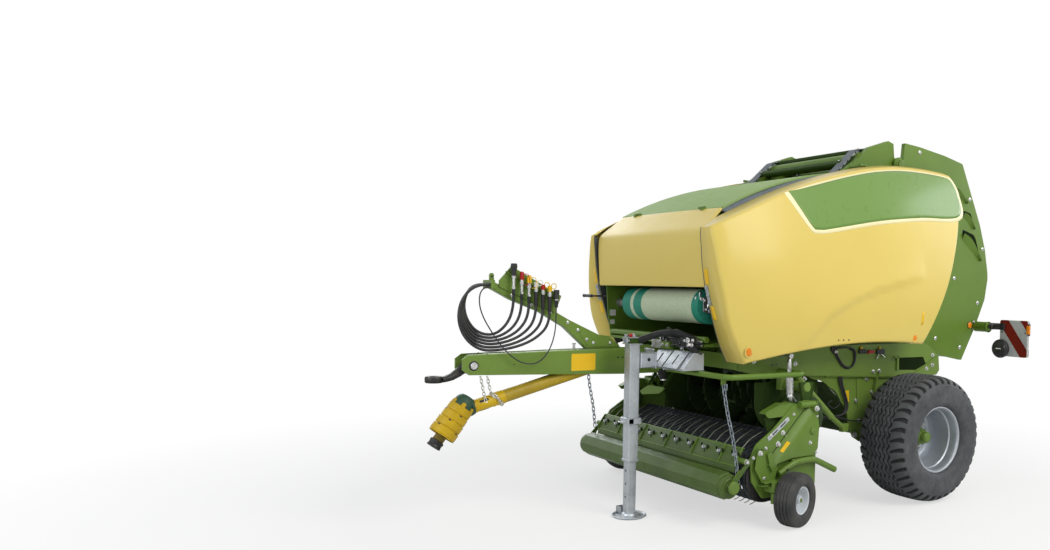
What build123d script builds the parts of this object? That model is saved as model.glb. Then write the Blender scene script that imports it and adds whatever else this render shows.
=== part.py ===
from build123d import *
import math
import os

os.makedirs("parts", exist_ok=True)

# Round baler for big round bales, standing on its jack with the pickup lowered.
# Millimetres. X to the machine's left, forward is -Y, Z up. The origin is on the ground, midway
# between the drawbar eye's tip and the tailgate's rear edge, on the machine's centre plane.
# Side outlines below are (ahead, height) points: ahead is measured forward of the main axle.

# ---------------------------------------------------------------- overall sizes
overall_length = 5246.0
rear_overhang = 1436.0          # axle to the tailgate's rear edge
overall_width = 2712.0          # over the main tyres
axle_y = overall_length / 2 - rear_overhang
eye_tip_ahead = overall_length - rear_overhang

fit_gap = 0.3                   # seats of pieces on one body
turn_gap = 0.3                  # radial play at pins
swing_gap = 6.0                 # between pieces that move past each other

# ---------------------------------------------------------------- wheels
tyre_radius = 529.0
tyre_width = 500.0
rim_radius = 262.0
rim_flange_radius = 276.0
rim_half_width = 205.0
half_track = (overall_width - tyre_width) / 2
axle_section = 120.0
spindle_radius = 38.0
hub_radius = 92.0
wheel_disc_offset = -40.0       # dish of the main wheels, inward of the tyre's middle

gauge_radius = 201.0
gauge_width = 164.0
gauge_rim_radius = 104.0
gauge_toe = 18.0                # degrees that the castored gauge wheels stand turned outward

# ---------------------------------------------------------------- bale chamber
chamber_half_width = 605.0
wall_thickness = 50.0
gate_plate_thickness = 39.0
wall_outer = chamber_half_width + wall_thickness
wall_front = 758.0              # ahead of the axle
gate_plate_inner = wall_outer + swing_gap
gate_plate_outer = gate_plate_inner + gate_plate_thickness
gate_hinge = (-100.0, 2870.0)
gate_hinge_radius = 30.0
belt_half_width = chamber_half_width - 45.0
belt_thickness = 12.0
slat_height = 28.0
slat_width = 62.0
belt_roller_radius = 55.0

# ---------------------------------------------------------------- frame
frame_inner = gate_plate_outer + swing_gap
frame_thickness = 56.0
frame_outer = frame_inner + frame_thickness
drawbar_half_width = 80.0
drawbar_wall = 14.0
rail_radius = 21.0
rail_ahead = 2030.0
rail_height = 1100.0
rail_half_width = 1060.0

# ---------------------------------------------------------------- covers
cover_thickness = 20.0
cover_flange_inner = frame_outer + 23.0
front_cover_half_width = cover_flange_inner - 15.0
front_cover_thickness = 18.0
roof_half_width = frame_inner + 13.0
roof_thickness = 16.0
seal_thickness = 12.0
housing_outer = frame_inner - swing_gap
housing_wall = 10.0
cover_hinge_x = frame_outer + swing_gap
cover_hinge_height = 2790.0
knuckle_radius = 13.0
knuckle_length = 40.0
hinge_pin_radius = 6.0

# ---------------------------------------------------------------- net roll
net_roll_ahead = 1891.0
net_roll_height = 1593.0
net_roll_radius = 133.0
net_roll_end_gap = 38.0
net_roll_length = 2 * (housing_outer - housing_wall - net_roll_end_gap)
net_core_radius = 37.5
net_core_play = 0.5

# ---------------------------------------------------------------- pickup
reel_ahead = 1640.0
reel_height = 345.0
reel_half_width = 1030.0
tine_reach = 232.0
band_radius = 192.0
band_thickness = 5.0
band_width = 42.0
band_pitch = 62.5
band_count = 31
side_plate_inner = 1045.0
side_plate_thickness = 15.0
side_plate_outer = side_plate_inner + side_plate_thickness
pickup_pivot = (1220.0, 840.0)
pickup_pin_radius = 22.0
pickup_pin_end = 1122.0
guard_pivot = (1745.0, 540.0)
guard_roller_ahead = 1979.0
guard_roller_height = 313.0
guard_roller_radius = 102.0
guard_roller_half_width = 1053.0
guard_arm_inner = side_plate_outer + swing_gap
guard_arm_thickness = 12.0
rotor_ahead = 1080.0
rotor_height = 760.0
rotor_radius = 250.0

# ---------------------------------------------------------------- jack
jack_x = 330.0
jack_ahead = 2380.0
jack_tube = 86.0
jack_wall = 6.0
jack_tube_bottom = 426.0
jack_tube_top = 1307.0
jack_leg_size = jack_tube - 2 * jack_wall - 2 * fit_gap
jack_foot_radius = 132.0
jack_foot_thickness = 12.0
jack_head_half = 52.0
jack_head_height = 58.0
jack_cap_radius = 30.0
jack_cap_top = 1382.0
jack_crank_radius = 13.0
jack_crank_height = 1337.0
jack_crank_reach = 92.0
jack_collar_wall = 17.0
jack_collar_half = jack_tube / 2 + jack_collar_wall
jack_collar_play = 3.3
jack_collar_bore = jack_leg_size / 2 + jack_collar_play
jack_collar_bottom = 700.0
jack_collar_top = 752.0
jack_leg_length = 900.0

# ---------------------------------------------------------------- hoses
hose_diameter = 20.0
cable_diameter = 9.0


# ================================================================ helpers
def side_plane(x):
    """Plane whose local x is ahead of the axle and local y is height, facing -X, at this X."""
    return Plane(origin=(x, axle_y, 0), x_dir=(0, -1, 0), z_dir=(-1, 0, 0))


def side_plate(sketch, x_low, x_high):
    """Plate between two X values with a side-view face of (ahead, height)."""
    return extrude(side_plane(x_high) * sketch, amount=x_high - x_low)


def outline(points, corner=0.0):
    """Side-view face through (ahead, height) points, its corners rounded if asked."""
    face = make_face(Polyline(*points, close=True))
    return fillet(face.vertices(), corner) if corner else face


def place(x, ahead, height):
    return Vector(x, axle_y - ahead, height)


def rod(start, end, radius):
    """Round bar between two points of space."""
    start = Vector(start)
    along = Vector(end) - start
    foot = Plane(origin=start, z_dir=along)
    return foot * Cylinder(radius, along.length, align=(Align.CENTER, Align.CENTER, Align.MIN))


def bar_x(ahead, height, radius, x_low, x_high):
    """Round bar across the machine."""
    return rod(place(x_low, ahead, height), place(x_high, ahead, height), radius)


def ring_x(ahead, height, outer, inner, x_low, x_high):
    """Tube across the machine."""
    return bar_x(ahead, height, outer, x_low, x_high) - bar_x(ahead, height, inner, x_low, x_high)


def block(x_low, x_high, ahead_low, ahead_high, z_low, z_high):
    """Box between two corners."""
    size = (x_high - x_low, ahead_high - ahead_low, z_high - z_low)
    middle = place((x_low + x_high) / 2, (ahead_low + ahead_high) / 2, (z_low + z_high) / 2)
    return Pos(*middle) * Box(*size)


def bent_tube(points, radii, radius):
    """Tube of straight runs and tangent arcs through points of space."""
    path = FilletPolyline(*points, radius=radii)
    start = Plane(origin=path @ 0, z_dir=path % 0)
    return sweep(start * Circle(radius), path=path)


def both(shape):
    """A left piece with its mirror image on the right."""
    return shape + mirror(shape, about=Plane.YZ)


def write(name, shape):
    export_step(shape, f"parts/{name}.step")


sides = (("left", False), ("right", True))


def write_pair(stem, left_shape):
    """The same piece on the left and, mirrored, on the right."""
    for side, mirrored in sides:
        write(f"{stem}_{side}", mirror(left_shape, about=Plane.YZ) if mirrored else left_shape)


# ================================================================ main wheels and axle
def ring_section(points):
    """Ring around the X axis from (x, radius) points of its cross-section."""
    section = make_face(Polyline(*[(x, radius, 0) for x, radius in points], close=True))
    return revolve(section, axis=Axis.X)


def main_tyre():
    half = tyre_width / 2
    profile = [
        # x, radius
        (-rim_half_width + 10 + fit_gap, rim_radius + fit_gap),
        (-rim_half_width + 10 + fit_gap, rim_flange_radius + fit_gap),
        (-rim_half_width - 1, rim_flange_radius + fit_gap),
        (-half + 8, rim_flange_radius + 40),
        (-half, rim_flange_radius + 110),
        (-half + 12, tyre_radius - 52),
        (-half + 62, tyre_radius - 14),
        (-half + 150, tyre_radius),
        (half - 150, tyre_radius),
        (half - 62, tyre_radius - 14),
        (half - 12, tyre_radius - 52),
        (half, rim_flange_radius + 110),
        (half - 8, rim_flange_radius + 40),
        (rim_half_width + 1, rim_flange_radius + fit_gap),
        (rim_half_width - 10 - fit_gap, rim_flange_radius + fit_gap),
        (rim_half_width - 10 - fit_gap, rim_radius + fit_gap),
    ]
    return ring_section(profile)


def main_rim():
    well = 14.0
    disc = 12.0
    barrel = ring_section([
        (-rim_half_width, rim_flange_radius),
        (-rim_half_width, rim_radius - well),
        (rim_half_width, rim_radius - well),
        (rim_half_width, rim_flange_radius),
        (rim_half_width - 10, rim_flange_radius),
        (rim_half_width - 10, rim_radius),
        (-rim_half_width + 10, rim_radius),
        (-rim_half_width + 10, rim_flange_radius),
    ])
    dish = ring_section([
        (wheel_disc_offset, spindle_radius + turn_gap),
        (wheel_disc_offset, 150),
        (wheel_disc_offset - 60, rim_radius - well + 1),
        (wheel_disc_offset - 60 - disc, rim_radius - well + 1),
        (wheel_disc_offset - disc, 150 - disc / 2),
        (wheel_disc_offset - disc, spindle_radius + turn_gap),
    ])
    hub = ring_section([
        (wheel_disc_offset - 90, spindle_radius + turn_gap),
        (wheel_disc_offset - 90, hub_radius - 22),
        (wheel_disc_offset, hub_radius),
        (wheel_disc_offset + 70, hub_radius - 30),
        (wheel_disc_offset + 70, spindle_radius + turn_gap),
    ])
    cap = Pos(wheel_disc_offset + 116, 0, 0) * Rot(0, 90, 0) * Cylinder(48, 46)
    cap += Pos(wheel_disc_offset + 82, 0, 0) * Rot(0, 90, 0) * Cylinder(58, 24)
    return barrel + dish + hub + cap


wheel_seat = Pos(half_track, axle_y, tyre_radius)
write_pair("tyre", wheel_seat * main_tyre())
write_pair("wheel_rim", wheel_seat * main_rim())

spindle_end = half_track + wheel_disc_offset + 68
axle = block(-frame_outer - 60, frame_outer + 60, -axle_section / 2, axle_section / 2,
             tyre_radius - axle_section / 2, tyre_radius + axle_section / 2)
axle += both(bar_x(0, tyre_radius, spindle_radius, frame_outer + 50, spindle_end))
write("axle", axle)


# ================================================================ chassis frame
frame_side_outline = [
    # ahead, height
    (1700, 1290), (1700, 1120), (1590, 1096), (1018, 1059), (91, 1008),
    (-400, 1000), (-640, 1030), (-640, 1170), (-430, 1290),
]
axle_plate_bottom = tyre_radius - 75.0
axle_plate = make_face([
    Polyline((1000, 1061), (1000, 1090), (-330, 1040), (-330, 1000), (-170, axle_plate_bottom),
             (330, axle_plate_bottom), (470, 600)),
    ThreePointArc((470, 600), (790, 900), (1000, 1061)),
])
axle_slot = block(frame_inner - 1, frame_outer + 1, -axle_section / 2 - fit_gap,
                  axle_section / 2 + fit_gap, tyre_radius - axle_section / 2 - fit_gap,
                  tyre_radius + axle_section / 2 + fit_gap)
axle_plate_thickness = 24.0
frame_half = side_plate(outline(frame_side_outline), frame_inner, frame_outer)
frame_half += side_plate(axle_plate, frame_inner, frame_inner + axle_plate_thickness) - axle_slot
crossbeams = [
    # ahead low, ahead high, z low, z high
    (1560, 1680, 1110, 1230),
    (560, 640, 1036, 1090),
    (-330, -250, 1006, 1060),
]
frame = both(frame_half)
for ahead_low, ahead_high, z_low, z_high in crossbeams:
    frame += block(-frame_inner - 10, frame_inner + 10, ahead_low, ahead_high, z_low, z_high)

brace_x = frame_inner + axle_plate_thickness + 31.0
brace = rod(place(brace_x, 1105, 1050), place(brace_x, 560, 590), 24)
brace += block(frame_inner + axle_plate_thickness, brace_x + 24, 520, 590, 560, 630)
frame += both(brace)
wall_pads = [
    # ahead low, ahead high, z low, z high
    (40, 160, 1165, 1255), (540, 640, 1165, 1255),
]
for ahead_low, ahead_high, z_low, z_high in wall_pads:
    frame += both(block(wall_outer + fit_gap, frame_inner + 1, ahead_low, ahead_high, z_low, z_high))

# Hangers that carry the pickup's pivots, and brackets for the lift springs.
hanger_ahead = pickup_pivot[0]
hanger_height = 990.0
hanger_plate_x = 1012.0
hanger_plate = outline([
    (hanger_ahead + 55, hanger_height + 40), (hanger_ahead + 45, 800), (hanger_ahead - 45, 800),
    (hanger_ahead - 55, hanger_height + 40),
], 10)
hanger = bar_x(hanger_ahead, hanger_height, 40, frame_outer - 10, hanger_plate_x)
hanger += block(frame_inner, frame_outer, hanger_ahead - 60, hanger_ahead + 60, hanger_height - 45,
                1100)
hanger += side_plate(hanger_plate, hanger_plate_x - 16, hanger_plate_x)
hanger += bar_x(*pickup_pivot, pickup_pin_radius, hanger_plate_x - 10, pickup_pin_end)
frame += both(hanger)
spring_x = 950.0
spring_top = (1366.0, 1232.0)
spring_bottom = (1342.0, 858.0)
spring_pin_radius = 13.0
frame += both(bar_x(*spring_top, spring_pin_radius, frame_outer - 2, spring_x + 32))
write("chassis_frame", frame)

# Bow of tube round the front of the machine, with a lug for each guard chain.
rail_corner = 60.0
rail_rear = 1300.0
rail_x = rail_half_width
rail_points = [
    place(-frame_outer + 6, rail_rear, rail_height),
    place(-rail_x, rail_rear, rail_height),
    place(-rail_x, rail_ahead, rail_height),
    place(rail_x, rail_ahead, rail_height),
    place(rail_x, rail_rear, rail_height),
    place(frame_outer - 6, rail_rear, rail_height),
]
rail = bent_tube(rail_points, [rail_corner] * 4, rail_radius)
rail -= both(side_plate(outline(frame_side_outline), frame_inner - 40, frame_outer + fit_gap))
chain_x = 1000.0
chain_lug_height = rail_height - rail_radius - 34
rail += both(block(chain_x - 5, chain_x + 5, rail_ahead - 20, rail_ahead + 20, chain_lug_height,
                   rail_height - rail_radius + 4))

# ================================================================ drawbar and hitch
drawbar_rear = 1700.0
drawbar_front = eye_tip_ahead - 231.0
pivot_ahead = eye_tip_ahead - 310.0
pivot_height = 1149.0
drawbar_side = outline([
    (drawbar_rear, 1232), (2303, 1252), (2599, 1250), (3086, 1238), (drawbar_front - 40, 1226),
    (drawbar_front, 1196), (drawbar_front, 1120), (drawbar_front - 50, 1084), (2845, 1066),
    (2298, 1050), (drawbar_rear, 1050),
])
drawbar = side_plate(drawbar_side, -drawbar_half_width, drawbar_half_width)
tunnel_top = 1236.0
tunnel = outline([
    (drawbar_rear + 14, tunnel_top - 20), (2303, tunnel_top), (3000, 1150), (3000, 1000),
    (drawbar_rear + 14, 1000),
])
tunnel_half = drawbar_half_width - drawbar_wall
drawbar -= side_plate(tunnel, -tunnel_half, tunnel_half)
tongue_half_width = 32.0
drawbar -= block(-tongue_half_width - fit_gap, tongue_half_width + fit_gap,
                 pivot_ahead - 110, drawbar_front + 10, 1060, 1260)
hitch_bolt_radius = 21.0
drawbar -= bar_x(pivot_ahead, pivot_height, hitch_bolt_radius + fit_gap,
                 -drawbar_half_width - 1, drawbar_half_width + 1)
hitch_bolt = bar_x(pivot_ahead, pivot_height, hitch_bolt_radius,
                   -drawbar_half_width - 16, drawbar_half_width + 16)
rail -= side_plate(drawbar_side, -drawbar_half_width - fit_gap, drawbar_half_width + fit_gap)
write("front_rail", rail)

eye_bore_radius = 25.0
eye_outer_radius = 60.0
eye_ahead = eye_tip_ahead - eye_outer_radius
eye_height = 1057.0
eye_thickness = 44.0
eye = Pos(*place(0, eye_ahead, eye_height)) * Cylinder(eye_outer_radius, eye_thickness)
eye = fillet(eye.edges().filter_by(GeomType.CIRCLE), 12)
tongue = make_face([
    Line((eye_ahead - 30, eye_height - 21), (eye_ahead - 30, eye_height + 21)),
    ThreePointArc((eye_ahead - 30, eye_height + 21), (eye_ahead - 130, eye_height + 52),
                  (eye_ahead - 190, pivot_height + 52)),
    Line((eye_ahead - 190, pivot_height + 52), (pivot_ahead - 100, pivot_height + 52)),
    Line((pivot_ahead - 100, pivot_height + 52), (pivot_ahead - 100, pivot_height - 52)),
    Line((pivot_ahead - 100, pivot_height - 52), (pivot_ahead + 20, pivot_height - 60)),
    ThreePointArc((pivot_ahead + 20, pivot_height - 60), (eye_ahead - 110, eye_height - 14),
                  (eye_ahead - 30, eye_height - 21)),
])
eye += side_plate(tongue, -tongue_half_width, tongue_half_width)
eye -= Pos(*place(0, eye_ahead, eye_height)) * Cylinder(eye_bore_radius, 4 * eye_thickness)
eye += hitch_bolt
write("hitch_eye", eye)

# ================================================================ PTO shaft
pto_radius = 49.0
pto_front = (eye_tip_ahead - 330.0, 853.0)
pto_rear = (2420.0, 1139.0)
pto_direction = (place(0, *pto_front) - place(0, *pto_rear)).normalized()
bell_tip = (eye_tip_ahead - 115.0, 668.0)
bell_back = (eye_tip_ahead - 265.0, 868.0)
bell_direction = (place(0, *bell_tip) - place(0, *bell_back)).normalized()
bell_length = (place(0, *bell_tip) - place(0, *bell_back)).length
guard_tube = rod(place(0, *pto_rear), place(0, *pto_front), pto_radius)
joint_ball_centre = (eye_tip_ahead - 320.0, 866.0)
joint_ball_radius = 72.0
joint_ball = Pos(*place(0, *joint_ball_centre)) * Sphere(joint_ball_radius)
bell_plane = Plane(origin=place(0, *bell_back), z_dir=bell_direction)
bell_back_radius = 84.0
bell_tip_radius = 98.0
base = (Align.CENTER, Align.CENTER, Align.MIN)
bell = bell_plane * Cone(bell_back_radius, bell_tip_radius, bell_length, align=base)
bell_bore = 52.0
bell_depth = 120.0
bell_floor = Plane(origin=place(0, *bell_tip) - bell_direction * bell_depth, z_dir=bell_direction)
bell -= bell_floor * Cylinder(bell_bore, 2 * bell_depth, align=base)
guard_chain_hooks = [
    # ahead, height at the drawbar; ahead, height in the guard tube
    (eye_tip_ahead - 365, 1072, eye_tip_ahead - 410, 890),
    (eye_tip_ahead - 415, 1070, eye_tip_ahead - 470, 906),
]
pto_chain_radius = 5.0
for hook_ahead, hook_height, tube_ahead, tube_height in guard_chain_hooks:
    bell += rod(place(60, hook_ahead, hook_height), place(20, tube_ahead, tube_height),
                pto_chain_radius)
write("pto_guard", guard_tube + joint_ball + bell)

yoke_radius = 40.0
yoke_collar_radius = 50.0
yoke_length = 196.0
yoke_collar_setback = 36.0
yoke_collar_length = 52.0
yoke = (bell_floor * Pos(0, 0, fit_gap)) * Cylinder(yoke_radius, yoke_length, align=base)
yoke_collar_start = yoke_length - yoke_collar_setback
yoke += (bell_floor * Pos(0, 0, yoke_collar_start)) * Cylinder(
    yoke_collar_radius, yoke_collar_length, align=base)
spline_bore_radius = 17.5
spline_bore_depth = 90.0
yoke_end = yoke_collar_start + yoke_collar_length
yoke -= (bell_floor * Pos(0, 0, yoke_end - spline_bore_depth)) * Cylinder(
    spline_bore_radius, 2 * spline_bore_depth, align=base)
write("pto_yoke", yoke)

gearbox_half_width = 60.0
gearbox_shaft_radius = 34.0
gearbox_shaft_length = 150.0
gearbox_trunnion = (2200.0, 1140.0, 50.0)   # ahead, height, radius
gear_input = block(-gearbox_half_width, gearbox_half_width, 2100, 2290, 1090, 1195)
gear_input += rod(place(0, *pto_rear) - pto_direction * gearbox_shaft_length,
                  place(0, *pto_rear) - pto_direction * fit_gap, gearbox_shaft_radius)
gear_input += bar_x(*gearbox_trunnion, -tunnel_half, tunnel_half)
write("gearbox", gear_input)
write("drawbar", drawbar)

# ================================================================ bale chamber walls
split_line = [
    # ahead, height of the parting between the fixed walls and the tailgate
    (-56, 3046), (-70, 2940), (-100, 2870), (-160, 2780), (-430, 1300), (-430, 1150),
]
wall_outline = [
    (10, 3063), (247, 2982), (400, 2854), (563, 2744), (700, 2640), (wall_front, 2500),
    (wall_front, 1300), (640, 1150),
]
wall = side_plate(outline(split_line[::-1] + wall_outline), chamber_half_width, wall_outer)
hinge_pin = bar_x(*gate_hinge, gate_hinge_radius, chamber_half_width + 20, gate_plate_outer + 14)
cover_hinge_aheads = (230.0, 440.0)
hinge_bracket = None
for ahead in cover_hinge_aheads:
    arm = block(wall_outer - 1, cover_hinge_x, ahead, ahead + knuckle_length,
                cover_hinge_height - 12, cover_hinge_height)
    foot_plate = block(wall_outer - 1, wall_outer + 8, ahead, ahead + knuckle_length,
                       cover_hinge_height - 90, cover_hinge_height)
    knuckle = rod(place(cover_hinge_x, ahead, cover_hinge_height),
                  place(cover_hinge_x, ahead + knuckle_length, cover_hinge_height), knuckle_radius)
    pin = rod(place(cover_hinge_x, ahead, cover_hinge_height),
              place(cover_hinge_x, ahead - knuckle_length - 8, cover_hinge_height), hinge_pin_radius)
    bracket = arm + foot_plate + knuckle + pin
    hinge_bracket = bracket if hinge_bracket is None else hinge_bracket + bracket
walls = both(wall + hinge_pin + hinge_bracket)
tie_radius = 38.0
for ahead, height in ((715, 2540), (715, 1400), (-330, 1165)):
    walls += bar_x(ahead, height, tie_radius, -chamber_half_width - 5, chamber_half_width + 5)
walls += bar_x(*gate_hinge, tie_radius, -chamber_half_width - 5, chamber_half_width + 5)


def wrap(rollers, radius):
    """Taut loop face round rollers at (ahead, height)."""
    circles = Sketch() + [Pos(ahead, height) * Circle(radius) for ahead, height in rollers]
    return make_hull(circles.edges())


def conveyor(rollers, slat_count):
    """Endless belt round a row of rollers, with cross slats standing on it."""
    outer = wrap(rollers, belt_roller_radius + belt_thickness)
    inner = wrap(rollers, belt_roller_radius)
    belt = side_plate(outer - inner, -belt_half_width, belt_half_width)
    loop = outer.faces()[0].outer_wire()
    slat_overhang = 15.0
    for index in range(slat_count):
        spot = loop.location_at((index + 0.35) / slat_count)
        along = loop.tangent_at((index + 0.35) / slat_count)
        tilt = math.degrees(math.atan2(along.Y, along.X))
        slat = Pos(spot.position.X, spot.position.Y) * Rot(0, 0, tilt) * Rectangle(
            slat_width, 2 * slat_height)
        belt += side_plate(slat - inner, -belt_half_width - slat_overhang,
                           belt_half_width + slat_overhang)
    return belt


front_rollers = [(60, 2925), (300, 2880), (540, 2665), (620, 1520), (470, 1270)]
write("front_conveyor", conveyor(front_rollers, 20))
for ahead, height in front_rollers:
    walls += bar_x(ahead, height, belt_roller_radius - fit_gap, -chamber_half_width - 5,
                   chamber_half_width + 5)
write("chamber_walls", walls)

# ================================================================ tailgate
gate_outline = [
    # ahead, height
    (-154, 3062), (-357, 3052), (-711, 3013), (-965, 2959), (-1101, 2738), (-1277, 2419),
    (-1372, 2183), (-rear_overhang, 1942), (-1401, 1746), (-1261, 1452), (-1093, 1165),
    (-1035, 1109), (-700, 1085), (-446, 1150), (-446, 1290), (-176, 2780), (-130, 2870),
]
lining_outline = [
    (-380, 2980), (-711, 2960), (-940, 2910), (-1060, 2720), (-1240, 2390),
    (-1330, 2170), (-1390, 1942), (-1360, 1760), (-1220, 1470), (-1060, 1190), (-1010, 1145),
    (-700, 1115), (-470, 1160), (-470, 1290), (-200, 2700), (-215, 2790), (-260, 2920),
]
gate_side = side_plate(outline(gate_outline), gate_plate_inner, gate_plate_outer)
gate_side += side_plate(outline(lining_outline), chamber_half_width, gate_plate_inner + 1)
gate_side += bar_x(*gate_hinge, gate_hinge_radius + 32, gate_plate_inner, gate_plate_outer)
gate_side -= bar_x(*gate_hinge, gate_hinge_radius + turn_gap, chamber_half_width - 10,
                   gate_plate_outer + 10)
gate = both(gate_side)
gate_ties = [
    # ahead, height, radius
    (-440, 2976, 22), (-1331, 1794, 24), (-1035, 1165, 28), (-600, 1140, 24),
]
for ahead, height, radius in gate_ties:
    gate += bar_x(ahead, height, radius, -chamber_half_width - 5, chamber_half_width + 5)
gate_rollers = [(-280, 2850), (-700, 2850), (-930, 2790), (-1220, 2230), (-1250, 1960),
                (-1130, 1560), (-960, 1315), (-560, 1275)]
write("tailgate_conveyor", conveyor(gate_rollers, 26))
for ahead, height in gate_rollers:
    gate += bar_x(ahead, height, belt_roller_radius - fit_gap, -chamber_half_width - 5,
                  chamber_half_width + 5)
write("tailgate_frame", gate)

# Lamp arms out of the tailgate's rear edge, each with a striped board and a round lamp.
board_x_low = 965.0
board_x_high = 1262.0
board_z_low = 1172.0
board_z_high = 1513.0
board_ahead = -1300.0
board_thickness = 34.0
lamp_arm_height = 1450.0
lamp_arm_radius = 27.0
lamp_arm_ahead = board_ahead + board_thickness / 2 + lamp_arm_radius
lamp_arm = bar_x(lamp_arm_ahead, lamp_arm_height, lamp_arm_radius, gate_plate_outer + fit_gap,
                 board_x_low + 60)
lamp_arm += block(gate_plate_outer + fit_gap, gate_plate_outer + 8, lamp_arm_ahead - 30,
                  lamp_arm_ahead + 45, lamp_arm_height - 45, lamp_arm_height + 45)
board_profile = Pos((board_x_low + board_x_high) / 2, (board_z_low + board_z_high) / 2) * (
    RectangleRounded(board_x_high - board_x_low, board_z_high - board_z_low, 24))
board_plane = Plane(origin=place(0, board_ahead - board_thickness / 2, 0), x_dir=(1, 0, 0),
                    z_dir=(0, -1, 0))
board = extrude(board_plane * board_profile, amount=board_thickness)
lamp_radius = 52.0
lamp = rod(place(board_x_low + 36, board_ahead + board_thickness / 2 + fit_gap, board_z_low + 66),
           place(board_x_low + 36, board_ahead + board_thickness / 2 + 44, board_z_low + 66),
           lamp_radius)
write("lamp_arms", both(lamp_arm))
write("warning_boards", both(board))
write("side_lamps", both(lamp))

# ================================================================ front housing and net
frame_top = 1290.0
housing_floor = 1312.0
housing_front = 1975.0
housing_outline = [
    (housing_front, housing_floor), (2006, 1500), (2024, 1738), (2024, 2130), (1852, 2300), (1490, 2470),
    (1165, 2590), (820, 2664), (wall_front + 4, 2670), (wall_front + 4, housing_floor),
]
housing_side = side_plate(outline(housing_outline), housing_outer - housing_wall, housing_outer)
housing = both(housing_side)
housing_foot = frame_outer - 16
housing += block(-housing_outer, housing_outer, wall_front + fit_gap, housing_front,
                 frame_top + fit_gap, housing_floor)
housing += block(-housing_foot, housing_foot, 800, 1690, frame_top + fit_gap, frame_top + 9)
housing += block(-housing_outer, housing_outer, wall_front + fit_gap, wall_front + 12, 1300, 2660)
housing_ties = [
    # ahead, height, radius
    (1840, 2265, 24), (1960, 1345, 24),
]
for ahead, height, radius in housing_ties:
    housing += bar_x(ahead, height, radius, -housing_outer + 2, housing_outer - 2)

roof_line = [(1860, 2338), (1200, 2605), (670, 2718)]


def roof_band(top, bottom):
    """Face between two depths below the roof's upper surface."""
    high = [(ahead, height - top) for ahead, height in roof_line]
    low = [(ahead, height - bottom) for ahead, height in reversed(roof_line)]
    return make_face([ThreePointArc(*high), Line(high[-1], low[0]), ThreePointArc(*low),
                      Line(low[-1], high[0])])


roof = side_plate(roof_band(0, roof_thickness), -roof_half_width, roof_half_width)
roof -= both(block(wall_outer - 60, roof_half_width + 10, 500, 770, 2500, 2800))
write("roof", roof)
seal_top = roof_thickness + fit_gap
seal_face = roof_band(seal_top, seal_top + seal_thickness)
write("roof_seals", both(side_plate(seal_face, housing_outer + fit_gap,
                                    cover_flange_inner - swing_gap)))

net_roll = bar_x(net_roll_ahead, net_roll_height, net_roll_radius,
                 -net_roll_length / 2, net_roll_length / 2)
net_roll -= bar_x(net_roll_ahead, net_roll_height, net_core_radius + net_core_play, -net_roll_length,
                  net_roll_length)
write("net_roll", net_roll)
housing += bar_x(net_roll_ahead, net_roll_height, net_core_radius, -housing_outer + 2,
                 housing_outer - 2)
lever_ahead = 2116.0
lever_height = 1645.0
lever_end = 930.0
lever_radius = 8.0
grip_radius = 13.0
grip_length = 150.0
lever = bent_tube([place(-housing_outer + 4, 1990, lever_height),
                   place(-housing_outer - 40, 2040, lever_height),
                   place(-housing_outer - 40, lever_ahead, lever_height),
                   place(-lever_end, lever_ahead, lever_height)], [15, 20], lever_radius)
lever += bar_x(lever_ahead, lever_height, grip_radius, -lever_end, grip_length - lever_end)
housing += lever

# ================================================================ covers
cover_sections = [
    # ahead, width over the flange at the bottom, at mid height and at the top, height of the top
    (2125, 105, 140, 53, 2235),
    (2000, 180, 215, 95, 2310),
    (1700, 245, 290, 115, 2460),
    (1100, 270, 320, 105, 2650),
    (300, 270, 320, 80, 2815),
    (-700, 205, 255, 35, 2860),
]
cover_section_bottom = 1120.0
cover_belly_rise = 50.0         # the widest point stands this far above mid height


def cover_volume(inset, inner_x):
    """Space inside the cover's outer skin, the skin moved in by the inset."""
    faces = []
    for ahead, wide_low, wide_mid, wide_top, z_top in cover_sections:
        z_mid = (cover_section_bottom + z_top) / 2 + cover_belly_rise
        skin = cover_flange_inner - inset
        low = place(skin + wide_low, ahead, cover_section_bottom)
        middle = place(skin + wide_mid, ahead, z_mid)
        top = place(skin + wide_top, ahead, z_top)
        inner_top = place(inner_x, ahead, z_top)
        inner_low = place(inner_x, ahead, cover_section_bottom)
        faces.append(make_face([
            ThreePointArc(low, middle, top),
            Line(top, inner_top),
            Line(inner_top, inner_low),
            Line(inner_low, low),
        ]))
    return loft(faces, ruled=True)


def cover_outline(front_inset, top_inset, beyond):
    """Side-view face of a side cover; the bottom and rear edges may run beyond."""
    front = [(2085, 2170), (2108, 2120), (2110, 1900), (2085, 1640), (2035, 1435), (1940, 1205)]
    front = [(ahead - front_inset, height) for ahead, height in front]
    top_front = (front[0][0], front[0][1] - top_inset)
    top_rear = (-600 - beyond, 2800 - top_inset)
    rear_high = (-655 - beyond, 2600)
    rear_low = (-26 - beyond, 1309 - beyond)
    bottom_front = (1880 - front_inset, 1183 - beyond)
    return make_face([
        Polyline(top_front, *front[1:], bottom_front),
        ThreePointArc(bottom_front, (900, 1322 - beyond), rear_low),
        ThreePointArc(rear_low, (-466 - beyond, 2085), rear_high),
        Line(rear_high, top_rear),
        ThreePointArc(top_rear, (800, 2676 - top_inset), top_front),
    ])


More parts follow.
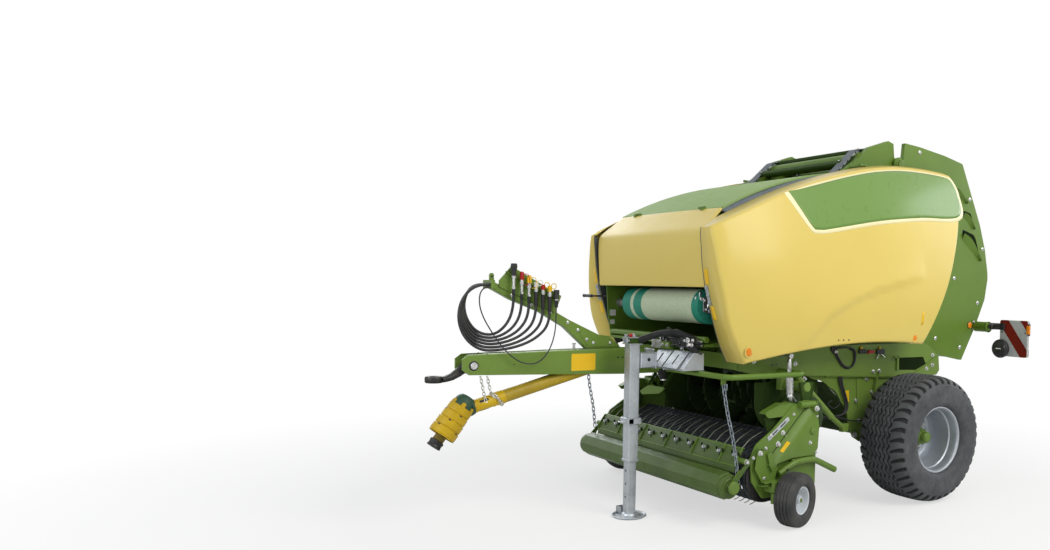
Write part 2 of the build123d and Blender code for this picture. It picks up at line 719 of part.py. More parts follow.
cover_outer = cover_volume(0.0, cover_flange_inner) & side_plate(
    cover_outline(0.0, 0.0, 0.0), cover_flange_inner - 50, 1300)
cover_inner = cover_volume(cover_thickness, cover_flange_inner - 60) & side_plate(
    cover_outline(cover_thickness, cover_thickness, 80.0), cover_flange_inner - 80, 1300)
side_cover = cover_outer - cover_inner
for ahead in cover_hinge_aheads:
    leaf_ahead = ahead - knuckle_length - 6
    leaf = block(cover_hinge_x, cover_flange_inner + 14, leaf_ahead, leaf_ahead + knuckle_length,
                 cover_hinge_height - 12, cover_hinge_height)
    leaf += rod(place(cover_hinge_x, leaf_ahead, cover_hinge_height),
                place(cover_hinge_x, leaf_ahead + knuckle_length, cover_hinge_height),
                knuckle_radius)
    leaf -= rod(place(cover_hinge_x, leaf_ahead - 5, cover_hinge_height),
                place(cover_hinge_x, leaf_ahead + knuckle_length + 5, cover_hinge_height),
                hinge_pin_radius + turn_gap)
    leaf += block(cover_flange_inner + 2, cover_flange_inner + 14, leaf_ahead,
                  leaf_ahead + knuckle_length, cover_hinge_height - 55, cover_hinge_height)
    side_cover += leaf
write_pair("side_cover", side_cover)

front_cover_hinge = (1866.0, 2347.0)
front_cover_profile = [
    # ahead, height
    (2052, 1741), (2076, 1930), (2080, 2125), (2060, 2170), (1872, 2336),
    (1872, 2336 - front_cover_thickness - 6), (2046, 2160), (2061, 2118), (2057, 1930),
    (2036, 1760), (2034, 1743),
]
front_cover = side_plate(outline(front_cover_profile), -front_cover_half_width,
                         front_cover_half_width)
plan = [(-front_cover_half_width, 2090), (front_cover_half_width, 2090),
        (front_cover_half_width, 2050), (roof_half_width - 4, 1860),
        (4 - roof_half_width, 1860), (-front_cover_half_width, 2050),
        (-front_cover_half_width, 2090)]
plan_face = make_face(Polyline(*[(x, axle_y - ahead) for x, ahead in plan]))
front_cover_body = extrude(plan_face, amount=2400) & front_cover
upright = block(-front_cover_half_width, front_cover_half_width, 1990, 2100, 1700, 2000)
front_cover_body += front_cover & upright
hinge_knuckle_ahead, hinge_pin_height = front_cover_hinge
housing_hinge_x = 420.0
leaf_thickness = 5.0
housing_leaf = block(housing_hinge_x, housing_hinge_x + knuckle_length,
                     hinge_knuckle_ahead - leaf_thickness / 2,
                     hinge_knuckle_ahead + leaf_thickness / 2, 2270, hinge_pin_height)
housing_leaf += block(housing_hinge_x, housing_hinge_x + knuckle_length, 1836,
                      hinge_knuckle_ahead + leaf_thickness / 2, 2262, 2272)
cover_hinge_low_x = housing_hinge_x + knuckle_length + 4
front_knuckle_radius = 9.0
front_pin_radius = 4.0
housing_leaf += bar_x(hinge_knuckle_ahead, hinge_pin_height, front_knuckle_radius,
                      housing_hinge_x, housing_hinge_x + knuckle_length)
housing_leaf += bar_x(hinge_knuckle_ahead, hinge_pin_height, front_pin_radius,
                      housing_hinge_x, cover_hinge_low_x + knuckle_length + 6)
housing += both(housing_leaf)
write("front_housing", housing)
cover_leaf = bar_x(hinge_knuckle_ahead, hinge_pin_height, front_knuckle_radius,
                   cover_hinge_low_x, cover_hinge_low_x + knuckle_length)
cover_leaf += block(cover_hinge_low_x, cover_hinge_low_x + knuckle_length,
                    hinge_knuckle_ahead, hinge_knuckle_ahead + 24, 2318, hinge_pin_height - 3)
cover_leaf -= bar_x(hinge_knuckle_ahead, hinge_pin_height, front_pin_radius + turn_gap,
                    cover_hinge_low_x - 5, cover_hinge_low_x + knuckle_length + 5)
front_cover_body += both(cover_leaf)
write("front_cover", front_cover_body)

# ================================================================ jack
jack_mount_radius = 58.0
jack_mount_height = 1178.0
jack_plate_front = 2118.0
jack_plate_thickness = 18.0
jack_plate_reach = 70.0
square = Rectangle(jack_tube, jack_tube)
bore = Rectangle(jack_tube - 2 * jack_wall, jack_tube - 2 * jack_wall)
jack = extrude(Pos(*place(jack_x, jack_ahead, jack_tube_bottom)) * (square - bore),
               amount=jack_tube_top - jack_tube_bottom)


def jack_block(half, z_low, z_high):
    """Square block on the jack's axis."""
    return block(jack_x - half, jack_x + half, jack_ahead - half, jack_ahead + half, z_low, z_high)


jack_head_seat = max(jack_head_half, jack_tube / 2)
jack += jack_block(jack_head_seat, jack_tube_top, jack_tube_top + jack_head_height)
jack += rod(place(jack_x, jack_ahead, jack_tube_top), place(jack_x, jack_ahead, jack_cap_top),
            jack_cap_radius)
jack += rod(place(jack_x, jack_ahead - jack_head_half + 12, jack_crank_height),
            place(jack_x, jack_ahead - jack_crank_reach, jack_crank_height), jack_crank_radius)
jack += (jack_block(jack_collar_half, jack_collar_bottom, jack_collar_top)
         - jack_block(jack_collar_bore, jack_collar_bottom - 10, jack_collar_top + 8))
write("jack_tube", jack)

jack_socket = rod(place(jack_x, jack_ahead - jack_tube / 2 - fit_gap, jack_mount_height),
                  place(jack_x, jack_plate_front, jack_mount_height), jack_mount_radius)
jack_socket += block(drawbar_half_width + fit_gap, jack_x + jack_plate_reach,
                     jack_plate_front - jack_plate_thickness, jack_plate_front, 1122, 1260)
write("jack_socket", jack_socket)

foot_boss_radius = 62.0
foot_boss_height = 20.0
leg = extrude(Pos(*place(jack_x, jack_ahead, jack_foot_thickness))
              * Rectangle(jack_leg_size, jack_leg_size), amount=jack_leg_length)
leg += Pos(*place(jack_x, jack_ahead, jack_foot_thickness / 2)) * Cylinder(
    jack_foot_radius, jack_foot_thickness)
leg += Pos(*place(jack_x, jack_ahead, jack_foot_thickness + foot_boss_height / 2)) * Cylinder(
    foot_boss_radius, foot_boss_height)
leg += block(jack_x - 85, jack_x - 47, jack_ahead - 40, jack_ahead + 40, jack_foot_thickness, 58)
write("jack_leg", leg)

# ================================================================ hose arm
arm_half_width = 34.0
arm_outline = [
    (3383, 1697), (3369, 1746), (3189, 1666), (2955, 1576), (2750, 1467), (2494, 1353),
    (2406, 1344), (2300, 1252.3), (2600, 1250.3), (2790, 1415), (2994, 1528), (3211, 1609),
]
hose_arm = side_plate(outline(arm_outline), -arm_half_width, arm_half_width)
tip_plate_ahead = 3383.0
hose_pitch = 23.0
hose_lanes = [hose_pitch * (index - 2.5) for index in range(6)]
tip_plate_thickness = 33.0
hose_arm += block(hose_lanes[0] - 20, hose_lanes[-1] + 20, tip_plate_ahead - tip_plate_thickness,
                  tip_plate_ahead, 1684, 1748)
hose_arm += block(-6, 6, 3330, 3368, 1735, 1797)
comb_x = 85.0
coupler_radius = 17.0
coupler_head = 28.0
coupler_head_radius = 22.0
coupler_table = [
    # ahead, height of the underside, height of the top
    (3219, 1640, 1868), (3158, 1612, 1812), (3102, 1592, 1788), (3048, 1570, 1758),
    (2994, 1548, 1742), (2940, 1528, 1736), (2886, 1560, 1690),
]
holder_outline = [(3310, 1700), (3310, 1745), (3219, 1850), (2824, 1645), (2872, 1520)]
hose_arm += side_plate(outline(holder_outline), arm_half_width - 1, arm_half_width + 9)
shelf_outline = [(3262, 1808), (3262, 1816), (2844, 1628), (2844, 1620)]
shelf = side_plate(outline(shelf_outline), arm_half_width, comb_x + 30)
for ahead, low, high in coupler_table:
    shelf -= rod(place(comb_x, ahead, low - 20), place(comb_x, ahead, high + 20),
                 coupler_radius + fit_gap)
hose_arm += shelf
write("hose_arm", hose_arm)
couplers = []
for ahead, low, high in coupler_table:
    body = rod(place(comb_x, ahead, low), place(comb_x, ahead, high - coupler_head),
               coupler_radius)
    body += rod(place(comb_x, ahead, high - coupler_head), place(comb_x, ahead, high),
                coupler_head_radius)
    couplers.append(body)
write("hose_couplers", Compound(children=couplers))

# Hanging hoses as (x, ahead, height) corners, from the arm's tip round the loop and up into
# their couplers, the innermost first.
hose_routes = [
    [(-57.5, 3383.3, 1715), (-57.5, 3465, 1715), (-46, 3532, 1607), (-19, 3529, 1482),
     (16, 3463, 1378), (49, 3349, 1355), (74, 3260, 1434), (85, 3219, 1549),
     (85, 3219, 1639.7)],
    [(-34.5, 3383.3, 1715), (-34.5, 3472, 1715), (-25, 3547, 1599), (-2, 3543, 1462),
     (27, 3465, 1352), (54, 3341, 1335), (76, 3222, 1401), (85, 3158, 1516),
     (85, 3158, 1611.7)],
    [(-11.5, 3383.3, 1715), (-11.5, 3470, 1715), (-6, 3553, 1616), (8, 3565, 1487),
     (28, 3512, 1369), (46, 3412, 1313), (66, 3277, 1331), (80, 3169, 1395), (85, 3102, 1500),
     (85, 3102, 1591.7)],
    [(11.5, 3383.3, 1715), (11.5, 3476, 1715), (16, 3568, 1609), (27, 3580, 1469),
     (41, 3518, 1344), (55, 3409, 1291), (71, 3258, 1310), (81, 3134, 1369), (85, 3048, 1474),
     (85, 3048, 1569.7)],
    [(34.5, 3383.3, 1715), (34.5, 3473, 1715), (37, 3570, 1624), (43, 3599, 1493),
     (51, 3559, 1366), (60, 3459, 1280), (69, 3337, 1273), (77, 3200, 1300), (83, 3081, 1358),
     (85, 2994, 1456), (85, 2994, 1547.7)],
    [(57.5, 3383.3, 1715), (57.5, 3479, 1715), (59, 3584, 1618), (62, 3614, 1477),
     (66, 3567, 1341), (71, 3455, 1254), (76, 3316, 1254), (81, 3175, 1279), (84, 3043, 1334),
     (85, 2940, 1433), (85, 2940, 1527.7)],
]
cable_route = [
    (66, 3383.3, 1695), (66, 3425, 1695), (84, 3466, 1655), (98, 3476, 1580), (108, 3456, 1500),
    (114, 3416, 1425), (117, 3366, 1350), (119, 3310, 1275), (120, 3245, 1212),
    (120, 3170, 1165), (120, 3085, 1150), (118, 3010, 1178), (112, 2955, 1240),
    (104, 2918, 1315), (95, 2896, 1395), (85, 2886, 1480), (85, 2886, 1559.7),
]


def turn_radii(points):
    """Radius at each corner of a route: 0.45 of the shorter run over the half turn's tangent."""
    radii = []
    for before, corner, after in zip(points, points[1:], points[2:]):
        run_in = corner - before
        run_out = after - corner
        half_turn = math.radians(run_in.get_angle(run_out)) / 2
        radii.append(0.45 * min(run_in.length, run_out.length) / math.tan(half_turn))
    return radii


def hose(name, route, diameter):
    points = [place(*spot) for spot in route]
    radii = turn_radii(points)
    path = FilletPolyline(*points, radius=radii)
    solid = sweep(Plane(origin=path @ 0, z_dir=path % 0) * Circle(diameter / 2), path=path)
    expected = math.pi * diameter ** 2 / 4 * path.length
    print(f"{name}: length {path.length:.0f}, tightest {min(radii):.0f} "
          f"({min(radii) / diameter:.1f} diameters), volume {solid.volume / expected:.4f} of it")
    write(name, solid)


for number, route in enumerate(hose_routes, start=1):
    hose(f"hose_{number}", route, hose_diameter)
hose("signal_cable", cable_route, cable_diameter)

# ================================================================ pickup
side_plate_outline = [
    # ahead, height
    (1290, 900), (1175, 890), (1158, 700), (1160, 560), (1160, 240), (1300, 200), (1690, 195),
    (1795, 330), (1812, 500), (1760, 600), (1600, 700), (1420, 860),
]
belt_guard_outline = [(1330, 872), (1230, 770), (1560, 400), (1690, 420), (1700, 470)]
belt_guard_depth = 48.0
pickup_side = side_plate(outline(side_plate_outline, 30), side_plate_inner, side_plate_outer)
pickup_side += side_plate(outline(belt_guard_outline, 25), side_plate_outer - 1,
                          side_plate_outer + belt_guard_depth)
pickup_side -= bar_x(*pickup_pivot, pickup_pin_radius + turn_gap, side_plate_inner - 5, 1130)
guard_pin_radius = 14.0
pickup_side += bar_x(*guard_pivot, guard_pin_radius, side_plate_outer - 2,
                     guard_arm_inner + guard_arm_thickness + 10)
cross_tube = (1285.0, 350.0, 45.0)   # ahead, height, radius
pickup = both(pickup_side)
pickup += bar_x(*cross_tube, -side_plate_inner - 2, side_plate_inner + 2)
pickup += both(bar_x(*spring_bottom, spring_pin_radius, spring_x - 32, side_plate_inner + 2))
reel_bore_radius = 30.0
pickup -= both(bar_x(reel_ahead, reel_height, reel_bore_radius + turn_gap, side_plate_inner - 5,
                     side_plate_outer + 20))
kingpin = (1154.0, 1659.0)
kingpin_radius = 13.0
kingpin_boss_radius = 21.0
gauge_bracket_low = 254.0
gauge_bracket_high = 330.0
kingpin_low = 172.0
bracket = block(side_plate_outer - 1, kingpin[0], kingpin[1] - kingpin_boss_radius,
                kingpin[1] + kingpin_boss_radius, gauge_bracket_low, gauge_bracket_high)
bracket += rod(place(*kingpin, gauge_bracket_low), place(*kingpin, gauge_bracket_high),
               kingpin_boss_radius)
bracket += rod(place(*kingpin, kingpin_low), place(*kingpin, gauge_bracket_low + 14),
               kingpin_radius)
pickup += both(bracket)
carrier_x = 1092.0
carrier_radius = 24.0
carrier_bend = 140.0
carrier_route = [place(carrier_x, 1560, 372), place(carrier_x, 1400, 448),
                 place(carrier_x, 1225, 452), place(carrier_x, 985, 345)]
carrier = bent_tube(carrier_route, [carrier_bend, carrier_bend], carrier_radius)
carrier += block(side_plate_outer - 1, carrier_x, 1380, 1430, 430, 470)
pickup += both(carrier)
write("pickup_frame", pickup)

band_end = (1352.0, 640.0)


def band_profile(inset):
    """Outline of a stripper band round the reel and up to the feed rotor."""
    radius = band_radius - inset
    return make_face([
        Line((reel_ahead - 120, reel_height - radius), (reel_ahead, reel_height - radius)),
        ThreePointArc((reel_ahead, reel_height - radius), (reel_ahead + radius, reel_height),
                      (reel_ahead, reel_height + radius)),
        Line((reel_ahead, reel_height + radius), (band_end[0], band_end[1] - inset)),
        Line((band_end[0], band_end[1] - inset), (band_end[0], reel_height + 120)),
        Line((band_end[0], reel_height + 120), (reel_ahead - 120, reel_height - radius)),
    ])


cut_behind = make_face(Polyline((reel_ahead - 121, 0), (0, 0), (0, 566), (band_end[0], 566),
                                (reel_ahead - 121, reel_height - band_radius + 12), close=True))
band_face = band_profile(0) - band_profile(band_thickness) - cut_behind
bands = None
for index in range(band_count):
    x = (index - (band_count - 1) / 2) * band_pitch
    strip = side_plate(band_face, x - band_width / 2, x + band_width / 2)
    bands = strip if bands is None else bands + strip
bands += block(-side_plate_inner + fit_gap, side_plate_inner - fit_gap, band_end[0] - 8,
               band_end[0], 585, band_end[1])
write("pickup_bands", bands)

reel_tube_radius = 60.0
tine_width = 8.0
tine_depth = 7.0
tine_rows = 5
comb_bar = 20.0
comb_points = [(-side_plate_inner + 30, reel_tube_radius - 5),
               (-side_plate_inner + 30, reel_tube_radius + comb_bar)]
for index in range(band_count - 1):
    x = (index - (band_count - 2) / 2) * band_pitch
    comb_points += [(x - tine_width / 2, reel_tube_radius + comb_bar), (x - tine_width / 2, tine_reach),
                    (x + tine_width / 2, tine_reach), (x + tine_width / 2, reel_tube_radius + comb_bar)]
comb_points += [(side_plate_inner - 30, reel_tube_radius + comb_bar),
                (side_plate_inner - 30, reel_tube_radius - 5)]
tine_comb = make_face(Polyline(*comb_points, close=True))
reel_axis = Pos(*place(0, reel_ahead, reel_height))
reel = bar_x(reel_ahead, reel_height, reel_tube_radius, -reel_half_width, reel_half_width)
reel += bar_x(reel_ahead, reel_height, reel_bore_radius, -side_plate_outer + 3,
              side_plate_outer - 3)
for row in range(tine_rows):
    plane = reel_axis * Rot(90 + 360 / tine_rows * row, 0, 0)
    reel += extrude(plane * tine_comb, amount=tine_depth)
write("tine_reel", reel)

# ---------------------------------------------------------------- wind guard
guard_arm_outline = [
    (guard_pivot[0] - 30, guard_pivot[1] + 20), (guard_pivot[0] + 20, guard_pivot[1] + 34),
    (guard_roller_ahead - 60, guard_roller_height + 130), (guard_roller_ahead + 38, guard_roller_height + 30),
    (guard_roller_ahead + 38, guard_roller_height - 38), (guard_roller_ahead - 38, guard_roller_height - 38),
    (guard_pivot[0] + 10, guard_pivot[1] - 40), (guard_pivot[0] - 30, guard_pivot[1] - 30),
]
guard_arm = side_plate(outline(guard_arm_outline, 12), guard_arm_inner,
                       guard_arm_inner + guard_arm_thickness)
roller_pin_radius = 16.0
guard_arm_outer = guard_arm_inner + guard_arm_thickness
guard_arm -= bar_x(*guard_pivot, guard_pin_radius + turn_gap, guard_arm_inner - 5, guard_arm_outer + 5)
guard_arm -= bar_x(guard_roller_ahead, guard_roller_height, roller_pin_radius + turn_gap,
                   guard_arm_inner - 5, guard_arm_outer + 5)
baffle_outline = [
    (1818, 566), (1832, 574), (1868, 520), (1908, 446), (1900, 440), (1860, 512),
]
baffle_half_width = 1000.0
guard_tie = (1862, 486, 22)      # ahead, height, radius
guard = both(guard_arm)
guard += side_plate(outline(baffle_outline), -baffle_half_width, baffle_half_width)
guard += bar_x(*guard_tie, -guard_arm_inner - 4, guard_arm_inner + 4)
write("wind_guard", guard)
roller = bar_x(guard_roller_ahead, guard_roller_height, guard_roller_radius,
               -guard_roller_half_width, guard_roller_half_width)
roller += bar_x(guard_roller_ahead, guard_roller_height, roller_pin_radius,
                -guard_arm_outer - 8, guard_arm_outer + 8)
write("guard_roller", roller)

# ---------------------------------------------------------------- gauge wheels
toe = math.radians(gauge_toe)
wheel_ahead_dir = Vector(math.sin(toe), -math.cos(toe), 0)
wheel_out_dir = Vector(math.cos(toe), math.sin(toe), 0)
gauge_trail = 120.0
gauge_side = 110.0
kingpin_point = place(kingpin[0], kingpin[1], gauge_radius)
gauge_centre = kingpin_point - wheel_ahead_dir * gauge_trail + wheel_out_dir * gauge_side
gauge_axis = Plane(origin=gauge_centre, x_dir=wheel_out_dir, z_dir=(0, 0, 1))
half = gauge_width / 2
gauge_tyre = gauge_axis * ring_section([
    (-half + 22, gauge_rim_radius + fit_gap), (-half, gauge_rim_radius + 34),
    (-half + 4, gauge_radius - 24), (-half + 26, gauge_radius), (half - 26, gauge_radius),
    (half - 4, gauge_radius - 24), (half, gauge_rim_radius + 34),
    (half - 22, gauge_rim_radius + fit_gap),
])
write_pair("gauge_tyre", gauge_tyre)
gauge_stub_radius = 14.0
gauge_rim = gauge_axis * ring_section([
    (-half + 20, gauge_rim_radius), (-half + 20, gauge_rim_radius - 14),
    (-12, gauge_rim_radius - 18), (-12, 30), (-44, 30), (-44, gauge_stub_radius + turn_gap),
    (44, gauge_stub_radius + turn_gap), (44, 30), (2, 30), (2, gauge_rim_radius - 18),
    (half - 20, gauge_rim_radius - 14), (half - 20, gauge_rim_radius),
])
write_pair("gauge_rim", gauge_rim)
fork_sleeve_high = gauge_bracket_low - 3.0
fork_sleeve_low = 176.0
fork = rod(place(kingpin[0], kingpin[1], fork_sleeve_low),
           place(kingpin[0], kingpin[1], fork_sleeve_high), 22)
hub_inner = gauge_centre - wheel_out_dir * (half + 18)
bar_plane = Plane(origin=(kingpin_point + hub_inner) / 2, x_dir=wheel_ahead_dir, z_dir=(0, 0, 1))
fork += bar_plane * Box((kingpin_point - hub_inner).length + 20, 16, 46)
fork += rod(hub_inner - wheel_out_dir * 4, gauge_centre + wheel_out_dir * 56, gauge_stub_radius)
fork += rod(hub_inner - wheel_out_dir * 8, gauge_centre - wheel_out_dir * 48, 24)
fork -= rod(place(kingpin[0], kingpin[1], 100), place(kingpin[0], kingpin[1], 300),
            kingpin_radius + turn_gap)
write_pair("gauge_fork", fork)

# ---------------------------------------------------------------- feed rotor and its housing
rotor_housing_inner = frame_inner - 66.0
rotor_plate = 12.0
rotor_shaft_radius = 40.0
rotor_drum_radius = 85.0
rotor_shaft_half = 1000.0
star_half_thickness = 5.0
star_side_gap = 64.0
star_twist = 18.0               # degrees from one star to the next
flight_radius = 150.0
flight_thickness = 8.0
flight_tilt = 12.0              # degrees
rotor_drum_half = rotor_housing_inner - 4.0
rotor = bar_x(rotor_ahead, rotor_height, rotor_drum_radius, -rotor_drum_half, rotor_drum_half)
rotor += bar_x(rotor_ahead, rotor_height, rotor_shaft_radius, -rotor_shaft_half, rotor_shaft_half)
star = RegularPolygon(rotor_radius, 3) + Rot(0, 0, 60) * RegularPolygon(rotor_radius, 3)
star_count = 13
star_pitch = 2 * (rotor_housing_inner - star_side_gap) / (star_count - 1)
for index in range(star_count):
    x = (index - (star_count - 1) / 2) * star_pitch
    rotor += side_plate(Pos(rotor_ahead, rotor_height) * Rot(0, 0, star_twist * index) * star,
                        x - star_half_thickness, x + star_half_thickness)
for x in (720, 830, 940):
    seat = Pos(*place(x, rotor_ahead, rotor_height)) * Rot(0, 90 + flight_tilt, 0)
    flight = seat * Cylinder(flight_radius, flight_thickness)
    rotor += both(flight)
write("feed_rotor", rotor)

floor_outer = 286.0
floor_sheet = 10.0
bearing_radius = 70.0
bearing_length = 20.0
floor_band = Circle(floor_outer) - Circle(floor_outer - floor_sheet)
floor_keep = make_face(Polyline((-420, 60), (0, 0), (235, -240), (300, -420), (-420, -420), close=True))
floor_band = floor_band & floor_keep
housing_rotor = side_plate(Pos(rotor_ahead, rotor_height) * floor_band, -rotor_housing_inner,
                           rotor_housing_inner)
rotor_side = outline([
    (1330, 1000), (1330, 640), (1240, 520), (1060, 462), (860, 500), (770, 640), (770, 1058),
    (1000, 1058),
])
rotor_cheek = side_plate(rotor_side, rotor_housing_inner, rotor_housing_inner + rotor_plate)
rotor_cheek -= bar_x(rotor_ahead, rotor_height, rotor_shaft_radius + turn_gap,
                     rotor_housing_inner - 40, frame_inner)
housing_rotor += both(rotor_cheek)
rotor_tie = (800, 1020, 28)      # ahead, height, radius
housing_rotor += bar_x(*rotor_tie, -rotor_housing_inner - 4, rotor_housing_inner + 4)
cheek_outer = rotor_housing_inner + rotor_plate
bearing = ring_x(rotor_ahead, rotor_height, bearing_radius, rotor_shaft_radius + turn_gap, cheek_outer,
                 cheek_outer + bearing_length)
housing_rotor += both(bearing)
housing_rotor += both(block(rotor_housing_inner, frame_inner, 860, 960, 1030, 1058))
write("rotor_housing", housing_rotor)

# ---------------------------------------------------------------- springs and chains
spring_radius = 24.0
spring_low = place(spring_x, spring_bottom[0], spring_bottom[1] + spring_pin_radius + fit_gap)
spring_high = place(spring_x, spring_top[0], spring_top[1] - spring_pin_radius - 2)
write("lift_springs", both(rod(spring_low, spring_high, spring_radius)))
chain_radius = 7.0
chain_low = place(chain_x + 40, guard_roller_ahead - 62, guard_roller_height + 128)
chain_high = place(chain_x, rail_ahead, chain_lug_height - 2)
write("guard_chains", both(rod(chain_low, chain_high, chain_radius)))

# ---------------------------------------------------------------- hydraulics and step
valve = block(160, 420, 2040, 2110, 1260.3, 1330)
valve += block(200, 620, 1985, 2040, 1312.3, 1370)
write("valve_block", valve)
tool_box_bottom = rail_height + rail_radius + fit_gap
tool_box_outer = 720.0
tool_box = outline([(2116, tool_box_bottom), (1990, tool_box_bottom), (1990, 1256), (2030, 1256)])
write("tool_box", side_plate(tool_box, jack_x + jack_plate_reach + fit_gap, tool_box_outer))
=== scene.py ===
import math
import random

import bmesh
import bpy
from mathutils import Matrix, Vector


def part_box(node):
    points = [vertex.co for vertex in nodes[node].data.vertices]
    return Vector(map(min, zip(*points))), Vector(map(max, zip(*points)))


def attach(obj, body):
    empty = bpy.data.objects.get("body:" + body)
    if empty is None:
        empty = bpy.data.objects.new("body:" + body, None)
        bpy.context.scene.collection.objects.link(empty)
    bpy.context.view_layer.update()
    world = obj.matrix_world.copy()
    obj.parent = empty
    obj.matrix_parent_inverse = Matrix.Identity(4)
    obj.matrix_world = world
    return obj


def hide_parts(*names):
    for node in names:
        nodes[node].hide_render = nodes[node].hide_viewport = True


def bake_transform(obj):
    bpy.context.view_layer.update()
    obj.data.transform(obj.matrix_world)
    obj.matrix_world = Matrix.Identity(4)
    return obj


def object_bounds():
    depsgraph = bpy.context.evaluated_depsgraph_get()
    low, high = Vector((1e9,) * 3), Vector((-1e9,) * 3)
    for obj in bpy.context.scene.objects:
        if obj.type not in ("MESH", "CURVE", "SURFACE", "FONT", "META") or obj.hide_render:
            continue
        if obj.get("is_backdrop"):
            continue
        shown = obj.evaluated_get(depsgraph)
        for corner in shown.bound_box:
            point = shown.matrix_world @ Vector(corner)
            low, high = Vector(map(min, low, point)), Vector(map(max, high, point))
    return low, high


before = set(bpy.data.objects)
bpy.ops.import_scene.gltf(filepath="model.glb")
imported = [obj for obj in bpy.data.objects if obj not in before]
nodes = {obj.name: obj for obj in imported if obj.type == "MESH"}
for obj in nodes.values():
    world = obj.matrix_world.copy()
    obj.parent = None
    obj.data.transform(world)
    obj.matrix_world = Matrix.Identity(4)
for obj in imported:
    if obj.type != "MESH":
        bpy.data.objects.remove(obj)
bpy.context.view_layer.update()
scene = bpy.context.scene
random.seed(4)

# Round baler. The scene is in metres: X to the machine's left, forward is -Y, Z up. Tables are in
# millimetres, as x, ahead (forward of the main axle) and height, and at() turns them into the scene's.
MM = 0.001
X = Vector((1, 0, 0))
AHEAD = Vector((0, -1, 0))
UP = Vector((0, 0, 1))
SIDES = (("left", 1), ("right", -1))
wheel_low, wheel_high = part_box("tyre_left")
AXLE_Y = (wheel_low.y + wheel_high.y) / 2
AXLE_HEIGHT = 529.0


def at(x, ahead, height):
    return Vector((x * MM, AXLE_Y - ahead * MM, height * MM))


# ================================================================ camera
LENS = 29.636
CAMERA_SPOT = at(5853, 5769, 1694)
CAMERA_TURN = math.radians(52.23)
CAMERA_TILT = math.radians(-2.74)
CAMERA_ROLL = math.radians(1.489)
camera_data = bpy.data.cameras.new("camera")
camera_data.lens = LENS
camera_data.sensor_width = 36.0
camera_data.shift_x = -0.1924
camera_data.shift_y = 0.0571
camera = bpy.data.objects.new("camera", camera_data)
scene.collection.objects.link(camera)
forward = Vector((-math.sin(CAMERA_TURN) * math.cos(CAMERA_TILT),
                  math.cos(CAMERA_TURN) * math.cos(CAMERA_TILT), math.sin(CAMERA_TILT)))
level = Vector((math.cos(CAMERA_TURN), math.sin(CAMERA_TURN), 0))
upward = level.cross(forward)
right = level * math.cos(CAMERA_ROLL) + upward * math.sin(CAMERA_ROLL)
up = upward * math.cos(CAMERA_ROLL) - level * math.sin(CAMERA_ROLL)
camera.matrix_world = Matrix((
    (right.x, up.x, -forward.x, CAMERA_SPOT.x),
    (right.y, up.y, -forward.y, CAMERA_SPOT.y),
    (right.z, up.z, -forward.z, CAMERA_SPOT.z),
    (0, 0, 0, 1)))
scene.camera = camera


# ================================================================ materials
class Shader:
    """A node material with a Principled surface, and short calls for the nodes that feed it."""

    def __init__(self, name, rough=0.5, metallic=0.0, coat=0.0, coat_rough=0.1, specular=0.5):
        self.material = bpy.data.materials.new(name)
        self.material.use_nodes = True
        self.tree = self.material.node_tree
        self.surface = self.tree.nodes["Principled BSDF"]
        self.surface.inputs["Roughness"].default_value = rough
        self.surface.inputs["Metallic"].default_value = metallic
        self.surface.inputs["Coat Weight"].default_value = coat
        self.surface.inputs["Coat Roughness"].default_value = coat_rough
        self.surface.inputs["Specular IOR Level"].default_value = specular
        self.place = self.tree.nodes.new("ShaderNodeTexCoord").outputs["Object"]

    def node(self, kind, **values):
        made = self.tree.nodes.new(kind)
        for key, value in values.items():
            setattr(made, key, value)
        return made

    def link(self, output, target):
        self.tree.links.new(output, target)

    def stretched(self, scale):
        """Object coordinates with their own scale along each axis."""
        mapping = self.node("ShaderNodeMapping")
        mapping.inputs["Scale"].default_value = scale
        self.link(self.place, mapping.inputs["Vector"])
        return mapping.outputs["Vector"]

    def noise(self, scale, detail=3.0, rough=0.55, where=None):
        made = self.node("ShaderNodeTexNoise")
        made.inputs["Scale"].default_value = scale
        made.inputs["Detail"].default_value = detail
        made.inputs["Roughness"].default_value = rough
        self.link(where or self.place, made.inputs["Vector"])
        return made.outputs["Fac"]

    def cells(self, scale, feature="F1", where=None, output="Distance"):
        made = self.node("ShaderNodeTexVoronoi", feature=feature)
        made.inputs["Scale"].default_value = scale
        self.link(where or self.place, made.inputs["Vector"])
        return made.outputs[output]

    def remap(self, value, low, high, out_low=0.0, out_high=1.0):
        made = self.node("ShaderNodeMapRange")
        for key, number in zip(("From Min", "From Max", "To Min", "To Max"),
                               (low, high, out_low, out_high)):
            made.inputs[key].default_value = number
        self.link(value, made.inputs["Value"])
        return made.outputs["Result"]

    def math(self, operation, first, second=None):
        made = self.node("ShaderNodeMath", operation=operation)
        for socket, value in zip(made.inputs, (first, second)):
            if value is None:
                continue
            if isinstance(value, (int, float)):
                socket.default_value = value
            else:
                self.link(value, socket)
        return made.outputs[0]

    def mix(self, factor, first, second):
        """Colour between two colours, each a tuple or another node's output."""
        made = self.node("ShaderNodeMix", data_type="RGBA")
        self.link(factor, made.inputs[0])
        for socket, value in ((made.inputs[6], first), (made.inputs[7], second)):
            if isinstance(value, tuple):
                socket.default_value = (*value, 1.0)
            else:
                self.link(value, socket)
        return made.outputs[2]

    def split(self, output=None):
        made = self.node("ShaderNodeSeparateXYZ")
        self.link(output or self.place, made.inputs[0])
        return made.outputs

    def colour(self, value):
        socket = self.surface.inputs["Base Color"]
        if isinstance(value, tuple):
            socket.default_value = (*value, 1.0)
        else:
            self.link(value, socket)

    def roughness(self, value):
        self.link(value, self.surface.inputs["Roughness"])

    def bump(self, height, strength, distance):
        made = self.node("ShaderNodeBump")
        made.inputs["Strength"].default_value = strength
        made.inputs["Distance"].default_value = distance
        self.link(height, made.inputs["Height"])
        self.link(made.outputs["Normal"], self.surface.inputs["Normal"])


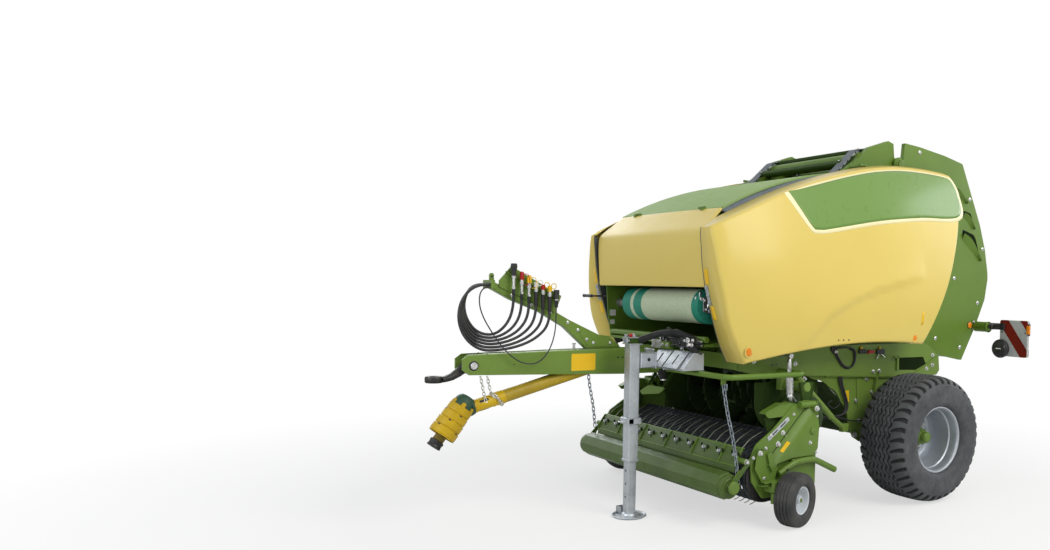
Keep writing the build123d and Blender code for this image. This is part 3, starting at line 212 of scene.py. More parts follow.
def paint(name, colour, deep, rough=0.36, coat=0.10, dust=0.10, shine=0.22):
    """Sprayed paint: slow colour drift, a light film of dust low down, and orange peel."""
    s = Shader(name, rough=rough, coat=coat, coat_rough=0.16, specular=shine)
    drift = s.remap(s.noise(1.7, 4.0), 0.35, 0.65)
    tone = s.mix(drift, colour, deep)
    low = s.remap(s.split()[2], 0.15, 1.15, dust, 0.0)
    film = s.math("MULTIPLY", low, s.remap(s.noise(9.0, 6.0, 0.7), 0.35, 0.7))
    s.colour(s.mix(film, tone, (0.42, 0.39, 0.32)))
    s.roughness(s.remap(s.noise(14.0, 5.0), 0.3, 0.7, rough - 0.05, rough + 0.09))
    s.bump(s.noise(260.0, 2.0), 0.05, 0.0006)
    return s.material


def galvanised(name, colour=(0.50, 0.53, 0.56), deep=(0.34, 0.37, 0.40)):
    """Hot-dip zinc with spangles."""
    s = Shader(name, rough=0.42, metallic=0.75)
    spangle = s.cells(55.0, output="Color")
    flakes = s.remap(s.split(spangle)[0], 0.0, 1.0)
    clouds = s.remap(s.noise(6.0, 5.0), 0.35, 0.65)
    blotch = s.math("MULTIPLY_ADD", flakes, 0.45)
    s.colour(s.mix(s.math("MULTIPLY", blotch, clouds), colour, deep))
    s.roughness(s.remap(s.split(spangle)[1], 0.0, 1.0, 0.34, 0.52))
    s.bump(s.noise(120.0, 4.0), 0.10, 0.0006)
    return s.material


def worn_steel(name, colour=(0.42, 0.42, 0.42), deep=(0.16, 0.14, 0.12), rough=0.38):
    s = Shader(name, rough=rough, metallic=0.9)
    stain = s.remap(s.noise(22.0, 6.0, 0.7), 0.42, 0.75)
    s.colour(s.mix(stain, colour, deep))
    s.roughness(s.remap(s.noise(60.0, 4.0), 0.3, 0.7, rough - 0.08, rough + 0.18))
    s.bump(s.noise(300.0, 3.0), 0.08, 0.0004)
    return s.material


def rubber(name, colour=(0.028, 0.029, 0.030), dusty=(0.085, 0.083, 0.078), rough=0.62, grain=240.0):
    s = Shader(name, rough=rough, specular=0.35)
    film = s.remap(s.noise(7.0, 7.0, 0.7), 0.40, 0.72, 0.0, 0.75)
    s.colour(s.mix(film, colour, dusty))
    s.roughness(s.remap(s.noise(18.0, 5.0), 0.3, 0.7, rough - 0.08, rough + 0.14))
    s.bump(s.noise(grain, 4.0), 0.16, 0.0006)
    return s.material


def plastic(name, colour, deep, rough=0.38, grain=420.0):
    s = Shader(name, rough=rough, specular=0.30)
    s.colour(s.mix(s.remap(s.noise(5.0, 5.0), 0.38, 0.66), colour, deep))
    s.roughness(s.remap(s.noise(30.0, 4.0), 0.3, 0.7, rough - 0.05, rough + 0.12))
    s.bump(s.noise(grain, 2.0), 0.07, 0.0004)
    return s.material


GREEN = (0.122, 0.214, 0.027)
GREEN_DEEP = (0.104, 0.188, 0.022)
CREAM = (0.690, 0.540, 0.130)
CREAM_DEEP = (0.668, 0.520, 0.122)
green = paint("green_paint", GREEN, GREEN_DEEP)
# The frame's green is the same green paint made lighter, as painted light on the frame, drawbar, hose post
# and channel ends low down.
lit_frame_green = paint("lit_frame_green_paint", (0.158, 0.254, 0.044), (0.136, 0.224, 0.036))
# The two greens below are darkened to stand in for shade: painted shade on the chamber pan, intake plates,
# pickup hanger and crop guide, and painted shadow in slots and louvres.
dark_green = paint("dark_green_paint", (0.034, 0.070, 0.010), (0.024, 0.052, 0.007), rough=0.6, coat=0.0,
                   shine=0.12)
shadow_green = paint("shadow_green_paint", (0.010, 0.020, 0.004), (0.006, 0.012, 0.003), rough=0.8, coat=0.0,
                     shine=0.05)
# The roller's green is a darker copy of the green paint, painted shade on the wind guard's roller, arms and
# sheet.
shaded_roller_green = paint("shaded_roller_green_paint", (0.066, 0.122, 0.016), (0.056, 0.106, 0.013))
# The roof's green is a paler, greyer copy of the green, a painted reflection of the sky on the roof.
sky_lit_roof_green = paint("sky_lit_roof_green_paint", (0.250, 0.372, 0.130), (0.236, 0.352, 0.122), rough=0.55, coat=0.0,
                   shine=0.2)
cream = paint("cream_paint", CREAM, CREAM_DEEP, rough=0.34, coat=0.2, dust=0.0)
pale_cream = paint("pale_cream_paint", (0.95, 0.86, 0.52), (0.93, 0.83, 0.48), rough=0.34, coat=0.2,
                   dust=0.0)
accent_green = paint("accent_green_paint", (0.140, 0.268, 0.044), (0.135, 0.258, 0.041), rough=0.30,
                     coat=0.5, dust=0.0)
zinc = galvanised("galvanised_steel")
steel = worn_steel("worn_steel")
bright_steel = worn_steel("bright_steel", (0.66, 0.66, 0.66), (0.40, 0.40, 0.40), 0.26)
black_steel = worn_steel("black_steel", (0.035, 0.036, 0.038), (0.075, 0.068, 0.060), 0.45)
rim_silver = galvanised("rim_silver_paint", (0.50, 0.53, 0.57), (0.40, 0.43, 0.47))
rim_grey = paint("rim_grey_paint", (0.62, 0.66, 0.70), (0.52, 0.56, 0.60), rough=0.34, coat=0.2,
                 dust=0.2)
tyre_rubber = rubber("tyre_rubber")
belt_rubber = rubber("belt_rubber", (0.022, 0.026, 0.020), (0.055, 0.060, 0.045), 0.68, 160.0)
hose_rubber = rubber("hose_rubber", (0.020, 0.021, 0.022), (0.045, 0.045, 0.044), 0.45, 500.0)
seal_rubber = rubber("seal_rubber", (0.060, 0.068, 0.068), (0.12, 0.135, 0.13), 0.55, 300.0)
slate_rubber = rubber("slate_rubber", (0.110, 0.130, 0.145), (0.17, 0.19, 0.20), 0.6, 300.0)
yellow_plastic = plastic("yellow_plastic", (0.60, 0.40, 0.008), (0.48, 0.31, 0.006))
black_plastic = plastic("black_plastic", (0.020, 0.020, 0.021), (0.032, 0.032, 0.033), 0.42)
red_plastic = plastic("red_plastic", (0.42, 0.016, 0.014), (0.34, 0.012, 0.010), 0.36)
orange_plastic = plastic("orange_plastic", (0.80, 0.26, 0.015), (0.70, 0.20, 0.010), 0.18, 160.0)
white_plastic = plastic("white_plastic", (0.72, 0.72, 0.68), (0.62, 0.62, 0.58), 0.36)
sticker_yellow = plastic("sticker_yellow", (0.80, 0.50, 0.015), (0.76, 0.46, 0.012), 0.34)


def tread_rubber(name):
    """Tyre rubber with a film of dust on the tread, and near-black painted shade down in the grooves, which
    the piece's own attribute marks.
    """
    s = Shader(name, rough=0.60, specular=0.32)
    film = s.remap(s.noise(7.0, 7.0, 0.7), 0.38, 0.72)
    top = s.mix(film, (0.046, 0.049, 0.053), (0.094, 0.098, 0.104))
    groove = s.node("ShaderNodeAttribute", attribute_name="groove").outputs["Fac"]
    s.colour(s.mix(s.remap(groove, 0.08, 0.7), top, (0.008, 0.008, 0.009)))
    s.roughness(s.remap(s.noise(18.0, 5.0), 0.3, 0.7, 0.52, 0.74))
    s.bump(s.noise(220.0, 4.0), 0.15, 0.0006)
    return s.material


tread = tread_rubber("tread_rubber")


# ================================================================ shapes
def frame_of(direction, toward=UP):
    """Rotation whose Z runs along direction and whose X lies nearest to toward."""
    z = direction.normalized()
    if abs(z.dot(toward.normalized())) > 0.98:
        toward = -AHEAD if abs(z.y) < 0.9 else X
    x = (toward - z * z.dot(toward)).normalized()
    y = z.cross(x)
    return Matrix((x, y, z)).transposed()


def curve_points(points, steps=6, closed=False):
    """Points along a smooth curve that passes through the given ones."""
    count = len(points)
    made = []
    for i in range(count if closed else count - 1):
        if closed:
            p = [points[(i + k - 1) % count] for k in range(4)]
        else:
            p = [points[min(max(i + k - 1, 0), count - 1)] for k in range(4)]
        for s in range(steps):
            t = s / steps
            made.append(0.5 * ((2 * p[1]) + (p[2] - p[0]) * t
                               + (2 * p[0] - 5 * p[1] + 4 * p[2] - p[3]) * t * t
                               + (3 * p[1] - p[0] - 3 * p[2] + p[3]) * t * t * t))
    if not closed:
        made.append(points[-1].copy())
    return made


def smooth_line(points, steps):
    """Smooth 2-D line through the given points."""
    return curve_points([Vector(p) for p in points], steps)


def polygon(sides, reach, turn=0):
    """Corners of a regular polygon, from a first one turned by so many degrees."""
    angles = [math.radians(360 // sides * k + turn) for k in range(sides)]
    return [(reach * math.cos(a), reach * math.sin(a)) for a in angles]


def rectangle(x_low, y_low, x_high, y_high, corner, steps=4):
    """Rectangle with rounded corners."""
    return rounded([(x_low, y_low), (x_high, y_low), (x_high, y_high), (x_low, y_high)], corner, steps)


def spoke(basis, angle):
    """Direction square to a basis's Z, at an angle about it."""
    return basis @ Vector((math.cos(angle), math.sin(angle), 0))


def around(centre, radius, angle):
    """Point (ahead, height) on a circle round a line along X."""
    return centre[0] + radius * math.cos(angle), centre[1] + radius * math.sin(angle)


def lengths_along(points, closed=False):
    """Distance along a polyline up to each of its points, and back to the first where it is closed."""
    lengths = [0.0]
    for a, b in zip(points, points[1:] + points[:1] if closed else points[1:]):
        lengths.append(lengths[-1] + (b - a).length)
    return lengths


def rounded(points, radius, steps=5):
    """2-D outline with its corners rounded: radius is one number, or one for each corner."""
    count = len(points)
    made = []
    for i, corner in enumerate(points):
        corner = Vector(corner)
        before = Vector(points[i - 1]) - corner
        after = Vector(points[(i + 1) % count]) - corner
        want = radius[i] if isinstance(radius, (list, tuple)) else radius
        if want <= 0:
            made.append(corner)
            continue
        angle = before.angle(after)
        reach = min(want / max(math.tan(angle / 2), 1e-3), before.length * 0.45, after.length * 0.45)
        first = corner + before.normalized() * reach
        last = corner + after.normalized() * reach
        for s in range(steps + 1):
            t = s / steps
            made.append(first * (1 - t) ** 2 + corner * 2 * t * (1 - t) + last * t * t)
    return made


def between(value, table):
    """Straight-line value from a table of (key, value) rows in rising order."""
    for (k0, v0), (k1, v1) in zip(table, table[1:]):
        if value <= k1:
            return v0 + (v1 - v0) * min(max((value - k0) / (k1 - k0), 0.0), 1.0)
    return table[-1][1]


class Part:
    """One piece of the object, put together in a bmesh. Sizes are in millimetres, places in metres."""

    def __init__(self, *materials):
        self.bm = bmesh.new()
        self.materials = list(materials)
        self.index = 0

    def use(self, material):
        """Faces made from here on take this material."""
        if material not in self.materials:
            self.materials.append(material)
        self.index = self.materials.index(material)
        return self

    def grid(self, rows, closed_u=False, closed_v=False, cap=False):
        """Skin over rows of points. closed_v joins each row's ends, closed_u joins last row to first."""
        made = [[self.bm.verts.new(p) for p in row] for row in rows]
        count = len(rows[0])
        for i in range(len(made) if closed_u else len(made) - 1):
            a, b = made[i], made[(i + 1) % len(made)]
            for j in range(count if closed_v else count - 1):
                k = (j + 1) % count
                self.bm.faces.new((a[j], a[k], b[k], b[j])).material_index = self.index
        if cap:
            self.bm.faces.new(list(reversed(made[0]))).material_index = self.index
            self.bm.faces.new(made[-1]).material_index = self.index
        return made

    def prism(self, outline, place, axis, depth, bevel=1.5, turn=0.0, toward=UP):
        """2-D outline (mm) pushed along axis from place, with small chamfers on both ends."""
        rot = frame_of(axis, toward)
        spin = Matrix.Rotation(turn, 3, "Z")
        centre = sum((Vector(p) for p in outline), Vector((0, 0))) / len(outline)
        bevel = min(bevel, depth * 0.4)
        rows = []
        for level, inset in ((0, bevel), (bevel, 0), (depth - bevel, 0), (depth, bevel)):
            row = []
            for p in outline:
                flat = Vector(p)
                away = flat - centre
                if inset and away.length > 1e-6:
                    flat = centre + away * max(0.05, 1 - inset / max(away.length, inset * 1.01))
                row.append(place + rot @ (spin @ Vector((flat.x, flat.y, level))) * MM)
            rows.append(row)
        self.grid(rows, closed_v=True, cap=True)
        return self

    def plate(self, outline, x_first, x_last, bevel=1.5):
        """Side-view outline of (ahead, height) between two x values."""
        x_low, x_high = min(x_first, x_last), max(x_first, x_last)
        points = [Vector(p) for p in outline]
        area = sum(p.x * q.y - q.x * p.y for p, q in zip(points, points[1:] + points[:1]))
        if area > 0:
            points.reverse()
        count = len(points)
        normals = []
        for i, p in enumerate(points):
            a = (p - points[i - 1]).normalized()
            b = (points[(i + 1) % count] - p).normalized()
            bend = a + b
            bend = bend.normalized() if bend.length > 1e-6 else a
            normals.append(Vector((-bend.y, bend.x)) / max(0.35, abs(bend.dot(a))))
        rows = []
        bevel = min(bevel, (x_high - x_low) * 0.4)
        for x, inset in ((x_low, bevel), (x_low + bevel, 0), (x_high - bevel, 0), (x_high, bevel)):
            rows.append([at(x, *(p - n * inset)) for p, n in zip(points, normals)])
        self.grid(rows, closed_v=True, cap=True)
        return self

    def box(self, low, high, bevel=2.0):
        """Box between two (x, ahead, height) corners."""
        (x0, a0, z0), (x1, a1, z1) = low, high
        return self.plate([(a0, z0), (a1, z0), (a1, z1), (a0, z1)], x0, x1, bevel)

    def lathe(self, profile, place, axis, steps=48):
        """Profile of (along, radius) in mm turned round an axis."""
        rot = frame_of(axis)
        rows = []
        for s in range(steps):
            a = math.radians(360.0 * s / steps)
            rows.append([place + rot @ Vector((r * math.cos(a), r * math.sin(a), h)) * MM
                         for h, r in profile])
        self.grid(rows, closed_u=True)
        return self

    def bar(self, ahead, height, radius, x_low, x_high, sides=28):
        """Round bar that runs along X."""
        return self.rod(at(x_low, ahead, height), at(x_high, ahead, height), radius, sides)

    def rings(self, rows):
        """Closed skin between rings of (x, ahead, height) points."""
        self.grid([[at(*p) for p in row] for row in rows], closed_v=True, cap=True)
        return self

    def rod(self, start, end, radius, sides=20, chamfer=None):
        """Round bar between two places, with chamfered ends."""
        length = (end - start).length / MM
        c = min(radius * 0.18 if chamfer is None else chamfer, length * 0.3)
        self.lathe([(0, 0.01), (0, radius - c), (c, radius), (length - c, radius), (length, radius - c),
                    (length, 0.01)], start, end - start, steps=sides)
        return self

    def tube(self, points, radius, sides=12, closed=False, steps=5, smooth=True, ends=True):
        """Round section along a path of places; radius is one number or one for each given point."""
        path = curve_points(points, steps, closed) if smooth else [p.copy() for p in points]
        count = len(path)
        rows = []
        side = None
        for i, p in enumerate(path):
            if closed:
                along = path[(i + 1) % count] - path[i - 1]
            else:
                along = path[min(i + 1, count - 1)] - path[max(i - 1, 0)]
            along.normalize()
            if side is None:
                side = frame_of(along).col[0].copy()
            side = (side - along * side.dot(along)).normalized()
            other = along.cross(side)
            if isinstance(radius, (list, tuple)):
                t = i / max(count - 1, 1) * (len(radius) - 1)
                k = min(int(t), len(radius) - 2)
                r = radius[k] + (radius[k + 1] - radius[k]) * (t - k)
            else:
                r = radius
            rows.append([p + (side * math.cos(a) + other * math.sin(a)) * r * MM
                         for a in (2 * math.pi * j / sides for j in range(sides))])
        self.grid(rows, closed_u=closed, closed_v=True, cap=ends and not closed)
        return self

    def bolt(self, place, axis, size=16.0, washer=True, stud=0.0):
        """Hexagon head on a washer; size is across the flats. stud is a thread end that sticks out."""
        n = axis.normalized()
        if washer:
            self.lathe([(0, 0.01), (0, size * 0.82), (size * 0.12, size * 0.82), (size * 0.16, size * 0.74),
                        (size * 0.16, 0.01)], place, n, steps=20)
        base = place + n * size * 0.16 * MM
        reach = size * 0.577
        self.prism(polygon(6, reach), base, n, size * 0.62, bevel=size * 0.07, turn=random.uniform(0, 1))
        if stud:
            self.rod(base, base + n * (size * 0.62 + stud) * MM, size * 0.33, sides=12)
        return self

    def bolts(self, spots, axis, size=16.0, **rest):
        """A bolt at each (x, ahead, height) place."""
        for spot in spots:
            self.bolt(at(*spot), axis, size, **rest)
        return self

    def link(self, place, along, flat, length, width, wire, sides=8, steps=20):
        """One oval chain link lying in the plane of along and flat."""
        u = along.normalized()
        v = (flat - u * u.dot(flat)).normalized()
        straight = (length - width) / 2
        path = []
        for s in range(steps):
            a = 2 * math.pi * s / steps
            path.append(place + (u * (math.cos(a) * width / 2 + math.copysign(straight, math.cos(a)))
                                 + v * math.sin(a) * width / 2) * MM)
        self.tube(path, wire, sides=sides, closed=True, smooth=False)
        return self

    def chain(self, points, length, width, wire):
        """Links along a path, each turned a quarter from the last."""
        path = curve_points(points, 16)
        pitch = (length - 2 * wire) * MM
        spots = [path[0]]
        last = path[0]
        gone = 0.0
        for p in path[1:]:
            step = (p - last).length
            while gone + step >= pitch:
                t = (pitch - gone) / step
                last = last.lerp(p, t)
                spots.append(last.copy())
                step = (p - last).length
                gone = 0.0
            gone += step
            last = p
        for i in range(len(spots) - 1):
            along = spots[i + 1] - spots[i]
            rot = frame_of(along, Vector((1, 0, 0.3)))
            self.link((spots[i] + spots[i + 1]) / 2, along, rot.col[i % 2].copy(), length, width, wire)
        return self

    def spring(self, start, end, radius, wire, turns, sides=7):
        """Coil spring between two places."""
        rot = frame_of(end - start)
        count = int(turns * 14)
        path = []
        for s in range(count + 1):
            t = s / count
            a = 2 * math.pi * turns * t
            path.append(start.lerp(end, t) + rot @ Vector((math.cos(a), math.sin(a), 0)) * radius * MM)
        self.tube(path, wire, sides=sides, smooth=False)
        return self

    def mirror(self):
        """Adds the other side's copy, reflected about the machine's centre plane."""
        copy = bmesh.ops.duplicate(self.bm, geom=self.bm.verts[:] + self.bm.edges[:] + self.bm.faces[:])
        verts = [g for g in copy["geom"] if isinstance(g, bmesh.types.BMVert)]
        faces = [g for g in copy["geom"] if isinstance(g, bmesh.types.BMFace)]
        for v in verts:
            v.co.x = -v.co.x
        bmesh.ops.reverse_faces(self.bm, faces=faces)
        return self

    def done(self, name, body, slot, replaces=(), sharp=38.0, weld=True):
        """Object with smooth shading up to the sharp angle, riding on a body.

        A body of (first, second, start, end) leaves the piece on no body, with its transform baked into its
        mesh."""
        if weld:
            bmesh.ops.remove_doubles(self.bm, verts=self.bm.verts, dist=1e-5)
        bmesh.ops.recalc_face_normals(self.bm, faces=self.bm.faces)
        mesh = bpy.data.meshes.new(name)
        self.bm.to_mesh(mesh)
        self.bm.free()
        for material in self.materials:
            mesh.materials.append(material)
        for face in mesh.polygons:
            face.use_smooth = True
        mesh.set_sharp_from_angle(angle=math.radians(sharp))
        made = bpy.data.objects.new(name, mesh)
        scene.collection.objects.link(made)
        if isinstance(body, tuple):
            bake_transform(made)
        else:
            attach(made, body)
        if replaces:
            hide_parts(*replaces)
        return made


def thicken(made, name, thickness):
    """Gives a skin its wall, inward from its outer face. The thickness is in metres."""
    wall = made.modifiers.new(name, "SOLIDIFY")
    wall.thickness = thickness


# ================================================================ cords
def cord(name, points, diameter, material, replaced):
    """Hose on one smooth line through its route's (x, ahead, height) points."""
    data = bpy.data.curves.new(name, "CURVE")
    data.dimensions = "3D"
    line = data.splines.new("NURBS")
    line.points.add(len(points) - 1)
    for point, spot in zip(line.points, points):
        point.co = (*at(*spot), 1.0)
    line.order_u = 3
    line.use_endpoint_u = True
    data.resolution_u = 10
    data.bevel_depth = diameter / 2
    data.bevel_resolution = 4
    data.use_fill_caps = True
    data.materials.append(material)
    made = bpy.data.objects.new(name, data)
    scene.collection.objects.link(made)
    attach(made, "chassis")
    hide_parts(replaced)


HOSE_DIAMETER = 0.020
CABLE_DIAMETER = 0.009
hose_table = [
    # length in metres, route as (x, ahead, height)
    (0.892, [(-57.5, 3383.3, 1715), (-57.5, 3465, 1715), (-46, 3532, 1607), (-19, 3529, 1482),
             (16, 3463, 1378), (49, 3349, 1355), (74, 3260, 1434), (85, 3219, 1549),
             (85, 3219, 1639.7)]),
    (0.968, [(-34.5, 3383.3, 1715), (-34.5, 3472, 1715), (-25, 3547, 1599), (-2, 3543, 1462),
             (27, 3465, 1352), (54, 3341, 1335), (76, 3222, 1401), (85, 3158, 1516),
             (85, 3158, 1611.7)]),
    (1.049, [(-11.5, 3383.3, 1715), (-11.5, 3470, 1715), (-6, 3553, 1616), (8, 3565, 1487),
             (28, 3512, 1369), (46, 3412, 1313), (66, 3277, 1331), (80, 3169, 1395),
             (85, 3102, 1500), (85, 3102, 1591.7)]),
    (1.133, [(11.5, 3383.3, 1715), (11.5, 3476, 1715), (16, 3568, 1609), (27, 3580, 1469),
             (41, 3518, 1344), (55, 3409, 1291), (71, 3258, 1310), (81, 3134, 1369),
             (85, 3048, 1474), (85, 3048, 1569.7)]),
    (1.217, [(34.5, 3383.3, 1715), (34.5, 3473, 1715), (37, 3570, 1624), (43, 3599, 1493),
             (51, 3559, 1366), (60, 3459, 1280), (69, 3337, 1273), (77, 3200, 1300),
             (83, 3081, 1358), (85, 2994, 1456), (85, 2994, 1547.7)]),
    (1.305, [(57.5, 3383.3, 1715), (57.5, 3479, 1715), (59, 3584, 1618), (62, 3614, 1477),
             (66, 3567, 1341), (71, 3455, 1254), (76, 3316, 1254), (81, 3175, 1279),
             (84, 3043, 1334), (85, 2940, 1433), (85, 2940, 1527.7)]),
]
cable_route = [
    (66, 3383.3, 1695), (66, 3425, 1695), (84, 3466, 1655), (98, 3476, 1580), (108, 3456, 1500),
    (114, 3416, 1425), (117, 3366, 1350), (119, 3310, 1275), (120, 3245, 1212), (120, 3170, 1165),
    (120, 3085, 1150), (118, 3010, 1178), (112, 2955, 1240), (104, 2918, 1315), (95, 2896, 1395),
    (85, 2886, 1480), (85, 2886, 1559.7),
]
for number, (length, route) in enumerate(hose_table, start=1):
    cord(f"hose_run_{number}", route, HOSE_DIAMETER, hose_rubber, f"hose_{number}")
cord("signal_cable_run", cable_route, CABLE_DIAMETER, hose_rubber, "signal_cable")


# ================================================================ finishes of the machine's CAD nodes
def finish(material, *names):
    for name in names:
        slots = nodes[name].data.materials
        if not slots:
            slots.append(material)
        for index in range(len(slots)):
            slots[index] = material


finish(green, "axle", "chamber_walls", "chassis_frame", "drawbar", "feed_rotor", "front_housing",
       "front_rail", "gauge_fork_left", "gauge_fork_right", "hose_arm", "lamp_arms",
       "pickup_frame", "pickup_bands", "tailgate_frame", "wind_guard")
finish(dark_green, "gearbox", "rotor_housing")
# The guard roller takes the darker roller green, painted shade.
finish(shaded_roller_green, "guard_roller")
finish(cream, "front_cover", "side_cover_left", "side_cover_right")
# The roof takes the paler roof green, painted reflection of the sky.
finish(sky_lit_roof_green, "roof")
finish(belt_rubber, "front_conveyor", "tailgate_conveyor")
finish(slate_rubber, "roof_seals")
finish(zinc, "jack_leg", "jack_socket", "jack_tube", "tool_box")
finish(steel, "lift_springs", "tine_reel", "valve_block", "guard_chains")
finish(black_steel, "hitch_eye", "hose_couplers", "pto_yoke")
finish(black_plastic, "side_lamps")
finish(rim_silver, "wheel_rim_left", "wheel_rim_right")
finish(rim_grey, "gauge_rim_left", "gauge_rim_right")
finish(tyre_rubber, "tyre_left", "tyre_right", "gauge_tyre_left", "gauge_tyre_right")
finish(yellow_plastic, "pto_guard")
finish(white_plastic, "net_roll", "warning_boards")


# ================================================================ wheels
TYRE_LUGS = 38
TYRE_STEPS = 16                     # steps round the tyre for each lug
RIB_GROOVES = (-112, -67, -22, 22, 67, 112)
RIB_DEPTH = 13.0
RIB_SWING = 10.5                    # how far the grooves round the crown wander sideways
CROWN_HALF = 150
SHOULDER_START = 118                # across the crown, where the gaps between the lugs begin
SHOULDER_REACH = 150.0
LUG_RADIUS = 500
SIDEWALL_TOP = 480
SIDEWALL_RIBS = (
    # radius, how far it stands proud, half width at its foot
    (452, 1.6, 5.0), (318, 1.2, 4.0),
)
tyre_section = [
    # x from the tyre's middle, radius: bead to crown
    (204, 277), (214, 281), (228, 292), (241, 312), (249, 345), (249.5, 386), (247, 425), (239, 462),
    (224, 489), (200, 507), (166, 519), (120, 526), (60, 528.6), (0, 529),
]


def smooth_step(value, low, high):
    t = min(max((value - low) / (high - low), 0.0), 1.0)
    return t * t * (3 - 2 * t)


def tread_depth(across, turn):
    """Depth cut below the carcass at a distance from the crown's middle and a number of lug pitches."""
    wave = math.sin(2 * math.pi * turn) * 1.25
    wave = max(-1.0, min(1.0, wave))
    cut = 0.0
    if abs(across) < CROWN_HALF:
        for groove in RIB_GROOVES:
            off = abs(across - groove - RIB_SWING * wave)
            cut = max(cut, RIB_DEPTH * (1 - smooth_step(off, 4.0, 7.5)))
    reach = (abs(across) - SHOULDER_START) / SHOULDER_REACH
    if 0 < reach < 1.0:
        lag = 0.10 * math.copysign(1, across) + 0.34 * math.sin(reach * 2.4)
        phase = turn + lag
        off = abs(phase - round(phase)) * 2 * math.pi * LUG_RADIUS / TYRE_LUGS
        half = 4.0 + 13.0 * reach
        depth = (9.0 + 8.0 * reach) * smooth_step(reach, 0.0, 0.12) * (1 - smooth_step(reach, 0.80, 1.0))
        cut = max(cut, depth * (1 - smooth_step(off, half, half + 6.0)))
    return cut


def middle_of(node):
    low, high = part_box(node)
    return (low + high) / 2


def main_tyre(side, sign):
    """Carcass with its tread cut in. The piece's groove attribute says how deep each point lies."""
    centre = middle_of(f"tyre_{side}")
    half_line = smooth_line(tyre_section, 7)[::-1]
    lengths = lengths_along(half_line)
    line = [(-d, Vector((-p.x, p.y))) for d, p in zip(lengths, half_line)][:0:-1]
    line += list(zip(lengths, half_line))
    rows = []
    grooves = []
    count = TYRE_LUGS * TYRE_STEPS
    normals = []
    for i in range(len(line)):
        along = line[min(i + 1, len(line) - 1)][1] - line[max(i - 1, 0)][1]
        normals.append(Vector((-along.y, along.x)).normalized())
    samples = []
    last = None
    for (across, p), n in zip(line, normals):
        if last is None or abs(across - last) > 4.0 or abs(across) < 1e-6:
            samples.append((across, p, n))
            last = across
    for s in range(count):
        a = 2 * math.pi * s / count
        turn = s / TYRE_STEPS
        row = []
        for across, p, n in samples:
            cut = tread_depth(across, turn)
            grooves.append(min(cut / 12.0, 1.0))
            if p.y < SIDEWALL_TOP:
                for radius, proud, wide in SIDEWALL_RIBS:
                    cut -= proud * (1 - smooth_step(abs(p.y - radius), 1.0, wide))
            q = p - n * cut
            row.append(centre + Vector((sign * q.x, math.cos(a) * q.y, math.sin(a) * q.y)) * MM)
        rows.append(row)
    part = Part(tread)
    part.grid(rows, closed_u=True)
    made = part.done(f"main_tyre_{side}", f"wheel_{side}", "tyre", [f"tyre_{side}"], sharp=34, weld=False)
    marks = made.data.attributes.new("groove", "FLOAT", "POINT")
    marks.data.foreach_set("value", grooves)


rim_section = [
    # x from the wheel's middle, radius: round the closed section of barrel and disc
    (200, 276), (204, 275), (205, 270), (203, 264), (196, 259), (184, 255), (166, 253), (122, 252),
    (112, 244), (70, 242), (-30, 239), (-58, 236), (-84, 222), (-90, 204), (-84, 182), (-60, 158),
    (-46, 150), (-38, 142), (-38, 66), (-50, 66), (-50, 138), (-58, 146), (-74, 158), (-98, 182),
    (-104, 204), (-98, 226), (-104, 240), (-170, 250), (-190, 255), (-203, 264), (-205, 270),
    (-204, 275), (-200, 276), (-195, 276), (-195, 262), (195, 262), (195, 276),
]
hub_section = [
    (-126, 40), (-126, 74), (-60, 84), (-38, 92), (-30, 92), (-26, 88), (-24, 70), (20, 62), (42, 60),
    (46, 56), (46, 48), (78, 47), (88, 43), (95, 33), (98, 20), (99, 0.01),
]
STUD_CIRCLE = 112
GAUGE_TOE = math.radians(18.0)


def main_wheel(side, sign):
    centre = middle_of(f"tyre_{side}")
    out = X * sign
    rim = Part(rim_silver)
    rim.lathe(rim_section + rim_section[:1], centre, out, steps=96)
    valve = centre + out * (-34 * MM) + Vector((0, math.cos(2.2), math.sin(2.2))) * 205 * MM
    rim.use(black_plastic).rod(valve - out * 30 * MM, valve + out * 34 * MM, 6, sides=10)
    rim.done(f"rim_dish_{side}", f"wheel_{side}", "rim_silver", [f"wheel_rim_{side}"], sharp=30)
    hub = Part(green)
    hub.lathe(hub_section, centre, out, steps=48)
    for k in range(8):
        a = 2 * math.pi * k / 8 + 0.2
        spot = centre + Vector((0, math.cos(a), math.sin(a))) * STUD_CIRCLE * MM
        hub.use(green).lathe([(-36, 24), (-30, 24), (-26, 20), (-26, 0.01)], spot, out, steps=16)
        hub.use(bright_steel).bolt(spot - out * 27 * MM, out, 26, stud=8)
    hub.done(f"wheel_hub_{side}", f"wheel_{side}", "green_paint")


gauge_tyre_section = [
    # x from the wheel's middle, radius
    (-60, 105), (-72, 112), (-80, 130), (-81.5, 150), (-79, 170), (-71, 187), (-58, 196), (-47, 198.5),
    (-44, 193.5), (-39, 193.5), (-36, 199.5), (-20, 200.6), (-17, 195), (-12, 195), (-9, 201),
    (9, 201), (12, 195), (17, 195), (20, 200.6), (36, 199.5), (39, 193.5), (44, 193.5),
    (47, 198.5), (58, 196), (71, 187), (79, 170), (81.5, 150), (80, 130), (72, 112), (60, 105),
]
gauge_rim_section = [
    (61, 104), (63, 101), (60, 93), (50, 88), (30, 86), (22, 82), (8, 79), (4, 72), (4, 48), (10, 40),
    (14, 34), (14, 30), (44, 30), (44, 14.5), (-44, 14.5), (-44, 30), (-14, 30), (-10, 44), (-10, 72),
    (-16, 82), (-50, 88), (-60, 93), (-63, 101), (-61, 104),
]


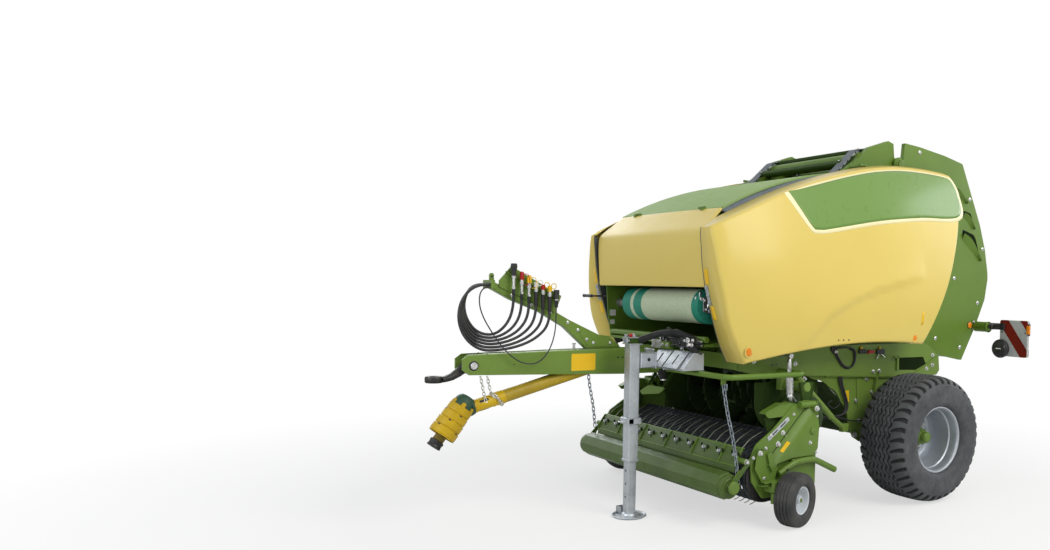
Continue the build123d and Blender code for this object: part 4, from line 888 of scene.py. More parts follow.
def gauge_wheel(side, sign):
    centre = middle_of(f"gauge_tyre_{side}")
    out = Vector((sign * math.cos(GAUGE_TOE), math.sin(GAUGE_TOE), 0))
    tyre = Part(tyre_rubber)
    tyre.lathe(gauge_tyre_section, centre, out, steps=96)
    tyre.done(f"castor_tyre_{side}", f"gauge_wheel_{side}", "tyre", [f"gauge_tyre_{side}"], sharp=30)
    rim = Part(rim_grey)
    rim.lathe(gauge_rim_section + gauge_rim_section[:1], centre, out, steps=64)
    for k in range(5):
        spot = spoke(frame_of(out), 2 * math.pi * k / 5 + 0.5)
        rim.use(bright_steel).bolt(centre + spot * 58 * MM + out * 5 * MM, out, 13, stud=3)
    rim.use(rim_grey).lathe([(40, 29), (46, 29), (50, 25), (50, 0.01)], centre, out, steps=24)
    rim.use(red_plastic).lathe([(50, 0.01), (50, 5), (54, 4), (54, 0.01)],
                               centre + frame_of(out).col[0] * 14 * MM, out, steps=10)
    rim.done(f"castor_rim_{side}", f"gauge_wheel_{side}", "rim_grey", [f"gauge_rim_{side}"], sharp=30)


for side, sign in SIDES:
    main_tyre(side, sign)
    main_wheel(side, sign)
    gauge_wheel(side, sign)


# ================================================================ side covers
cover_sections = [
    # ahead, x at the bottom, x at mid height, x at the top, height of the top
    (2125, 890, 925, 838, 2235),
    (2000, 965, 1000, 880, 2310),
    (1700, 1030, 1075, 900, 2460),
    (1100, 1055, 1105, 890, 2650),
    (300, 1055, 1105, 865, 2815),
    (-700, 990, 1040, 820, 2860),
]
COVER_BOTTOM = 1120.0
COVER_INNER = 785.0
EDGE_ROUND = 15.0
SEAL_X = 779
LINER_X = 783
COVER_HINGE_X = 768
FILM = 0.0006                       # thickness of coloured films, in metres
CREASE_PROUD = 22.0
CREASE_BELOW = 150.0                # how far the swell fades below the crease, and above it
CREASE_ABOVE = 16.0
crease_line = [(1370, 1286), (1250, 1420), (1111, 1551), (900, 1655), (683, 1736), (340, 1820), (-10, 1877)]


def section_x(section, height):
    """Skin's x at a height on one cross-section: a parabola through its three points."""
    x_low, x_mid, x_top, z_top = section[1:]
    z_mid = (COVER_BOTTOM + z_top) / 2 + 50
    t = (height - COVER_BOTTOM) / (z_top - COVER_BOTTOM)
    m = (z_mid - COVER_BOTTOM) / (z_top - COVER_BOTTOM)
    curve = ((x_mid - x_low) / m - (x_top - x_low)) / (m - 1)
    slope = (x_top - x_low) - curve
    return x_low + slope * t + curve * t * t


def cover_x(ahead, height):
    """Outer skin of the left cover, without its crease."""
    rows = cover_sections
    ahead = min(max(ahead, rows[-1][0]), rows[0][0])
    i = 0
    while i < len(rows) - 2 and ahead < rows[i + 1][0]:
        i += 1
    p = [section_x(rows[min(max(i + k - 1, 0), len(rows) - 1)], height) for k in range(4)]
    a = [rows[min(max(i + k - 1, 0), len(rows) - 1)][0] for k in range(4)]
    t = (ahead - a[1]) / (a[2] - a[1])
    span = a[2] - a[1]
    first = (p[2] - p[0]) / (a[2] - a[0]) * span if a[2] != a[0] else p[2] - p[1]
    last = (p[3] - p[1]) / (a[3] - a[1]) * span if a[3] != a[1] else p[2] - p[1]
    t2, t3 = t * t, t * t * t
    return (p[1] * (2 * t3 - 3 * t2 + 1) + first * (t3 - 2 * t2 + t)
            + p[2] * (3 * t2 - 2 * t3) + last * (t3 - t2))


def line_distance(point, line):
    """Distance to a polyline, which side it lies on, and how far along."""
    best = (1e9, 1.0, 0.0)
    for k, (a, b) in enumerate(zip(line, line[1:])):
        a, b = Vector(a), Vector(b)
        edge = b - a
        t = min(max((point - a).dot(edge) / edge.length_squared, 0.0), 1.0)
        off = point - (a + edge * t)
        if off.length < best[0]:
            best = (off.length, math.copysign(1.0, edge.x * off.y - edge.y * off.x),
                    (k + t) / (len(line) - 1))
    return best


def crease(ahead, height):
    """Soft fold pressed into the skin: it stands out a little below the line."""
    away, turned, along = line_distance(Vector((ahead, height)), crease_line)
    fade = math.sin(math.pi * min(max(along, 0.0), 1.0)) ** 0.5
    swell = math.exp(-(away / (CREASE_BELOW if turned < 0 else CREASE_ABOVE)) ** 2)
    return CREASE_PROUD * fade * swell


def edge_drop(near, radius):
    """How far a rounded edge falls away at a distance from it."""
    if near >= radius:
        return 0.0
    return radius - math.sqrt(max(radius ** 2 - (radius - near) ** 2, 0.0))


def spaced(count, edge):
    """Values from 0 to 1, close together near both ends."""
    inner = [edge + (1 - 2 * edge) * k / count for k in range(count + 1)]
    near = [edge * f for f in (0.0, 0.05, 0.15, 0.32, 0.55, 0.78)]
    return near + inner + [1 - v for v in reversed(near)]


def along_line(line, t):
    """Point at a share t of a polyline's length."""
    points = [Vector(p) for p in line]
    lengths = lengths_along(points)
    want = t * lengths[-1]
    for k in range(len(points) - 1):
        if want <= lengths[k + 1] or k == len(points) - 2:
            return points[k].lerp(points[k + 1], (want - lengths[k]) / (lengths[k + 1] - lengths[k]))


cover_top = smooth_line([
    (-600, 2800), (-560, 2812), (-260, 2820), (100, 2805), (450, 2757), (800, 2676), (1150, 2571),
    (1500, 2442), (1840, 2291), (2060, 2184), (2085, 2168)], 5)
cover_front = smooth_line([
    (1852, 1186), (1889, 1249), (1934, 1331), (1996, 1477), (2032, 1647), (2053, 1774), (2068, 1901),
    (2080, 2040), (2087, 2110), (2085, 2168)], 4)
flange_lean = [(1186, -10), (1316, -15), (1430, -24), (1520, -22), (1640, -6), (1760, 8), (1900, 17),
               (2168, 20)]
cover_low = smooth_line([
    (-26, 1309), (300, 1330), (620, 1333), (900, 1322), (1220, 1293), (1540, 1249), (1770, 1206),
    (1838, 1190), (1852, 1186)], 5)
cover_rear = smooth_line([
    (-26, 1309), (-60, 1330), (-190, 1530), (-340, 1800), (-466, 2085), (-575, 2360), (-640, 2560),
    (-652, 2690), (-630, 2770), (-600, 2800)], 5)


def on_flange(sign, height, f, proud):
    """Point on a cover's front flange, where f runs from its inner edge to the fold."""
    fold_ahead = between(height, [(z, a) for a, z in cover_front])
    inner = fold_ahead + between(height, flange_lean)
    x_fold = cover_x(fold_ahead, height) - EDGE_ROUND
    low = COVER_INNER + 2
    return at(sign * (low + (x_fold - low) * f), inner + (fold_ahead - inner) * f + proud, height)


def side_cover(side, sign):
    """Cover's skin, stretched between its four edge lines, with its returns, seal, strips and hinges."""
    us = spaced(64, 0.012)
    vs = spaced(40, 0.02)
    corner = [Vector(cover_low[0]), Vector(cover_low[-1]), Vector(cover_rear[-1]), Vector(cover_top[-1])]
    edges = (cover_top, cover_front, cover_low, cover_rear)
    rows = []
    for u in us:
        low, top = along_line(cover_low, u), along_line(cover_top, u)
        row = []
        for v in vs:
            rear, front = along_line(cover_rear, v), along_line(cover_front, v)
            ruled = low * (1 - v) + top * v + rear * (1 - u) + front * u
            ruled -= (corner[0] * (1 - u) + corner[1] * u) * (1 - v)
            ruled -= (corner[2] * (1 - u) + corner[3] * u) * v
            near = min(line_distance(ruled, edge)[0] for edge in edges)
            x = cover_x(*ruled) + crease(*ruled)
            row.append((x - edge_drop(near, EDGE_ROUND), ruled.x, ruled.y))
        rows.append(row)
    part = Part(cream)
    made = part.grid([[at(sign * x, a, z) for x, a, z in row] for row in rows])
    count_u, count_v = len(us), len(vs)
    loop = [(i, 0) for i in range(count_u)] + [(count_u - 1, j) for j in range(1, count_v)]
    loop += [(i, count_v - 1) for i in range(count_u - 2, -1, -1)]
    loop += [(0, j) for j in range(count_v - 2, 0, -1)]
    inner = []
    for i, j in loop:
        x, a, z = rows[i][j]
        deep = x - 26
        if j == count_v - 1 and i > 1:
            deep = COVER_INNER + 2
            z += 21 * (1 - smooth_step(a, 1960, 2090))
        if i == count_u - 1 and j > 1:
            deep = COVER_INNER + 2
            a += between(z, flange_lean)
        inner.append(part.bm.verts.new(at(sign * deep, a, z)))
    for k, (i, j) in enumerate(loop):
        n = (k + 1) % len(loop)
        part.bm.faces.new((made[i][j], made[loop[n][0]][loop[n][1]], inner[n], inner[k]))
    body = f"side_cover_{side}"
    thicken(part.done(f"side_panel_{side}", body, "cream_paint", [body], sharp=50), "wall", 0.004)

    seal = Part(seal_rubber)
    edge = [along_line(cover_front, t / 24) for t in range(25)]
    seal.tube([at(sign * SEAL_X, p.x + between(p.y, flange_lean) - 8, p.y) for p in edge], 7, sides=10)
    liner = [p for p in (along_line(cover_front, t / 40) for t in range(3, 40)) if p.y > 1230]
    liner_x = sign * LINER_X
    seal.grid([[at(liner_x, p.x + between(p.y, flange_lean) - 4, p.y), at(liner_x, p.x - 320, p.y)]
               for p in liner])
    seal.done(f"cover_seal_{side}", body, "seal")
    strips = Part(sticker_yellow)
    for z_low, z_high in ((1756, 1868), (1498, 1598)):
        strips.grid([[on_flange(sign, z_low + (z_high - z_low) * k / 8, f, 1.6) for f in (0.04, 0.30)]
                     for k in range(9)])
    thicken(strips.done(f"cover_edge_strips_{side}", body, "pto_yellow"), "film", FILM)
    bracket = Part(zinc)
    corners = ((0.0, 0.5), (0.19, 0.5), (0.19, 7), (0.0, 7))
    bracket.grid([[on_flange(sign, 1608 + 136 * k / 8, f, proud) for f, proud in corners]
                  for k in range(9)], closed_v=True, cap=True)
    for z in (1626, 1676, 1728):
        bracket.bolt(on_flange(sign, z, 0.1, 7), AHEAD, 14)
    bracket.done(f"cover_bracket_{side}", body, "galvanised")

    hinge = Part(green)
    for ahead in (184, 394):
        x = sign * COVER_HINGE_X
        hinge.rod(at(x, ahead, 2790), at(x, ahead + 40, 2790), 13)
        hinge.box((x, ahead, 2778), (sign * 799, ahead + 40, 2790), 1)
    hinge.done(f"cover_hinge_{side}", body, "green_paint")


def on_skin(sign, ahead, height, proud):
    return at(sign * (cover_x(ahead, height) + crease(ahead, height) + proud), ahead, height)


def skin_patch(name, side, sign, lower, upper, proud, material, slot, columns=90, rows=14):
    """Thin colour field on the cover, between a lower and an upper line in side view."""
    part = Part(material)
    grid = []
    for i in range(columns + 1):
        a, b = along_line(lower, i / columns), along_line(upper, i / columns)
        grid.append([on_skin(sign, *a.lerp(b, j / rows), proud) for j in range(rows + 1)])
    part.grid(grid)
    thicken(part.done(f"{name}_{side}", f"side_cover_{side}", slot, sharp=60), "film", FILM)


field_low = smooth_line([(1409, 2478), (1251, 2222), (1180, 2198), (1060, 2212), (507, 2312), (-20, 2377),
             (-588, 2430), (-640, 2640), (-604, 2746)], 8)
field_top = smooth_line([(1409, 2478), (1300, 2502), (1130, 2550), (800, 2642), (450, 2723), (100, 2771),
             (-260, 2786), (-540, 2779), (-604, 2746)], 8)
border_low = smooth_line([(1452, 2462), (1276, 2196), (1188, 2168), (1060, 2182), (507, 2282), (-20, 2347),
              (-610, 2403), (-668, 2640), (-627, 2762)], 8)
border_top = smooth_line([(1452, 2462), (1330, 2500), (1140, 2562), (800, 2655), (450, 2736), (100, 2784),
              (-260, 2799), (-556, 2791), (-627, 2762)], 8)
reflectors = (
    # material, (ahead, height), profile
    (orange_plastic, (1834, 1277), [(0, 30), (3, 30), (5, 26), (6, 12), (6, 0.01)]),
    (cream, (1834, 1277), [(0, 42), (2.5, 42), (3.5, 38), (3.5, 31), (0, 31)]),
    (cream, (86, 1362), [(0, 38), (3, 38), (4, 34), (4, 27), (1, 24)]),
    (orange_plastic, (86, 1362), [(0, 26), (2, 26), (4, 20), (4, 0.01)]),
)
for side, sign in SIDES:
    side_cover(side, sign)
    skin_patch("cover_stripe", side, sign, border_low, border_top, 0.9, pale_cream, "cream_paint")
    skin_patch("cover_field", side, sign, field_low, field_top, 2.2, accent_green, "green_paint")
    trim = Part(orange_plastic)
    for material, (ahead, height), rings in reflectors:
        spot = at(sign * (cover_x(ahead, height) - 1), ahead, height)
        trim.use(material).lathe(rings, spot, Vector((sign, 0, -0.08)), steps=36)
    for ahead in (996, 942, 886):
        trim.use(black_plastic).lathe([(0, 7), (2, 7), (2, 4), (1, 4), (1, 0.01)],
                                      on_skin(sign, ahead, 1357, -1), X * sign, steps=16)
    trim.done(f"cover_trim_{side}", f"side_cover_{side}", "lamp")
    skin_patch("cover_strip", side, sign, [(-6, 1478), (26, 1470)], [(-16, 1584), (16, 1576)], 1.0,
               sticker_yellow, "pto_yellow", 2, 4)


# ================================================================ front cover, roof seals, conveyors, net
front_profile = [
    # ahead, height of the cover's outer skin, from its lower lip up to the roof
    (2040, 1738), (2052, 1738), (2060, 1748), (2064, 1790), (2072, 1900), (2078, 2010), (2079, 2090),
    (2076, 2128), (2066, 2158), (2044, 2184), (1960, 2258), (1890, 2320), (1872, 2334), (1864, 2335),
]


PANEL_ROUND = 16
PANEL_BEND = 2158                   # height of the fold between the panel's face and its top


def front_panel():
    line = smooth_line(front_profile, 5)
    across = spaced(24, 0.012)
    part = Part(cream)
    rows = []
    for p in line:
        reach = smooth_step(p.x, 1864, 2066)
        half = 715 + 54 * reach
        row = []
        for v in across:
            x = half * (2 * v - 1)
            drop = edge_drop(half - abs(x), PANEL_ROUND)
            crown = 5.0 * (1 - (x / half) ** 2)
            lean = Vector((0.96, 0.28)) if p.y < PANEL_BEND else Vector((0.66, 0.75))
            q = p - lean * (drop + 5.0 - crown)
            row.append(at(x, q.x, q.y))
        rows.append(row)
    part.grid(rows)
    thicken(part.done("front_panel", "front_cover", "cream_paint", ["front_cover"], sharp=45), "wall", 0.005)
    fit = Part(green)
    for sign in (1, -1):
        fit.rod(at(sign * 464, 1866, 2347), at(sign * 504, 1866, 2347), 9, 16)
        fit.box((sign * 464, 1866, 2322), (sign * 504, 1886, 2341), 1)
    fit.done("front_panel_hinges", "front_cover", "green_paint")


def loop_path(rollers, radius, step):
    """Even points round a taut loop over rollers of one radius, as (ahead, height)."""
    points = []
    for ahead, height in rollers:
        for k in range(48):
            points.append(around((ahead, height), radius, 2 * math.pi * k / 48))
    points = sorted(set(points))

    def half_hull(items):
        kept = []
        for p in items:
            while len(kept) > 1:
                (ax, ay), (bx, by) = kept[-2], kept[-1]
                if (bx - ax) * (p[1] - ay) - (by - ay) * (p[0] - ax) > 0:
                    break
                kept.pop()
            kept.append(p)
        return kept[:-1]
    hull = [Vector(p) for p in half_hull(points) + half_hull(points[::-1])]
    lengths = lengths_along(hull, closed=True)
    count = round(lengths[-1] / step)
    made = []
    k = 0
    for i in range(count):
        want = lengths[-1] * i / count
        while lengths[k + 1] < want:
            k += 1
        a, b = hull[k], hull[(k + 1) % len(hull)]
        made.append(a.lerp(b, (want - lengths[k]) / (lengths[k + 1] - lengths[k])))
    return made


CHAIN_PITCH = 63.0
ROLLER_RADIUS = 66.0
CONVEYOR_HALF = 572.0


def slat_conveyor(name, body, rollers, slat_count, replaced):
    """Two roller chains round the rollers, their rubber bands, and the slats between them."""
    path = loop_path(rollers, ROLLER_RADIUS, CHAIN_PITCH)
    count = len(path)
    chain = Part(zinc)
    for i in range(count):
        a, b = path[i], path[(i + 1) % count]
        for sign in (1, -1):
            x = sign * (CONVEYOR_HALF - 22)
            chain.rod(at(x - 22, *a), at(x + 22, *a), 13, sides=10)
            for off in ((-17, -12), (12, 17)) if i % 2 else ((-22, -17), (17, 22)):
                mid = (a + b) / 2
                u = (b - a).normalized()
                w = Vector((-u.y, u.x))
                reach = CHAIN_PITCH / 2 + 9
                link = [mid - u * reach + w * 8, mid - u * 12 + w * 11, mid + u * 12 + w * 11,
                        mid + u * reach + w * 8, mid + u * reach - w * 8, mid + u * 12 - w * 11,
                        mid - u * 12 - w * 11, mid - u * reach - w * 8]
                chain.plate(link, x + off[0], x + off[1], 0.6)
    chain.done(f"{name}_chains", body, "steel", sharp=40)
    band = Part(slate_rubber)
    fine = loop_path(rollers, ROLLER_RADIUS, 16.0)
    for sign in (1, -1):
        rows = []
        for i, p in enumerate(fine):
            along = (fine[(i + 1) % len(fine)] - fine[i - 1]).normalized()
            out = Vector((along.y, -along.x))
            rows.append([at(sign * (CONVEYOR_HALF - 22) + off, *(p + out * lift))
                         for off, lift in ((-44, 15), (-42, 20), (42, 20), (44, 15), (44, 14), (-44, 14))])
        band.grid(rows, closed_u=True, closed_v=True)
    band.done(f"{name}_bands", body, "belt", sharp=40)
    slats = Part(dark_green)
    step = count / slat_count
    for k in range(slat_count):
        i = int((k + 0.5) * step) % count
        a, b = path[i], path[(i + 1) % count]
        u = (b - a).normalized()
        w = Vector((u.y, -u.x))
        centre = (a + b) / 2
        shape = rounded([centre - u * 30 + w * 2, centre - u * 24 + w * 24,
                         centre + u * 24 + w * 24, centre + u * 30 + w * 2,
                         centre + u * 26 - w * 8, centre - u * 26 - w * 8], 10, 3)
        slats.plate(shape, -CONVEYOR_HALF + 40, CONVEYOR_HALF - 40, 2)
        for sign in (1, -1):
            spot = centre + w * 24
            lift = Vector((0, -w.x, w.y))
            slats.use(bright_steel).bolt(at(sign * (CONVEYOR_HALF - 56), *spot), lift, 12, False)
            slats.use(dark_green)
    slats.done(f"{name}_slats", body, "green_paint", [replaced], sharp=36)


front_panel()
slat_conveyor("front_slats", "chassis", [(60, 2925), (300, 2880), (540, 2665), (620, 1520), (470, 1270)],
              20, "front_conveyor")
slat_conveyor("gate_slats", "tailgate", [(-280, 2850), (-700, 2850), (-930, 2790), (-1220, 2230),
                                         (-1250, 1960), (-1130, 1560), (-960, 1315), (-560, 1275)],
              26, "tailgate_conveyor")


def net_look():
    """Knitted net on the roll: pale in the middle, teal bands and thin cream rings at the ends."""
    s = Shader("knitted_net", rough=0.62, specular=0.3)
    x = s.split()[0]
    fine = s.node("ShaderNodeTexWave", bands_direction="X")
    fine.inputs["Scale"].default_value = 46.0
    fine.inputs["Distortion"].default_value = 2.4
    fine.inputs["Detail Scale"].default_value = 8.0
    s.link(s.stretched((1.0, 1.0, 1.0)), fine.inputs["Vector"])
    weave = s.cells(230.0, where=s.stretched((1.0, 0.4, 0.4)))
    pale = s.mix(fine.outputs["Fac"], (0.50, 0.57, 0.38), (0.68, 0.73, 0.54))
    pale = s.mix(s.remap(weave, 0.1, 0.7), pale, (0.42, 0.50, 0.34))
    teal = s.mix(s.remap(weave, 0.1, 0.7), (0.020, 0.290, 0.190), (0.010, 0.170, 0.115))
    bands = s.node("ShaderNodeValToRGB")
    bands.color_ramp.interpolation = "CONSTANT"
    marks = [(0.0, 1), (0.266, 0), (0.302, 1), (0.398, 0), (0.937, 1)]
    ramp = bands.color_ramp.elements
    for element, (position, value) in zip(ramp, marks[:2]):
        element.position = position
        element.color = (value, value, value, 1.0)
    for position, value in marks[2:]:
        ramp.new(position).color = (value, value, value, 1.0)
    s.link(s.remap(x, -0.652, 0.652), bands.inputs["Fac"])
    s.colour(s.mix(bands.outputs["Color"], pale, teal))
    s.bump(s.math("ADD", fine.outputs["Fac"], weave), 0.30, 0.0015)
    return s.material


NET_AHEAD, NET_HEIGHT = 1891.0, 1593.0
net = Part(net_look())
net.lathe([(0, 40), (0, 128), (3, 132), (8, 133), (1074, 133), (1079, 132), (1082, 128), (1082, 40)],
          at(-430, NET_AHEAD, NET_HEIGHT), X, steps=96)
net.done("net_wrap_roll", "net_roll", "net_wrap", ["net_roll"], sharp=40)
core = Part(plastic("cardboard_core", (0.30, 0.21, 0.12), (0.24, 0.165, 0.09), 0.7))
for x in (649, -433):
    core.lathe([(0, 37.9), (0, 42), (3, 42), (3, 37.9)], at(x, NET_AHEAD, NET_HEIGHT), X, steps=40)
core.done("net_core", "net_roll", "net_wrap")

grip = Part(black_plastic)
grip.lathe([(0, 9), (2, 13.4), (12, 15), (30, 13.2), (60, 14.6), (96, 13.2), (130, 15), (146, 16), (150, 12),
            (151, 0.01)], at(-779, 2116, 1645), -X, steps=28)
grip.done("brake_lever_grip", "chassis", "black_steel")

brake = Part(bright_steel)
hub = at(676, NET_AHEAD, NET_HEIGHT)
brake.lathe([(-8, 40), (-8, 58), (0, 60), (6, 56), (6, 40)], hub, X, steps=40)
brake.plate(rounded([(1985, 1556), (1985, 1660), (1950, 1668), (1938, 1612), (1900, 1560), (1930, 1540)], 10),
            668, 676, 1)
brake.rod(at(650, 1972, 1640), at(684, 1972, 1640), 12)
brake.bolt(at(677, 1972, 1640), X, 20)
brake.bolt(at(677, 1960, 1572), X, 16)
brake.plate(rounded([(2003, 1600), (2003, 1700), (1978, 1706), (1978, 1596)], 8), 640, 650, 1)
brake.rod(at(612, 1990, 1650), at(668, 1990, 1650), 16)
brake.rod(at(600, 1990, 1650), at(614, 1990, 1650), 26)
brake.done("net_brake", "chassis", "steel")

labels = Part(white_plastic)
for ahead, height, wide, tall in ((1990, 1478, 60, 52), (1984, 1404, 44, 40)):
    labels.box((-690, ahead - wide, height), (-688.5, ahead, height + tall), 0.3)
labels.done("blank_labels", "chassis", "board")

# Housing round the net roll: its left side is cut back so that the roll's end shows.
housing = Part(green)
housing_back = [(2024, 2130), (1852, 2300), (1490, 2470), (1165, 2590), (820, 2664), (762, 2670), (762, 1312)]
housing.plate([(1975, 1312), (1850, 1322), (1790, 1372), (1744, 1460), (1736, 1560), (1752, 1660),
               (1800, 1730),
               (1860, 1746), (2024, 1746)] + housing_back, 690, 700, 1.5)
housing.plate([(1975, 1312), (2006, 1500), (2024, 1738)] + housing_back, -700, -690, 1.5)
housing.box((-700, 763, 1291), (700, 1975, 1312), 3)
housing.box((-699, 763, 1312), (699, 774, 2660), 2)
housing.bar(1840, 2265, 24, -698, 698, 24)
housing.bar(1960, 1345, 24, -698, 698, 24)
housing.box((652, 1700, 1560), (692, 1930, 1630), 4)
housing.use(steel)
housing.bar(NET_AHEAD, NET_HEIGHT, 37.5, -698, 672, 32)
housing.use(black_steel)
housing.tube([at(-696, 1990, 1645), at(-722, 2012, 1645), at(-740, 2044, 1645), at(-741, 2096, 1645),
              at(-752, 2112, 1645),
              at(-780, 2116, 1645), at(-929, 2116, 1645)], 8, sides=14)
housing.use(green)
for sign in (1, -1):
    housing.box((sign * 420, 1838, 2318), (sign * 460, 1858, 2346), 2)
    housing.rod(at(sign * 420, 1866, 2347), at(sign * 460, 1866, 2347), 9, 16)
housing.done("net_housing", "chassis", "green_paint", ["front_housing"], sharp=36)


# ================================================================ jack
JACK_X, JACK_AHEAD = 330.0, 2380.0


def jack_at(x, ahead, height):
    return at(JACK_X + x, JACK_AHEAD + ahead, height)


def jack_box(part, low, high, bevel):
    """Box between two (x, ahead, height) corners, with x and ahead measured from the jack's axis."""
    (x0, a0, z0), (x1, a1, z1) = low, high
    part.box((JACK_X + x0, JACK_AHEAD + a0, z0), (JACK_X + x1, JACK_AHEAD + a1, z1), bevel)


def square_rings(part, rows, corner, cap=False):
    """Skin between square rings of (half width, height) about the jack's axis."""
    part.grid([[jack_at(p.x, p.y, height) for p in rectangle(-half, -half, half, half, corner)]
               for half, height in rows], closed_v=True, cap=cap)


def square_tube(part, low, high, half, wall):
    """Upright square tube with rounded corners, open at its lower end."""
    square_rings(part, [(half - wall, high - 2), (half - wall, low), (half, low), (half, high),
                        (half - 6, high + 2)], 8.0, cap=True)


tube = Part(zinc)
square_tube(tube, 426, 1300, 43, 6)
for low, high in ((1298, 1306), (1346, 1352)):
    jack_box(tube, (-56, -56, low), (56, 56, high), 2)
jack_box(tube, (-52, -52, 1306), (8, 52, 1346), 6)
jack_box(tube.use(dark_green), (10, -46, 1306), (52, 46, 1344), 4)
tube.use(zinc)
tube.rod(jack_at(0, 0, 1352), jack_at(0, 0, 1366), 30, 28)
tube.rod(jack_at(0, 0, 1366), jack_at(0, 0, 1378), 20, 24)
tube.rod(jack_at(-52, 52, 1338), jack_at(-52, -30, 1338), 11)
tube.rod(jack_at(-30, 40, 1352), jack_at(-30, 40, 1368), 9)
jack_box(tube, (-40, 30, 1352), (-14, 50, 1372), 3)
tube.rod(jack_at(10, -40, 1337), jack_at(10, -92, 1337), 13)
tube.bolt(jack_at(-20, 53, 1326), AHEAD, 16)
tube.bolt(jack_at(28, 47, 1326), AHEAD, 13)
tube.use(red_plastic).lathe([(0, 6), (4, 13), (14, 16), (24, 13), (28, 6), (28, 0.01)], jack_at(22, 30, 1352),
                            UP, steps=24)
tube.use(zinc)
square_rings(tube, [(44, 702), (52, 700), (60, 705), (60, 747), (52, 752), (44, 750)], 10)
jack_box(tube, (44, 10, 706), (60, 58, 746), 2)
tube.rod(jack_at(-60, 24, 726), jack_at(-80, 24, 726), 12)
tube.tube([jack_at(-76, 24, 726), jack_at(-80, 52, 718), jack_at(-66, 66, 712), jack_at(-30, 70, 714),
           jack_at(16, 68, 722), jack_at(44, 62, 728)], 5, sides=8)
square_rings(tube, [(37.6, 421), (45, 418), (48, 421), (48, 437), (45, 440), (42, 440)], 8)
tube.done("jack_outer", "chassis", "galvanised", ["jack_tube"], sharp=36, weld=False)

leg = Part(zinc)
square_tube(leg, 30, 900, 36, 5)
for k in range(26):
    z = 70 + 13.2 * k
    jack_box(leg, (35, 14, z), (36.6, 34, z + 6.5), 0.4)
for z in (150, 250, 350):
    leg.use(black_steel).lathe([(0, 8), (0.6, 8), (0.6, 0.01)], jack_at(0, 36, z), AHEAD, steps=16)
leg.use(zinc)
leg.lathe([(14, 0.01), (14, 60), (10, 88), (9, 112), (17, 126), (16, 131), (10, 132), (0, 118), (0, 0.01)],
          jack_at(0, 0, 0), UP, steps=56)
leg.lathe([(13, 62), (28, 56), (34, 46), (34, 0.01)], jack_at(0, 0, 0), UP, steps=32)
for ahead in (-44, 38):
    jack_box(leg, (-118, ahead, 14), (-50, ahead + 6, 62), 1)
jack_box(leg, (-118, -44, 14), (-112, 44, 62), 1)
leg.done("jack_inner", "jack_leg", "galvanised", ["jack_leg"], sharp=36, weld=False)

arm = Part(zinc)
arm.box((JACK_X - 58, 2206, 1121), (JACK_X + 58, 2336, 1235), 7)
arm.box((JACK_X - 62, 2200, 1117), (JACK_X + 62, 2212, 1239), 2)
arm.box((JACK_X - 62, 2096, 1122), (JACK_X + 62, 2204, 1134), 2)
arm.prism(rectangle(-249, 62, -134, -56, 12), at(JACK_X, 2100, 1190), AHEAD, 18, 2, toward=X)
arm.use(black_steel).lathe([(0, 14), (1, 14), (1, 0.01)], at(JACK_X + 58, 2268, 1184), X, steps=20)
arm.use(bright_steel)
arm.bolts([(JACK_X + x, 2119, z) for x in (-200, -110) for z in (1236, 1146)], AHEAD, 20)
arm.done("jack_mount", "chassis", "galvanised", ["jack_socket"], sharp=36)


# ================================================================ chock holders, valves and their hoses
def slotted_flap(part, x_low, x_high, ahead_low, z_low, ahead_high, z_high):
    """Sloping bent plate with a long slot, standing in the holder box."""
    low, high = at(0, ahead_low, z_low), at(0, ahead_high, z_high)
    down = (low - high).normalized()
    length = (low - high).length / MM
    face = down.cross(X)
    if face.z < 0:
        face = -face
    middle = (x_low + x_high) / 2
    wide = x_high - x_low
    slot_low, slot_high = 0.22 * length, 0.80 * length
    outer = rectangle(-wide / 2, 0, wide / 2, length, 10, 3)
    hole = rectangle(-9, slot_low, 9, slot_high, 9, 6)

    def spot(p, lift):
        return high + X * (middle + p.x) * MM + down * p.y * MM + face * lift * MM
    n_out = len(outer)
    hole_long = [hole[int(i * len(hole) / n_out)] for i in range(n_out)]
    rows = [[spot(p, lift) for p in ring] for ring, lift in
            ((outer, 0), (outer, 3.5), (hole_long, 3.5), (hole_long, -1))]
    part.grid(rows, closed_v=True)
    part.box((x_low, min(ahead_low, ahead_high) - 4, z_low - 20),
             (x_low + 4, max(ahead_low, ahead_high) - 2, z_low + 8),
             1)


holder = Part(zinc)
for x_low, x_high in ((262, 450), (468, 656)):
    slotted_flap(holder, x_low, x_high, 2198, 1132, 2090, 1256)
    for x in (x_low, x_high - 4):
        holder.plate([(2196, 1124), (2070, 1124), (2070, 1250), (2084, 1250)], x, x + 4, 1)
holder.plate([(2184, 1122), (1996, 1122), (1996, 1250), (2090, 1250), (2184, 1136)], 664, 716, 3)
holder.box((264, 1991, 1122), (716, 2190, 1126), 1)
holder.box((401, 1991, 1122), (660, 1996, 1252), 1)
for x in (356, 562):
    holder.tube([at(x - 14, 2084, 1240), at(x - 16, 2096, 1300), at(x, 2104, 1326), at(x + 14, 2096, 1300),
                 at(x + 16, 2084, 1240)], 2.6, sides=6)
holder.tube([at(610, 2010, 1230), at(616, 2020, 1300), at(622, 2018, 1334)], 3, sides=6)
holder.done("chock_holder", "chassis", "galvanised", ["tool_box"], sharp=36)

